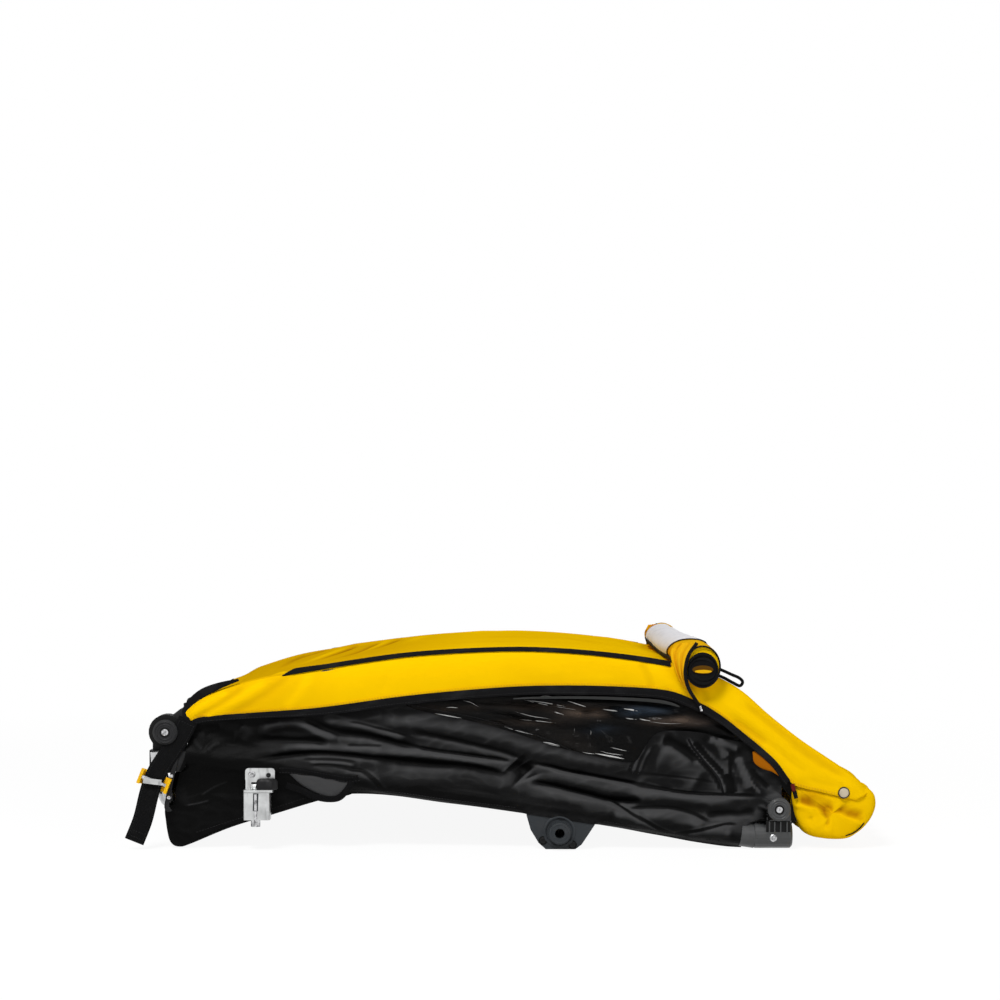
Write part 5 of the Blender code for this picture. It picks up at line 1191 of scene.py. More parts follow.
# Folds of the side cloth, front to rear: width and height in mm, then the line
WALL_FOLDS = (
    # Upper folds ahead of the window
    (6, 3.4, ((-306, 147), (-282, 154), (-258, 157), (-236, 151), (-220, 144), (-204, 138))),
    (4, -3.4, ((-308, 136), (-284, 136), (-260, 135.5), (-235, 134), (-214, 131.5))),
    (4.5, -4.4, ((-246, 163), (-232, 156), (-218, 149.5), (-200, 144.5), (-160, 140), (-120, 130),
     (-100, 126.5))),
    (2.6, -3.6, ((-110, 128), (-80, 122.5), (-50, 118.5), (-20, 114.5), (0, 112), (16, 109))),
    (1.6, -1.4, ((-192, 130), (-170, 129.5), (-146, 129))),
    (6, 2.6, ((-224, 161), (-204, 158), (-184, 155), (-160, 150), (-138, 143), (-118, 136))),
    (1.4, -1.2, ((-190, 159.5), (-176, 157.5), (-156, 152.5), (-134, 147), (-113, 141))),
    # Broad band under the window, and its lower edge
    (9, 3.2, ((-176, 163), (-140, 158), (-90, 154), (-40, 146), (10, 134), (50, 121), (100, 110),
     (168, 98))),
    (3.4, -2.6, ((-112, 147), (-80, 141), (-50, 134.5), (-20, 127.5), (10, 119.5), (34, 110.5))),
    (2.2, -4.4, ((34, 108.5), (60, 104), (84, 97.5), (140, 87), (200, 75.5), (230, 70.5),
     (262, 68.3), (330, 66.3))),
    # Long band, and the dark line below it
    (6, 3.0, ((-322, 113), (-262, 125), (-230, 126.5), (-190, 124.5), (-100, 117), (-30, 108),
     (-6, 101), (14, 95))),
    (3.0, -4.2, ((-322, 107.5), (-282, 115), (-240, 119.3), (-215, 119.6), (-190, 117.5),
     (-140, 111.5))),
    (5.5, -4.2, ((-160, 113), (-130, 109.5), (-100, 106), (-70, 104), (-44, 103), (-20, 99),
     (13, 91.5))),
    # Deep notch where the upper folds end
    (12, -7.0, ((16, 108), (24, 99), (32, 90))),
    (9, -4, ((30, 106), (36, 97), (40, 88))),
    # Fat fold behind the notch, and the creases under it
    (8, 4.0, ((44, 93), (80, 88), (120, 78), (160, 71), (200, 66), (250, 61), (300, 59))),
    (4.0, -4.4, ((36, 84), (58, 80), (80, 75), (120, 65), (140, 60.5), (160, 58.5), (180, 59))),
    (1.8, -3.6, ((138, 61), (158, 49.5), (168, 43), (182, 36), (198, 27), (212, 20.5), (224, 16))),
    (1.6, -3.4, ((218, 17.5), (232, 21), (250, 24), (270, 28.5), (285, 31.5), (298, 31))),
    (2.2, -2.2, ((158, 50), (180, 51.5), (200, 52), (220, 50.5), (240, 45.5), (252, 40), (266, 33))),
    (4.5, -2.6, ((258, 42), (280, 44), (300, 44), (322, 47))),
    (8, 2.4, ((176, 44), (204, 42), (232, 36), (256, 30))),
    (6, 2.0, ((140, 45), (170, 33), (200, 20))),
    (6, 2.2, ((232, 14), (262, 18), (292, 20))),
    # Over the rail
    (9, 3.0, ((-150, 92), (-100, 89), (-60, 86), (-20, 82), (20, 76), (60, 68.5), (100, 60), (132, 51))),
    (8, -1.2, ((-120, 76), (-60, 70), (0, 62), (60, 53), (110, 43))),
    # Round the tow-arm pocket
    (2.4, -3.0, ((-190, 100), (-172, 97.5), (-158, 88), (-150, 79), (-143, 71))),
    (1.4, -1.8, ((-246, 112.5), (-220, 112), (-198, 111), (-180, 108.5))),
    (1.4, -1.6, ((-236, 106), (-206, 104), (-186, 99), (-172, 97.5))),
    (2.0, 1.4, ((-240, 109), (-206, 108), (-180, 104.5))),
    # The panel behind the window: its double seam, the piping, and the creases beside it
    (2.0, 1.4, ((167, 95), (174, 112), (183, 128))),
    (2.0, 1.4, ((174, 94), (181, 111), (190, 127))),
    (1.4, -1.8, ((162, 96), (169, 112), (178, 128))),
    (16, 2.4, ((196, 118), (222, 104), (252, 84))),
    (1.4, -0.9, ((172, 95.5), (204, 92.5), (240, 88.5), (270, 83))),
    (6.5, -4.6, ((204, 137), (220, 130.5), (236, 121), (250, 111))),
    (2.4, -3.6, ((244, 117), (257, 106.5), (269, 94), (276, 82), (280, 70))),
    (2.4, 3.8, ((236, 139), (241, 130), (249, 119), (258, 109), (268, 98), (276, 87), (283, 69))),
    (3.2, -4.4, ((244, 134), (254, 122), (264, 110.5), (274, 100.5), (283, 91))),
    (6.5, -4.8, ((284, 94), (289, 82), (292, 68))),
    (1.7, -3.4, ((291, 123), (291, 112), (290, 102), (289, 92))),
    (6, 2.8, ((262, 140), (276, 128), (286, 114))),
    (5, 2.6, ((272, 138), (286, 130), (300, 124))),
    (5, 2.6, ((298, 116), (304, 102), (309, 88), (313, 74))),
    (2, 2.0, ((308, 94), (318, 80), (328, 69))),
    (3, -2.2, ((314, 100), (326, 88), (338, 76))),
    # Front corner
    (7, -3.0, ((-372, 146), (-350, 143), (-332, 139))),
    (5, -2.4, ((-390, 153), (-374, 151), (-350, 152))),
    (6, 1.8, ((-325, 154), (-316, 146), (-322, 134))),
    (3, -2.6, ((-346, 132), (-332, 131), (-327, 137))),
    (1.6, -2.6, ((-390, 132), (-382, 126), (-374, 119.5))),
    (1.6, -2.6, ((-374, 119.5), (-368, 128), (-361, 136))),
    (3, 1.8, ((-384, 138), (-378, 130), (-372, 126))),
    (3, 1.6, ((-366, 124), (-358, 130), (-350, 132))),
    (9, 1.6, ((-364, 110), (-350, 106), (-340, 110))),
    # Footwell side
    (1.8, -2.2, ((-322, 104), (-336, 96.5), (-350, 90), (-364, 85))),
    (4, -1.6, ((-338, 91), (-328, 91), (-320, 94))),
    (1.6, 1.4, ((-396, 53), (-380, 56), (-364, 60))),
    (1.6, 1.2, ((-376, 66), (-356, 78), (-340, 84))),
    (8, -1.4, ((-392, 92), (-388, 78), (-384, 66))),
)


def low_edge_of_panel(x):
    """Height of the yellow panel's low edge at each X."""
    return np.interp(x, LOW_EDGE[:, 0], LOW_EDGE[:, 1])


def outer_faces(side, word, x, z):
    """How far out the carrying pieces reach at an X and a height, or 0 where they are far in."""
    names = [f"{kind}_{word}" for kind in CARRIERS]
    out = side * cast(names, lay(x, side * 0.5, z), (0, -side, 0))[..., 1]
    return np.where(out > 0.26, out, 0)


def wall_grid(side, word):
    """Left or right side cloth: X, distance out and height of every point, and its painted light and shade.
    """
    u = np.linspace(0, 1, WALL_STEPS)[:, None]
    c = np.linspace(0, 1, WALL_COLUMNS)[None, :]
    start = WALL_START + (WALL_STOP - WALL_START) * u
    low = fair(np.array(WALL_LOW) * MM, start)
    top = np.zeros_like(start)
    heights = np.linspace(0, 0.2, 201)
    front_skew = fair(np.array(WALL_FRONT) * MM, heights)
    rear_skew = read(WALL_REAR, heights)

    def skewed(z):
        front = np.interp(z, heights, front_skew) * (1 - ease(u, 0, 0.14))
        return start + front + np.interp(z, heights, rear_skew) * ease(u, 0.86, 1)

    sill = np.array(WINDOW_SILL) * MM
    for _ in range(6):
        at = skewed(top)
        top = low_edge_of_panel(at) + 5 * MM
        inside = (at > sill[0, 0]) & (at < sill[-1, 0])
        top = np.where(inside, np.minimum(top, fair(sill, at)), top)
    z = low + (top - low) * c**1.05
    x = skewed(z)
    above = (z - rail_height(x)) * RAIL_UP.z
    out = 0.3155 + 0.0125 * np.exp(-((above / 0.016) ** 2)) + 0.0045 * ease(above, 0.004, 0.03)
    out = np.where(above < 0, np.maximum(0.3125, out - 0.003 * ease(-above, 0, 0.03)), out)
    out -= 0.007 * (1 - ease(z - low, -0.001, 0.008)) * ease(x, -0.2, -0.15)
    folds = relief(x, z, WALL_FOLDS) * FOLD_DEPTH
    folds += (0.3 - np.abs(crumple(x, z, 0.07, 0.024, 7.0 * side))) * 2.1 * MM
    folds += (0.3 - np.abs(crumple(x, z, 0.022, 0.011, 5.0 * side))) * 0.9 * MM
    out = out + folds * (1 - 0.55 * (1 - ease(x, -0.30, -0.17)) * (1 - ease(above, -0.02, 0.02)))
    carried = outer_faces(side, word, x, z)
    held = np.where(carried > 0, carried + WALL_GAP, 0)
    for _ in range(3):
        out = np.maximum(blurred(out, 2), held)
    if side < 0:
        behind = ease(x, -0.335, -0.322) * (1 - ease(x, -0.278, -0.262))
        behind = behind * ease(z, 0.06, 0.07) * (1 - ease(z, 0.104, 0.118))
        out = out * (1 - behind) + np.minimum(out, 0.3269) * behind
    out = np.minimum(out, 0.3268 + 0.02 * ease(low_edge_of_panel(x) - z, 0.0, 0.012))
    out = np.minimum(out, 0.3345)
    # Painted light and shade: lighter where the cloth faces up and on the folds, darker in the creases
    tilt = -np.gradient(out, axis=1) / np.gradient(z, axis=1)
    painted_shading = (folds - blurred(folds, 40)) / (3.6 * MM) + 0.8 * blurred(tilt, 2)
    painted_shading = painted_shading + (folds - blurred(folds, 5)) / (1.5 * MM) - 0.02
    # Painted broad shade: darker ahead and along the low hem, a little lighter in the middle, with the
    # painted highlights halved ahead
    ahead = (1 - ease(x, -0.34, -0.20)) * (0.28 + 0.72 * ease(z, 0.065, 0.095))
    hem = (1 - ease(above, 0.018, 0.042)) * (1 - ease(x, -0.02, 0.06))
    middle = ease(above, 0.036, 0.058) * ease(x, -0.20, -0.10) * (1 - ease(x, 0.02, 0.10))
    shade = 0.14 * middle - 0.5 * ahead - 0.42 * hem
    return x, out, z, np.where(painted_shading > 0, painted_shading * (1 - 0.5 * ahead), painted_shading) + shade


def place_bent(piece, stands_for=()):
    """Hides the imported nodes a piece stands for, and bakes its transform in place."""
    if stands_for:
        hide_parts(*stands_for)
    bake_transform(piece)


WALLS = {}


def side_wall(side, word):
    x, out, z, painted_shading = wall_grid(side, word)
    turn = [lay(x[:, :1], out[:, :1] - d * MM, z[:, :1] + h * MM) for d, h in ((12, 1.5), (5, 0.2))]
    grid = np.concatenate([*turn, lay(x, out, z)], axis=1)
    grid[..., 1] *= side
    WALLS[word] = (x, out, z)
    cloth = sheet(f"side_wall_cloth_{word}", grid, BLACK_CLOTH, 0.7 * MM)
    # The two rows that turn in under the rail are painted in shade
    paint_light(cloth, np.concatenate([np.full((WALL_STEPS, 2), -0.3), painted_shading], axis=1))
    place_bent(cloth, [f"side_wall_{word}"])


def wall_lines(word, side, routes, lift=0.7):
    """Lines drawn at an X and a height in mm, laid on the side cloth's outer face."""
    x, out, z = WALLS[word]
    flat = np.stack([x.ravel(), z.ravel()], axis=1)
    tree = kdtree.KDTree(len(flat))
    for k, (px, pz) in enumerate(flat):
        tree.insert((px, pz, 0), k)
    tree.balance()
    lines = []
    for route in routes:
        path = curve(route, max(8, int(length_of(route) / 4)))
        found = [tree.find((px, pz, 0))[1] for px, pz in path]
        lines.append(stood(path, side * (out.ravel()[found] + lift * MM)))
    return lines


WALL_SEAMS = (
    ((167, 95), (174, 112), (183, 128)),
    ((174, 94), (181, 111), (190, 127)),
    ((-380, 20), (-337, 34), (-281, 51), (-224, 68.5), (-187, 74)),
    ((-187, 74), (-131, 71.5), (-74, 63.5), (19, 52.5)),
    ((132, 35), (188, 24.5), (244, 14), (282, 8.5)),
    ((-120, 182), (-87, 175.5), (-24, 163), (50, 141), (100, 119.5), (140, 106.5), (168, 101)),
)
WALL_PIPING = ((237, 138), (242, 128), (250, 118), (258, 108), (268, 97), (276, 86), (279, 76), (281, 69))


def wall_seams(side, word):
    place_bent(stitches(f"wall_stitches_{word}", wall_lines(word, side, WALL_SEAMS)))
    line = wall_lines(word, side, [WALL_PIPING], 0.4)[0]
    place_bent(tube(f"wall_piping_{word}", line, 1.5 * MM, BINDING, 8))


for side, word in SIDES:
    side_wall(side, word)
    wall_seams(side, word)


# Clear side windows

WINDOW_STEPS, WINDOW_COLUMNS = 170, 34
# Painted reflections on the vinyl, brownish where the strength is above 0 and bluish below 0: X, height,
# half width, half height in mm, and how strong
WINDOW_REFLECTIONS = (
    (108, 171, 30, 6, 1.0), (176, 172, 30, 5, -1.3), (225, 160, 34, 6, 0.9), (60, 178, 40, 3, 0.4),
    (40, 158, 50, 4, 0.25), (130, 150, 22, 5, -0.3), (-60, 176, 40, 4, 0.25),
)
WINDOW_FOLDS = (
    (7, 4.2, ((-110, 186), (-40, 179), (40, 166), (110, 157), (190, 160), (262, 158))),
    (4, -3.2, ((-90, 180), (-20, 171), (60, 156), (110, 146))),
    (5, 3.4, ((-60, 192), (10, 190), (90, 184), (160, 178), (230, 168))),
    (4, -3.4, ((-20, 184), (60, 177), (140, 168), (214, 165))),
    (4, 2.6, ((90, 177), (130, 181), (180, 176), (240, 160))),
    (3.2, -2.4, ((60, 186), (130, 189), (200, 180))),
    (3.4, 2.4, ((-30, 175), (0, 162), (24, 152))),
    (3.4, -2.2, ((0, 176), (30, 158), (50, 149))),
    (3, 2.4, ((70, 158), (90, 146), (96, 132))),
    (3.4, 2.6, ((120, 150), (134, 138), (136, 120))),
    (3, -2.4, ((104, 154), (116, 140), (118, 122))),
    (3.4, 2.2, ((156, 146), (160, 132), (158, 116))),
    (4, 2.4, ((-84, 178), (-20, 166), (50, 145), (100, 124), (150, 109))),
    (6, 3.0, ((196, 160), (246, 152), (300, 140))),
    (5, -3.0, ((200, 150), (250, 146), (300, 136))),
)


def side_window(side, word):
    sill = np.array(WINDOW_SILL) * MM
    x = np.linspace(sill[0, 0], sill[-1, 0] - 1 * MM, WINDOW_STEPS)[:, None]
    c = np.linspace(0, 1, WINDOW_COLUMNS)[None, :]
    low = np.minimum(fair(sill, x) - 5 * MM, read(WINDOW_SILL, x) - 3 * MM)
    top = np.maximum(low_edge_of_panel(x) + 4 * MM, low + 6 * MM)
    z = low + (top - low) * c
    x = x + 0 * c
    folds = relief(x, z, WINDOW_FOLDS) + crumple(x, z, 0.03, 0.008, 11.0 * side) * 1.6 * MM
    folds += crumple(x, z, 0.010, 0.006, 4.0 * side) * 0.5 * MM
    hold = ease(c, 0, 0.12) * (1 - ease(c, 0.85, 1))
    out = np.clip(0.3192 + folds * (0.15 + 0.85 * hold), 0.3145, 0.3262)
    pane = sheet(f"window_pane_{word}", lay(x, side * out, z), VINYL, 0.4 * MM)
    reflection = np.zeros_like(x)
    for at_x, at_z, wide, tall, value in WINDOW_REFLECTIONS:
        off_x, off_z = (x - at_x * MM) / (wide * MM), (z - at_z * MM) / (tall * MM)
        reflection += value * np.exp(-(off_x**2) - off_z**2)
    # Painted reflections on the pane, broken up by noise
    paint_light(pane, reflection * (0.7 + 0.6 * crumple(x, z, 0.02, 0.005, 3.0)))
    place_bent(pane, [f"side_window_{word}"])

    def pane_out(path):
        row = np.clip(np.searchsorted(x[:, 0], path[:, 0]), 0, WINDOW_STEPS - 1)
        column = np.abs(z[row] - path[:, 1:]).argmin(axis=1)
        return out[row, column]

    window_glints(side, word, pane_out)


# Painted glints on the vinyl, as thin pale strips standing on the pane: width in mm, then the line from
# front to rear
VINYL_GLINTS = (
    (1.1, ((-81, 169.5), (-66, 166.8), (-47, 163.5))),
    (0.9, ((-67, 177), (-60, 177.3), (-52, 176.6))),
    (1.3, ((-4, 151.5), (16, 144.5), (36, 139))),
    (0.7, ((6, 153), (20, 148.5), (42, 143))),
    (0.7, ((45, 136), (60, 131.5), (76, 128))),
    (0.7, ((104, 121), (112, 119.5), (120, 118.5))),
    (2.2, ((120, 119.5), (138, 116), (157, 112.5))),
    (0.8, ((126, 122.5), (140, 119), (156, 117))),
    (1.5, ((176, 163), (183, 161), (190, 160.5))),
    (1.1, ((52, 133.5), (62, 132.5), (76, 129))),
    (0.6, ((136, 128), (150, 124.5), (164, 122))),
    (0.6, ((50, 191), (57, 191.6), (66, 191))),
    (0.6, ((-46, 186), (-36, 183.5), (-26, 178))),
    (0.6, ((30, 187), (60, 180), (96, 174))),
    (0.8, ((35, 186.5), (58, 183), (84, 178))),
    (0.8, ((64, 173), (72, 170.5), (81, 168))),
    (0.7, ((84, 186), (98, 181.5), (114, 176.5))),
    (0.7, ((25, 161.6), (46, 160.4), (71, 157.4))),
    (2.6, ((129, 175.3), (138, 174.4), (148, 172.3))),
    (1.9, ((152, 176.8), (163, 175), (175, 172.6))),
    (1.0, ((158, 164), (166, 162.5), (172, 162.3))),
    (0.5, ((20, 172), (40, 166.5), (64, 163))),
    (0.5, ((92, 143), (94, 147), (94, 151))),
    (0.5, ((113, 141), (115, 145), (114, 149))),
    (0.4, ((186, 160), (206, 157.5), (230, 157))),
)
# Grey tape along the window's top: its start and end, and how far its middle is under the panel, in mm
WINDOW_TAPE = (14, 232, 14.5, 4.2)


def window_glints(side, word, pane_out):
    """Painted glints as thin pale strips standing on the crumpled window, and the tape along its top."""
    parts = []
    taper = np.sin(np.linspace(0.12, math.pi - 0.12, 24))
    for k, (width, route) in enumerate(VINYL_GLINTS):
        path = curve(route, 24)
        line = stood(path, side * (pane_out(path) + 0.25 * MM))
        section = tapered(width * taper * MM, 0.5 * MM, 8, 1.0)
        across = stood(edge_normal(path))
        parts.append(swept(f"window_glint_{word}_{k + 1}", line, across, section, VINYL_GLINT_LOOK))
    place_bent(gather(f"window_glints_{word}", parts))
    start, stop, drop, width = WINDOW_TAPE
    edge, up = along_edge(LOW_EDGE, start, stop, 90)
    line = stood(edge - up * drop * MM, side * 326.6 * MM)
    taper = np.sin(np.linspace(0.1, math.pi - 0.1, 90)) ** 0.4
    section = tapered(width * taper * MM, 1.2 * MM, 12, 0.5)
    place_bent(swept(f"window_tape_{word}", line, stood(up), section, WINDOW_TAPE_LOOK))


for side, word in SIDES:
    side_window(side, word)


# Rear flap, gathered into a pouch behind the frame

# Section of the pouch, in mm from front top, round under the bottom and back over the top
POUCH_SECTION = (
    (368, 78), (366.5, 66), (369, 50), (373, 36), (382, 22), (396, 14.5), (416, 11.5), (436, 12.5),
    (450, 20), (461, 30), (469, 42), (473, 56), (470, 70), (458, 77), (430, 76), (404, 78), (384, 83),
)
POUCH_FOLDS = (
    (8, 4.5, ((368, 56), (384, 50), (400, 46)), "lap"),
    (6, -5.0, ((372, 62), (388, 56), (402, 50), (420, 53))),
    (4, 3.0, ((400, 54), (402, 40), (404, 26))),
    (3.4, -3.0, ((408, 50), (410, 38), (411, 26))),
    (7, -4.0, ((424, 52), (438, 44), (456, 40))),
    (5, 2.8, ((420, 44), (436, 36), (452, 32))),
    (6, 2.0, ((384, 34), (398, 27), (420, 24))),
    (4, -1.8, ((388, 42), (396, 34), (404, 24))),
)
POUCH_HALF = 327 * MM
POUCH_ENDS = ((0, 0), (0.2, 0.2), (0.5, 0.4), (0.9, 0.6), (1.6, 0.75), (2.6, 0.86), (4.4, 0.94), (8, 0.985))
POUCH_ROUND = 120
POUCH_MIDDLE = (0.417, 0.045)
FLAP_BLEND = (0.367, 0.468)
FLAP_HEM = ((457, 33), (452, 26.5), (444, 20.5), (434, 16.6))


def drawn_in(ring, centre, share):
    """X and height of a closed line, drawn in towards a point by each share."""
    share = np.asarray(share)[:, None]
    return [centre[k] + (ring[None, :, k] - centre[k]) * share for k in (0, 1)]


def place_flap(piece):
    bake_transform(piece)


def rear_flap():
    ring = smooth((*POUCH_SECTION, POUCH_SECTION[0]), POUCH_ROUND + 1)[:-1] * MM
    inset = [d * MM for d, share in POUCH_ENDS]
    share = [s for d, s in POUCH_ENDS]
    middle = list(np.linspace(-POUCH_HALF + 20 * MM, POUCH_HALF - 20 * MM, 90))
    across = [-POUCH_HALF + d for d in inset] + middle + [POUCH_HALF - d for d in inset[::-1]]
    x, z = drawn_in(ring, POUCH_MIDDLE, share + [1.0] * len(middle) + share[::-1])
    y = np.array(across)[:, None] + 0 * x
    ends = ease(np.abs(y), POUCH_HALF - 0.03, POUCH_HALF - 0.012)
    folds = relief(x, z, POUCH_FOLDS) * ends
    y = np.clip(y + np.sign(y) * folds, -POUCH_HALF, POUCH_HALF)
    places = lay(x, y, z)
    wave = ripple(places, (0.09, 0.035, 0.09), 2.0) * 5.0 + ripple(places, (0.05, 0.016, 0.05)) * 2.0
    squeeze = 1 + wave * MM / 0.05 * (1 - ends)
    x = np.clip(POUCH_MIDDLE[0] + (x - POUCH_MIDDLE[0]) * squeeze, 0.3645, 0.4745)
    z = np.clip(POUCH_MIDDLE[1] + (z - POUCH_MIDDLE[1]) * squeeze, 0.0105, 0.086)
    grid = lay(x, y, z)
    pouch = rings_piece("rear_flap_pouch", grid, YELLOW_CLOTH, cloth_uv(grid))
    # Painted light and shade on the folds near the ends, and painted shade under the fold at the top front
    # of the ends
    shade = np.exp(-(((x - 0.389) / 0.017) ** 2) - ((z - 0.064) / 0.011) ** 2)
    paint_light(pouch, folds / (4 * MM) - 0.9 * shade * ends, 1)
    place_flap(pouch)
    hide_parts("rear_flap")
    for side, word in SIDES:
        line = stood(curve(FLAP_HEM, 24), side * (POUCH_HALF - 6 * MM))
        hem = tape(f"rear_flap_hem_{word}", line, (0, 1, 0), 9 * MM, 1.6 * MM, BINDING)
        place_flap(hem)


rear_flap()


# Side gusset, folded inside the pouch at rest and drawn out behind the side wall when the hoop is up
GUSSET_OUT = 316 * MM
GUSSET_START = Vector((0.370, 0, 0.030))
GUSSET_UP = Vector((0.265, 0, 0.964)).normalized()
GUSSET_REACH = 54 * MM
GUSSET_PAST = 1.15
GUSSET_STEPS = (60, 24)


def side_gusset(side, word):
    """Dark cloth that closes the gap between the side wall's rear edge and the rear flap."""
    rise = np.linspace(0, GUSSET_PAST, GUSSET_STEPS[0])[:, None]
    u = np.linspace(0, 1, GUSSET_STEPS[1])[None, :]
    front = 0.3665 - 0.0145 * ease(rise, 0.55, 0.85)
    rear = 0.366 + (FLAP_BLEND[1] - FLAP_BLEND[0]) * np.minimum(rise, 0.93)
    x = front + (np.maximum(rear, front + MM) - front) * u
    z = GUSSET_START.z + (rise * GUSSET_REACH - (x - GUSSET_START.x) * GUSSET_UP.x) / GUSSET_UP.z
    out = GUSSET_OUT + crumple(x, z, 0.04, 0.016, 4.0) * 1.2 * MM
    cloth = sheet(f"side_gusset_{word}", lay(x, side * out, z), BLACK_CLOTH, 0.7 * MM)
    paint_light(cloth, crumple(x, z, 0.03, 0.012, 2.0) * 0.3)
    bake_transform(cloth)


for side, word in SIDES:
    side_gusset(side, word)


# Rolled-up cover across the bend of the hoop

ROLL_LOW, ROLL_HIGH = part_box("cover_roll")
ROLL_X = (ROLL_LOW.x + ROLL_HIGH.x) / 2 + 2 * MM
ROLL_REACH = ROLL_HIGH.y
ROLL_TOP = ROLL_HIGH.z
ROLL_MIDDLE = (24 * MM, 18.5 * MM)
ROLL_END = (22.5 * MM, 26.5 * MM)
ROLL_DROOP = ((0.0, 0.0), (0.20, 0.0), (0.26, 0.5), (0.31, 2.5), (0.346, 5.0))
ROLL_LEAN = 6 * MM
ROLL_SAG = 2.4 * MM


def roll_section(y):
    """Centre X and height, half width and half height of the roll, at a distance from the middle plane."""
    outer = np.abs(y)
    droop = fair(np.array(ROLL_DROOP) * (1, MM), outer) * (y < 0)
    droop = droop + ROLL_SAG * (1 - ease(outer, 0.02, 0.24))
    end = ease(outer, 0.24, 0.335)
    half_x = ROLL_MIDDLE[0] + (ROLL_END[0] - ROLL_MIDDLE[0]) * end
    half_z = ROLL_MIDDLE[1] + (ROLL_END[1] - ROLL_MIDDLE[1]) * end
    return ROLL_X + ROLL_LEAN * end, ROLL_TOP - 1.5 * MM - half_z - droop, half_x, half_z


def roll_surface(y, turn, proud=0.0):
    """Points on the roll at distances y and angles turn (from +X, anticlockwise seen from the left)."""
    middle, centre, half_x, half_z = roll_section(y)
    round_it = lay(np.cos(turn) * 0.02, y, np.sin(turn) * 0.02)
    soft = ripple(round_it, (0.02, 0.05, 0.02), 9.0) * 1.1 * MM
    soft = soft * (1 - ease(np.abs(y), 0.32, 0.34)) + proud
    return lay(middle + (half_x + soft) * np.cos(turn), y, centre + (half_z + soft) * np.sin(turn))


def roll_body():
    """Outer turn of the roll, open at both ends, with an inner wall."""
    across = np.linspace(-1, 1, 150) * (ROLL_REACH - 3 * MM)
    y, turn = np.meshgrid(across, np.linspace(0, 2 * math.pi, 73), indexing="ij")
    grid = roll_surface(y, turn)
    rows, columns = grid.shape[0], grid.shape[1] - 1
    middle, height = roll_section(y)[:2]
    centre = lay(middle, y, height)
    inner = centre + (grid - centre) * 0.93
    points = np.concatenate([grid[:, :-1].reshape(-1, 3), inner[:, :-1].reshape(-1, 3)])
    count = rows * columns
    faces = grid_faces(rows, columns, looped=True)
    faces += grid_faces(rows, columns, start=count, looped=True, turned=True)
    for row in (0, rows - 1):
        for j in range(columns):
            a, b = row * columns + j, row * columns + (j + 1) % columns
            quad = (a, b, b + count, a + count)
            faces.append(quad if row else quad[::-1])
    uv = np.tile(cloth_uv(grid[:, :-1]), (2, 1))
    return piece_from("cover_roll_cloth", points, faces, ROLL_CLOTH, uv)


# The coil inside the roll's end: half width and half height of its outer and inner turns, and its drop
COIL_OUTER, COIL_INNER = (19.0 * MM, 21.5 * MM), (14.5 * MM, 6.5 * MM)
COIL_DROP = 4.6 * MM
COIL_TURNS = 2.6
EYE_HALF = (13.0 * MM, 5.2 * MM)


PLATE_THICKNESS = 1.2 * MM


def plate(name, centre, half, out, look):
    """A flat oval that faces along Y at a distance out from the middle plane."""
    turn = np.linspace(0, 2 * math.pi, 49)[:-1]
    x, z = centre[0] + half[0] * np.cos(turn), centre[1] + half[1] * np.sin(turn)
    grid = np.array([lay(x, out, z), lay(x, out + math.copysign(PLATE_THICKNESS, out), z)])
    return rings_piece(name, grid, look, grid.reshape(-1, 3)[:, ::2])


def roll_spiral(side, word):
    """The roll's end: its thin bound rim, the yellow cloth in the gap, and the dark coil round an eye
    painted in shade, with a painted highlight on the eye's low edge.
    """
    end_y = side * (ROLL_REACH - 1.5 * MM)
    middle, centre, half_x, half_z = roll_section(np.array(end_y))
    turn = np.linspace(0, 2 * math.pi, 90)
    rim_x, rim_z = (half_x - 1 * MM) * np.cos(turn), (half_z - 1 * MM) * np.sin(turn)
    rim = lay(middle + rim_x, end_y - side * 3 * MM, centre + rim_z)
    bound = tape(f"cover_roll_binding_{word}", rim, (0, 1, 0), 7 * MM, 2.2 * MM, BINDING)
    run = np.linspace(0, 1, 240)
    angle = math.radians(150) - run * COIL_TURNS * 2 * math.pi
    low = centre - COIL_DROP
    wide = (COIL_OUTER[0] + (COIL_INNER[0] - COIL_OUTER[0]) * run) * (1 + 0.02 * np.sin(angle * 2.3))
    tall = (COIL_OUTER[1] + (COIL_INNER[1] - COIL_OUTER[1]) * run) * (1 + 0.03 * np.sin(angle * 1.7 + 1))
    edge = lay(middle + wide * np.cos(angle), end_y - side * (3 + 4 * run) * MM, low + tall * np.sin(angle))
    thick = (1.8 + 2.6 * np.sin(angle) ** 2) * MM
    section = np.stack([oval(8 * MM, t, TAPE_COUNT, TAPE_POWER) for t in thick])
    coil = swept(f"cover_roll_coil_{word}", edge, (0, 1, 0), section, BINDING)
    # Flat ovals in the end: name, sideways and upward shift, half width and height, depth and look. The eye
    # is painted dark as shade, and its lit edge is a painted highlight
    ovals = (
        ("gap", 0, COIL_DROP, (half_x - 2 * MM, half_z - 2 * MM), 4.6 * MM, YELLOW_CLOTH),
        ("core", 0, 0, COIL_OUTER, 3.2 * MM, BINDING),
        ("eye", 0, 1 * MM, EYE_HALF, 1.8 * MM, EYE_SHADE_CLOTH),
        ("eye_lit_edge", 0.5 * MM, -1.2 * MM, (10.5 * MM, 2.1 * MM), 1.4 * MM, ROLL_CLOTH),
    )
    parts = [bound, coil]
    for kind, dx, dz, half, deep, look in ovals:
        at = (middle + dx, low + dz)
        parts.append(plate(f"cover_roll_{kind}_{word}", at, half, end_y - side * deep, look))
    return parts


PALE_FROM, PALE_TO = -0.278, 0.262
PALE_SLANT = 0.135
# Angle round the roll at which the pale panel starts, in degrees, at its near and its far end
PALE_BACK = (28, 82)
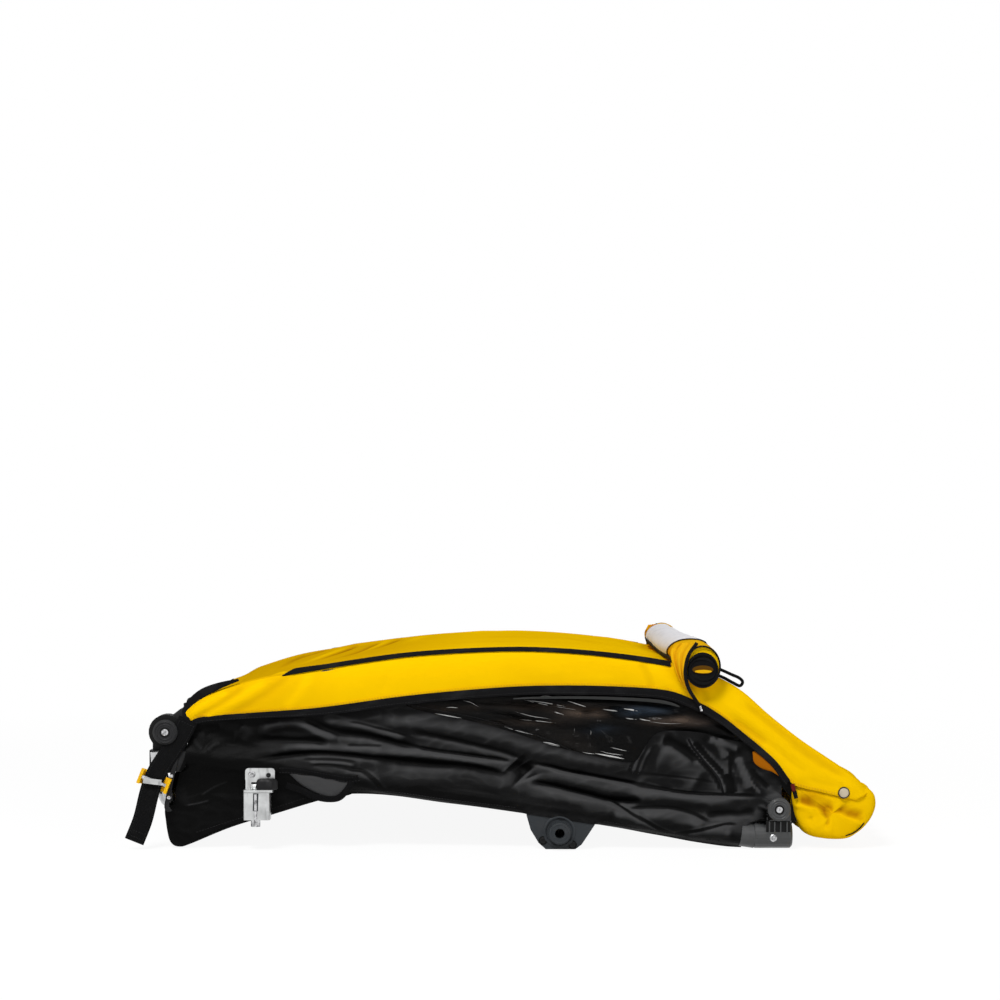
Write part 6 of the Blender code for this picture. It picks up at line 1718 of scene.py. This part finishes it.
# Bound free edge of the cover on the roll's front: distance from the middle plane, angle round the roll
ROLL_EDGE = ((0.338, 150), (0.330, 172), (0.28, 186), (0.15, 196), (0.0, 203), (-0.12, 207), (-0.20, 212))


def pale_near(turn):
    """The pale panel's near edge at each angle: it slants across the roll's front."""
    return PALE_FROM + np.clip((turn - math.radians(90)) / math.radians(115), 0, 1) * PALE_SLANT


def pale_area():
    """The blank pale panel on the roll's top and front, sewn into the cover."""
    run = np.linspace(0, 1, 90)[:, None]
    back = np.radians(PALE_BACK[0] + (PALE_BACK[1] - PALE_BACK[0]) * run)
    turn = back + (math.radians(205) - back) * np.linspace(0, 1, 40)[None, :]
    y = pale_near(turn) * (1 - run) + PALE_TO * run
    panel = sheet("cover_roll_pale_panel", roll_surface(y, turn, 0.9 * MM), PALE_PANEL, 0.8 * MM)
    arc = np.linspace(math.radians(140), math.radians(250), 60)
    path = roll_surface(np.full(60, ROLL_REACH - 8 * MM), arc, 1.0 * MM)
    far = tape("cover_roll_far_binding", path, (0, 1, 0), 11 * MM, 2.4 * MM, BINDING)
    near = np.linspace(math.radians(55), math.radians(200), 60)
    path = roll_surface(pale_near(near) - 1 * MM, near, 1.3 * MM)
    seam = tube("pale_panel_seam", path, 0.7 * MM, BLACK_THREAD, 8)
    run = smooth(ROLL_EDGE, 60)
    path = roll_surface(run[:, 0], np.radians(run[:, 1]), 1.6 * MM)
    edge = tape("cover_roll_edge_binding", path, (-0.35, 0, 1), 7 * MM, 2.0 * MM, BINDING)
    return [panel, far, seam, edge]


# Tail of the cover below the roll's left end: its left and right edges, X, distance out and height in mm
TAIL_LEFT = ((219, 318, 258), (214, 333, 244), (220, 337, 222), (230, 335, 203), (245, 331, 186))
TAIL_RIGHT = (
    (246, 341, 259), (235, 345, 243), (231, 345.5, 222), (235, 342, 204), (243, 337, 190), (250, 332, 180),
)
FAR_TAIL_SHIFT = 12 * MM


def cover_tail(side, word):
    """The end of the cover that wraps the panel below the roll, with a bound edge and a small metal tip."""
    left, right = curve(TAIL_LEFT, 60), curve(TAIL_RIGHT, 60)
    v = np.linspace(0, 1, 26)[None, :]
    grid = left[:, None] * (1 - v[..., None]) + right[:, None] * v[..., None]
    wave = np.sin(v * 15.0 + 0.6)
    down = np.linspace(0, 1, 60)[:, None]
    out = grid[..., 1] + 2.2 * MM * wave * ease(1 - down, 0, 0.5) * (1 - v**4)
    out = np.clip(out, 0.3298, ROLL_REACH - 0.6 * MM)
    free = ease(down, 0, 0.18)
    grid[..., 1] = side * (out * free + np.minimum(out, 0.335) * (1 - free))
    if side > 0:
        grid[..., 0] += FAR_TAIL_SHIFT * (1 - v)
    flap = sheet(f"cover_tail_{word}", grid, ROLL_CLOTH, CLOTH)
    # Painted shade in the troughs of the tail's waves
    paint_light(flap, -0.5 * ease(-wave, 0.1, 1) + 0 * grid[..., 0])
    edge = right * (1, side, 1)
    bound = tape(f"cover_tail_binding_{word}", edge, (1, 0, 0.1), 4.6 * MM, 2.8 * MM, BINDING)
    tip = edge[-1] + np.array(((0.2, side * 0.3, 0.5), (2.6, side * 0.6, -6.5))) * MM
    metal = tape(f"cover_tail_tip_{word}", evenly(tip, 6), (1, 0, 0.3), 2.6 * MM, 1.3 * MM, CHROME)
    return [flap, bound, metal]


def cover_roll():
    parts = [roll_body()]
    for side, word in SIDES:
        parts += roll_spiral(side, word)
        parts += cover_tail(side, word)
    parts += pale_area()
    roll = gather("cover_roll_wound", parts)
    place(roll, "hoop", "yellow_cloth", ["cover_roll"])


cover_roll()


# Footwell, floor, seat

TUB_SECTION = (
    (-402, 99), (-416, 84), (-420, 50), (-417, 20), (-412, 6), (-402, 2.2), (-388, 6.2), (-337, 27),
    (-281, 44), (-224, 61), (-190, 67), (-182, 74), (-180, 88), (-179, 98),
)


def footwell_tub():
    """Reinforced footwell: front wall, sloping bottom and back wall in one sheet, hung from the rails."""
    section = curve(TUB_SECTION, 130)
    y = np.linspace(-0.3122, 0.3122, 120) + 0 * section[:, :1]
    x, z = section[:, :1] + 0 * y, section[:, 1:] + 0 * y
    inner = 1 - ease(np.abs(y), 0.27, 0.31)
    normal = edge_normal(section)
    dent = ripple(lay(x, y, z), (0.09, 0.12, 0.05), 1.0) * 3.0 * MM * inner
    dent = np.abs(dent + ripple(lay(x, y, z), (0.03, 0.04, 0.02), 1.0) * 0.8 * MM * inner)
    grid = lay(x + normal[:, :1] * dent, y, z + normal[:, 1:] * dent)
    tub = sheet("footwell_tub", grid, BLACK_CLOTH, 1.6 * MM)
    # A faint painted sheen all over the tub
    paint_light(tub, 0.07 + 0 * grid[..., 0])
    place(tub, "root", "black_cloth", ["footwell"])
    lines = [grid[row, 4:-4] - stood(normal[row]) * 1.1 * MM for row in (22, 40, 118)]
    place(stitches("footwell_stitches", lines), "root", "black_cloth")


def node_grid(node, rows, columns):
    """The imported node's box, and a level grid of X and Y over it."""
    low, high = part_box(node)
    along, across = np.linspace(low.x, high.x, rows), np.linspace(low.y, high.y, columns)
    return low, high, *np.meshgrid(along, across, indexing="ij")


def floor_sheet():
    low, high, x, y = node_grid("floor_sheet", 110, 90)
    line = np.interp(x, (low.x, high.x), (high.z - 2 * MM, low.z + 1.5 * MM))
    inner = 1 - ease(np.abs(y), 0.2, 0.29)
    z = line + (ripple(lay(x, y, 0), (0.12, 0.07, 1)) * 2.2 - 1.5) * MM * inner
    floor = sheet("floor_sheet_cloth", lay(x, y, z), LINING, 1.2 * MM)
    place(floor, "root", "black_cloth", ["floor_sheet"])
    for k, row in enumerate((27, 81)):
        line = lay(x[row], y[row], z[row] - 1.1 * MM)
        strap = tape(f"floor_strap_{k + 1}", line, (1, 0, -0.145), 25 * MM, 1.4 * MM, WEBBING)
        place(strap, "root", "black_webbing")


SEAT_GRID = (96, 150)
CHANNEL_WIDTH, CHANNEL_DEPTH = 6 * MM, 6 * MM


def seat():
    """A crowned pad with piped edges and one sewn channel, on a slope that falls to the rear."""
    low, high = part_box("seat_cushion")
    rows, columns = SEAT_GRID
    u, v = np.meshgrid(np.linspace(-1, 1, rows), np.linspace(-1, 1, columns), indexing="ij")
    half_x, half_y = (high.x - low.x) / 2, (high.y - low.y) / 2
    x = (low.x + high.x) / 2 + half_x * u * (1 - 0.022 * (1 - v**2) * ease(np.abs(u), 0.8, 1))
    y = half_y * v * (1 - 0.012 * (1 - u**2) * ease(np.abs(v), 0.8, 1))
    crown = (1 - np.abs(u) ** 3.2) ** 0.45 * (1 - np.abs(v) ** 5) ** 0.4
    channel = np.exp(-((v * half_y / CHANNEL_WIDTH) ** 2))
    soft = ripple(lay(x, y, 0), (0.05, 0.06, 1), 4.0)
    tilt = -RAIL_SLOPE
    thick = high.z - low.z - abs(tilt) * (high.x - low.x)
    floor = high.z - tilt * (x - low.x) - thick
    top = floor + thick * (0.45 + 0.55 * crown) - CHANNEL_DEPTH * channel * crown + soft * 1.2 * MM
    base = floor + thick * (0.45 - 0.40 * crown)
    points = np.concatenate([lay(x, y, top).reshape(-1, 3), lay(x, y, base).reshape(-1, 3)])
    uv = np.tile(cloth_uv(lay(x, y, top)), (2, 1))
    pad = piece_from("seat_pad", points, doubled_faces(rows, columns), LINING, uv)
    place(pad, "root", "black_cloth", ["seat_cushion"])
    outline = lay(x, y, (top + base) / 2)
    rim = np.array([outline[i, j] for i, j in rim_of(rows, columns)[::2]] + [outline[0, 0]])
    place(tube("seat_pad_piping", rim, 2.0 * MM, BINDING, 8), "root", "black_webbing")


def seat_back():
    """Seat-back sling between the uprights, with four webbing tapes sewn along it."""
    low, high, x, y = node_grid("seat_back", 120, 100)
    slope = (low.z - high.z + 5 * MM) / (high.x - low.x)
    line = high.z - 2.5 * MM + slope * (x - low.x)
    inner = 1 - (y / high.y) ** 2
    z = line - 6 * MM * inner * np.sin(np.linspace(0, math.pi, 120))[:, None]
    z = z + ripple(lay(x, y, 0), (0.1, 0.06, 1), 6.0) * 2.0 * MM * inner
    sling = sheet("seat_back_sling", lay(x, y, z), LINING, 1.4 * MM)
    place(sling, "rear_frame", "black_cloth", ["seat_back"])
    tapes = []
    for k, at in enumerate((-0.19, -0.08, 0.08, 0.19)):
        column = int(round((at / high.y + 1) / 2 * 99))
        path = lay(x, y, z + 1.4 * MM)[8:96, column]
        tapes.append(tape(f"seat_back_tape_{k + 1}", path, (0, 1, 0), 25 * MM, 1.5 * MM, WEBBING))
    place(gather("seat_back_tapes", tapes), "rear_frame", "black_webbing")


footwell_tub()
floor_sheet()
seat()
seat_back()


# Folding strap, tow-arm pocket, reinforcing strips and small fittings

# Strap's route: behind the front hinge, outside the body, height, in mm
STRAP_ROUTE = (
    (29, 2.6, 163), (22, 2.6, 148), (9.5, 2.8, 127), (-6.5, 4.5, 103), (-14.5, 4.7, 87),
    (-20.5, 4.6, 68), (-28, 3.6, 38), (-39, 2.4, 10),
)
STRAP_WIDTH, STRAP_THICKNESS = 0.025, 0.0016


def folding_strap():
    route = [(FRONT.x + dx * MM, -HALF_WIDTH - off * MM, z * MM) for dx, off, z in STRAP_ROUTE]
    path = smooth(route, 90)
    tangent = unit(np.gradient(path, axis=0))
    across = unit(np.cross(tangent, (0, 1, 0)))
    curl = np.sin(np.linspace(0, 2 * math.pi, 90))[:, None] * (0, 0.06, 0)
    strap = tape("folding_strap_webbing", path, across + curl, STRAP_WIDTH, STRAP_THICKNESS, WEBBING)
    place(strap, "root", "black_webbing", ["folding_strap"])
    outside = path - (0, 0.9 * MM, 0)
    lines = [outside[4:-4] + across[4:-4] * inset * MM for inset in (-9.5, 9.5)]
    span = np.linspace(-9.5, 9.5, 12)[:, None] * MM
    lines += [outside[row] + across[row] * span for row in (3, 82, 86)]
    sizes = {"Pitch": 0.0034, "Thread": 0.0006}
    place(stitches("strap_stitches", lines, BLACK_STITCHES, sizes), "root", "black_webbing")


folding_strap()


# Tow-arm pocket, in mm: its webbing mouth, its cloth face and the strap across it
POCKET_FACE = (
    (-266, 97.5), (-240, 94), (-211, 90), (-186, 87), (-190, 76), (-203, 66), (-212, 64.5), (-224, 69),
    (-246, 80),
)
POCKET_RIM = ((-274, 99.5), (-258, 99), (-238, 96), (-212, 91.5), (-190, 88), (-176, 89.5))
POCKET_STRAP = ((-266, 81), (-248, 74.5), (-230, 66.5), (-214, 63.5), (-200, 65.5), (-190, 76), (-184, 86))
POCKET_OUT = 330.2 * MM
# Shares by which the pocket's outline is drawn in, and how far the cloth swells there, in mm
POCKET_SWELL = ((1.0, 0.0), (0.985, 1.2), (0.95, 2.0), (0.85, 2.6), (0.65, 3.0), (0.4, 3.0), (0.15, 2.9))


def swollen(outline, swell, count, out, back, wrinkle=0.0):
    """Rings of a cloth lump on the side, from an outline in mm: X, distance out and height."""
    face = smooth((*outline, outline[0]), count + 1)[:-1] * MM
    share, rise = np.array(swell).T
    rise = rise[:, None] * MM
    x, z = drawn_in(face, face.mean(axis=0), share)
    front = out + rise + 0 * x
    if wrinkle:
        front = front + crumple(x, z, 0.016, 0.01, 2.0) * wrinkle * (rise > 0)
    return np.concatenate([[lay(x[0], back, z[0])], lay(x, front, z)])


def tow_pocket():
    rings = swollen(POCKET_FACE, POCKET_SWELL, 80, POCKET_OUT, POCKET_OUT - 1.2 * MM, 1.2 * MM) * (1, -1, 1)
    points = rings.reshape(-1, 3)
    pocket = rings_piece("tow_pocket_face", rings, BLACK_CLOTH, points[:, ::2])
    # The face is painted lighter all over, in the colour of the folds' painted highlight
    paint_light(pocket, np.ones(len(points)), 1)
    rim = curve(POCKET_RIM, 50)
    line = stood(rim, -POCKET_OUT - 2.2 * MM)
    mouth = tape("tow_pocket_mouth", line, (0.14, -0.25, 1), 9 * MM, 2.6 * MM, WEBBING)
    low = curve(POCKET_STRAP, 60)
    line = stood(low, -POCKET_OUT - 3.0 * MM)
    strap = tape("tow_pocket_strap", line, stood(edge_normal(low), -0.2), 8 * MM, 2.2 * MM, WEBBING)
    place(gather("tow_pocket_sewn", [pocket, mouth, strap]), "root", "black_cloth", ["tow_pocket"])
    rows = [rim + edge_normal(rim) * inset * MM for inset in (-2.6, 2.6)]
    lines = [stood(row, -POCKET_OUT - 3.9 * MM) for row in rows]
    place(stitches("tow_pocket_stitches", lines), "root", "black_cloth")


tow_pocket()

# Black strip that stiffens the footwell's front edge beside the bumper leg: X and height in mm
FRONT_STRIP = ((-404, 118), (-407, 104), (-411, 86), (-414, 68), (-416.5, 54), (-414.5, 49.5), (-411.5, 51))
FRONT_STRIP_SCREWS = ((-410.3, 92), (-413.6, 65))


def front_strips(side, word):
    route = curve(FRONT_STRIP, 40)
    line = stood(route, side * 328.2 * MM)
    across = stood(edge_normal(route))
    strip = tape(f"front_strip_{word}", line, across, 6 * MM, 2.4 * MM, BLACK_PLASTIC)
    place(strip, "root", "black_plastic")
    places = stood(np.array(FRONT_STRIP_SCREWS) * MM, side * 329.4 * MM)
    screws(f"front_strip_screws_{word}", places, (0, side, 0), 2.3 * MM, 1.4 * MM, "root")


def ring(name, centre, outline, look, side, count=56):
    """A closed ring turned about an axis along Y, from an outline of (radius, distance out) in mm."""
    turn = np.linspace(0, 2 * math.pi, count, endpoint=False)
    cx, cy, cz = centre
    radius, out = np.array(outline).T[..., None] * MM
    grid = lay(cx + radius * np.cos(turn), cy + side * out, cz + radius * np.sin(turn))
    faces = grid_faces(len(grid), count, looped=True)
    last = (len(grid) - 1) * count
    for j in range(count):
        k = (j + 1) % count
        faces.append((last + j, last + k, k, j))
    return piece_from(name, grid.reshape(-1, 3), faces, look)


def hinge_cover(side, word, kind, hinge, disc, head, plastic):
    """Concentric relief on a hinge's cover disc of a radius, and the bright screw of radius head in it."""
    low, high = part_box(f"{kind}_hinge_bolt_{word}")
    face = max(abs(low.y), abs(high.y))
    centre = (hinge.x, side * face, hinge.z)
    parts = []
    # The ring round the screw is painted near-black as shade
    rings = ((disc * 0.88, 0.7, plastic), (disc * 0.66, 0.5, plastic), (head + 1.8, 0.9, SHADE_BLACK))
    for k, (radius, rise, look) in enumerate(rings):
        outline = [
            (radius - 1.6, -0.2), (radius - 1.4, 0.5 * rise), (radius - 1.0, rise),
            (radius - 0.2, rise), (radius + 0.2, 0.5 * rise), (radius + 0.4, -0.2),
        ]
        parts.append(ring(f"{kind}_disc_ring_{word}_{k}", centre, outline, look, side))
    place(gather(f"{kind}_disc_rings_{word}", parts), "root", "black_plastic")
    at = [(hinge.x, side * (face - 0.1 * MM), hinge.z)]
    screws(f"{kind}_disc_screw_{word}", at, (0, side, 0), head * MM, 2.0 * MM, "root")


SLEEVE_SCREW = (342.5, 14.4)
RECEIVER_BOLTS = ((54.5, 11.0), (91.5, 5.6))
RECEIVER_FACE = 326 * MM
# Middle of the axle receiver's bore: X and height
BORE_AT = (75 * MM, 21.9 * MM)
TOW_BOLT = (-309.5, 94.5)
# Outlines of rings: radius and distance out, in mm
BOSS_LIP = ((10.8, -1.0), (10.8, 0.2), (11.2, 0.4), (12.2, 0.4), (12.8, 0.1), (12.8, -1.0))
BOSS_BASE = ((16.5, -0.3), (16.5, 0.9), (17.2, 1.4), (19.4, 1.4), (20.2, 0.8), (20.2, -0.3))
BOLT_RIM = ((4.7, -0.2), (4.8, 0.9), (5.2, 0.9), (5.5, -0.2))
SNAP_RIM = ((6.0, -1.5), (6.0, 0.3), (7.2, 0.3), (7.4, -1.5))
HOLE_PLUG = ((0.2, 0.0), (0.2, 0.35), (2.9, 0.35), (3.1, 0.0))


def small_fittings(side, word):
    facing = (0, side, 0)
    hinge_cover(side, word, "front", FRONT, 15.2, 4.2, DISC_PLASTIC)
    hinge_cover(side, word, "rear", REAR, 14.0, 3.9, LIT_REAR_PLASTIC)
    at = stood(np.array([SLEEVE_SCREW]) * MM, side * 329.6 * MM)
    screws(f"sleeve_screw_{word}", at, facing, 4.4 * MM, 1.8 * MM, "root")
    low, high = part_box(f"axle_receiver_{word}")
    centre = stood(np.array(BORE_AT), high.y if side > 0 else low.y)
    place(ring(f"axle_boss_lip_{word}", centre, BOSS_LIP, DARK_PLASTIC, side), "root", "grey_plastic")
    centre = stood(np.array(BORE_AT), side * RECEIVER_FACE)
    place(ring(f"axle_boss_base_{word}", centre, BOSS_BASE, DARK_PLASTIC, side), "root", "grey_plastic")
    places = stood(np.array(RECEIVER_BOLTS) * MM, side * RECEIVER_FACE)
    parts = []
    # Rims round the bolts, painted near-black as shade
    for k, at in enumerate(places):
        parts.append(ring(f"receiver_bolt_rim_{word}_{k + 1}", at, BOLT_RIM, SHADE_BLACK, side, 32))
    place(gather(f"receiver_bolt_rims_{word}", parts), "root", "grey_plastic")
    places = places - (0, side * 1.2 * MM, 0)
    sizes = {"Radius": 4.8 * MM, "Height": 2.2 * MM}
    heads = run_tree(f"receiver_bolts_{word}", places, [], BOLTS, sizes, [facing] * 2)
    place(heads, "root", "grey_plastic")


BOLTS = screw_tree(BLACK_PLASTIC)
for side, word in SIDES:
    front_strips(side, word)
    small_fittings(side, word)
BRACKET_FACE = -330.2 * MM
bolt_at = stood(np.array([TOW_BOLT]) * MM, BRACKET_FACE)
screws("tow_bracket_bolt", bolt_at, (0, -1, 0), 4.4 * MM, 2.4 * MM, "root")

# Inner yellow cloth, painted orange-brown for the shade it lies in, that shows between the side cloth and
# the panel's binding: X and height in mm
INNER_PATCH = ((317, 122), (326, 123.5), (340, 112), (355, 96), (352, 91), (341, 97), (329, 101), (319, 109))
PATCH_SWELL = ((1.0, 0.0), (0.9, 0.7), (0.7, 1.3), (0.45, 1.6), (0.2, 1.7))
TOW_FACE = -0.3455
TOW_PIN = ((-303.5, 33), (-303.5, 71))
TOW_SLOT = ((-303.7, 50), (-303.2, 72))
TOW_HOLE = (-288.9, 93.1)
# Radius and height of the grip's and the ring nut's steps, in mm, and how much wider the grip is than deep
GRIP_STEPS = ((6.8, 75.8), (7.7, 77), (7.9, 80), (7.7, 85.6), (6.9, 88.6), (4.6, 89.8))
GRIP_WIDE = 1.7
NUT_STEPS = ((5.8, 76.1), (6.7, 76.8), (6.9, 78.8), (6.6, 81.6), (5.4, 82.4))
# Bright plate across the buckle's bar: its two ends, and its height and distance out
BUCKLE_PLATE = ((-444.3, 87.6), (-421.6, 84.8))
PLATE_TALL, PLATE_OUT = 7.6 * MM, 338.2 * MM
TAB_AT = (366.5, 77)
# Ribs on the rear fitting's neck: X of each and the heights they run between, in mm
NECK_RIBS = (337.5, 344, 351.5, 359.5)
RIB_LOW, RIB_HIGH = 22, 35
# Near-black tape painted as the shade in the neck behind the ribs: start and end X, height and width in mm
NECK_SHADE = (333.5, 364, 29, 14)
# Collar of the rear fitting where the rail enters it: its X range, and how far it stands off the rail
COLLAR = (303 * MM, 321 * MM)
COLLAR_WALL = 2.1 * MM
SNAP_MIDDLE = (430.8, 71.1)


def inner_patch(side, word):
    """Inner lining cloth of the cabin, painted orange-brown as yellow cloth in shade, seen beside the rear
    binding.
    """
    rings = swollen(INNER_PATCH, PATCH_SWELL, 60, 0.3262, 0.3250) * (1, side, 1)
    patch = rings_piece(f"inner_patch_{word}", rings, SHADED_INNER_CLOTH, rings.reshape(-1, 3)[:, ::2])
    place(patch, "hoop", "yellow_cloth")


def straight(start, stop, y, count=6):
    """Points of a straight line between two places given as X and height in mm, at one Y."""
    return evenly(stood(np.array([start, stop]) * MM, y), count)


def rear_tab(side, word):
    """Small red and black tape ends where the rear binding stops."""
    x, z = TAB_AT
    parts = []
    for k, (dx, dz, look) in enumerate(((0, 5, RED_TAB), (2.5, -4, BINDING))):
        ends = np.array(((x + dx, side * 329.2, z + dz), (x + dx + 2, side * 329.4, z + dz - 9))) * MM
        parts.append(tape(f"rear_tab_{word}_{k + 1}", evenly(ends, 6), (1, 0, 0.2), 5 * MM, 1.8 * MM, look))
    place(gather(f"rear_tab_{word}", parts), "hoop", "black_webbing")


def neck_ribs(side, word):
    """Ribs over a near-black tape painted as the shade in the rear fitting's neck, and the collar round the
    rail beside it.
    """
    start, stop, height, tall = NECK_SHADE
    line = straight((start, height), (stop, height), side * 330.2 * MM)
    shade_tape = tape(f"neck_shade_{word}", line, (0, 0, 1), tall * MM, 0.9 * MM, SHADE_BLACK)
    place(shade_tape, "root", "black_plastic")
    axis = np.array([(x, side * -RAIL_Y, rail_height(x)) for x in COLLAR])
    radius = (RAIL_HIGH.y - RAIL_LOW.y) / 2 + COLLAR_WALL
    place(tube(f"rail_collar_{word}", evenly(axis, 6), radius, LIT_REAR_PLASTIC, 40), "root", "black_plastic")
    centre = stood(np.array(SNAP_MIDDLE) * MM, side * 330.5 * MM)
    place(ring(f"snap_rim_{word}", centre, SNAP_RIM, BLACK_PLASTIC, side, 32), "hoop", "black_plastic")
    parts = []
    for k, x in enumerate(NECK_RIBS):
        line = straight((x, RIB_LOW), (x, RIB_HIGH), side * 331.2 * MM)
        parts.append(tape(f"neck_rib_{word}_{k + 1}", line, (1, 0, 0), 1.8 * MM, 2.0 * MM, LIT_REAR_PLASTIC))
    place(gather(f"neck_ribs_{word}", parts), "root", "black_plastic")


def lobed(name, centre, steps, lobes, depth, wide, look):
    """A grip turned about Z from (radius, height) steps in mm, with lobes, drawn out along X by wide."""
    turn = np.linspace(0, 2 * math.pi, 97)[:-1]
    radius, height = np.array(steps).T[..., None] * MM
    reach = radius * (1 + depth * np.cos(lobes * turn))
    grid = lay(centre[0] + wide * reach * np.cos(turn), centre[1] + reach * np.sin(turn), height)
    return rings_piece(name, grid, look)


def tow_details():
    """Grip and ring nut over the tow receiver, the pin down its middle, and the bracket's free hole."""
    grip = lobed("tow_knob_grip", HINGES["tow_knob_turn"], GRIP_STEPS, 5, 0.07, GRIP_WIDE, BLACK_PLASTIC)
    place(grip, "tow_knob", "black_plastic", ["tow_knob"])
    nut = lobed("tow_ring_nut", HINGES["tow_receiver_swivel"], NUT_STEPS, 16, 0.045, 1.0, TOW_METAL)
    place(nut, "root", "bright_steel")
    pin = tube("tow_receiver_pin_face", straight(*TOW_PIN, TOW_FACE, 10), 2.0 * MM, CHROME, 14)
    place(pin, "tow_receiver", "bright_steel")
    line = straight(*TOW_SLOT, TOW_FACE + 0.5 * MM)
    dark = tape("tow_receiver_slot", line, (1, 0, 0), 6.6 * MM, 1.4 * MM, DARK_PLASTIC)
    place(dark, "tow_receiver", "grey_plastic")
    centre = stood(np.array(TOW_HOLE) * MM, BRACKET_FACE)
    place(ring("tow_bracket_hole_plug", centre, HOLE_PLUG, BLACK_PLASTIC, -1, 32), "root", "black_plastic")


for side, word in SIDES:
    inner_patch(side, word)
    rear_tab(side, word)
    neck_ribs(side, word)
tow_details()


def buckle_plate():
    line = straight(*BUCKLE_PLATE, -PLATE_OUT, 8)
    bar = tape("buckle_bar_plate", line, (0, -0.25, 1), PLATE_TALL, 1.6 * MM, TOW_METAL)
    place(bar, "root", "bright_steel")


buckle_plate()
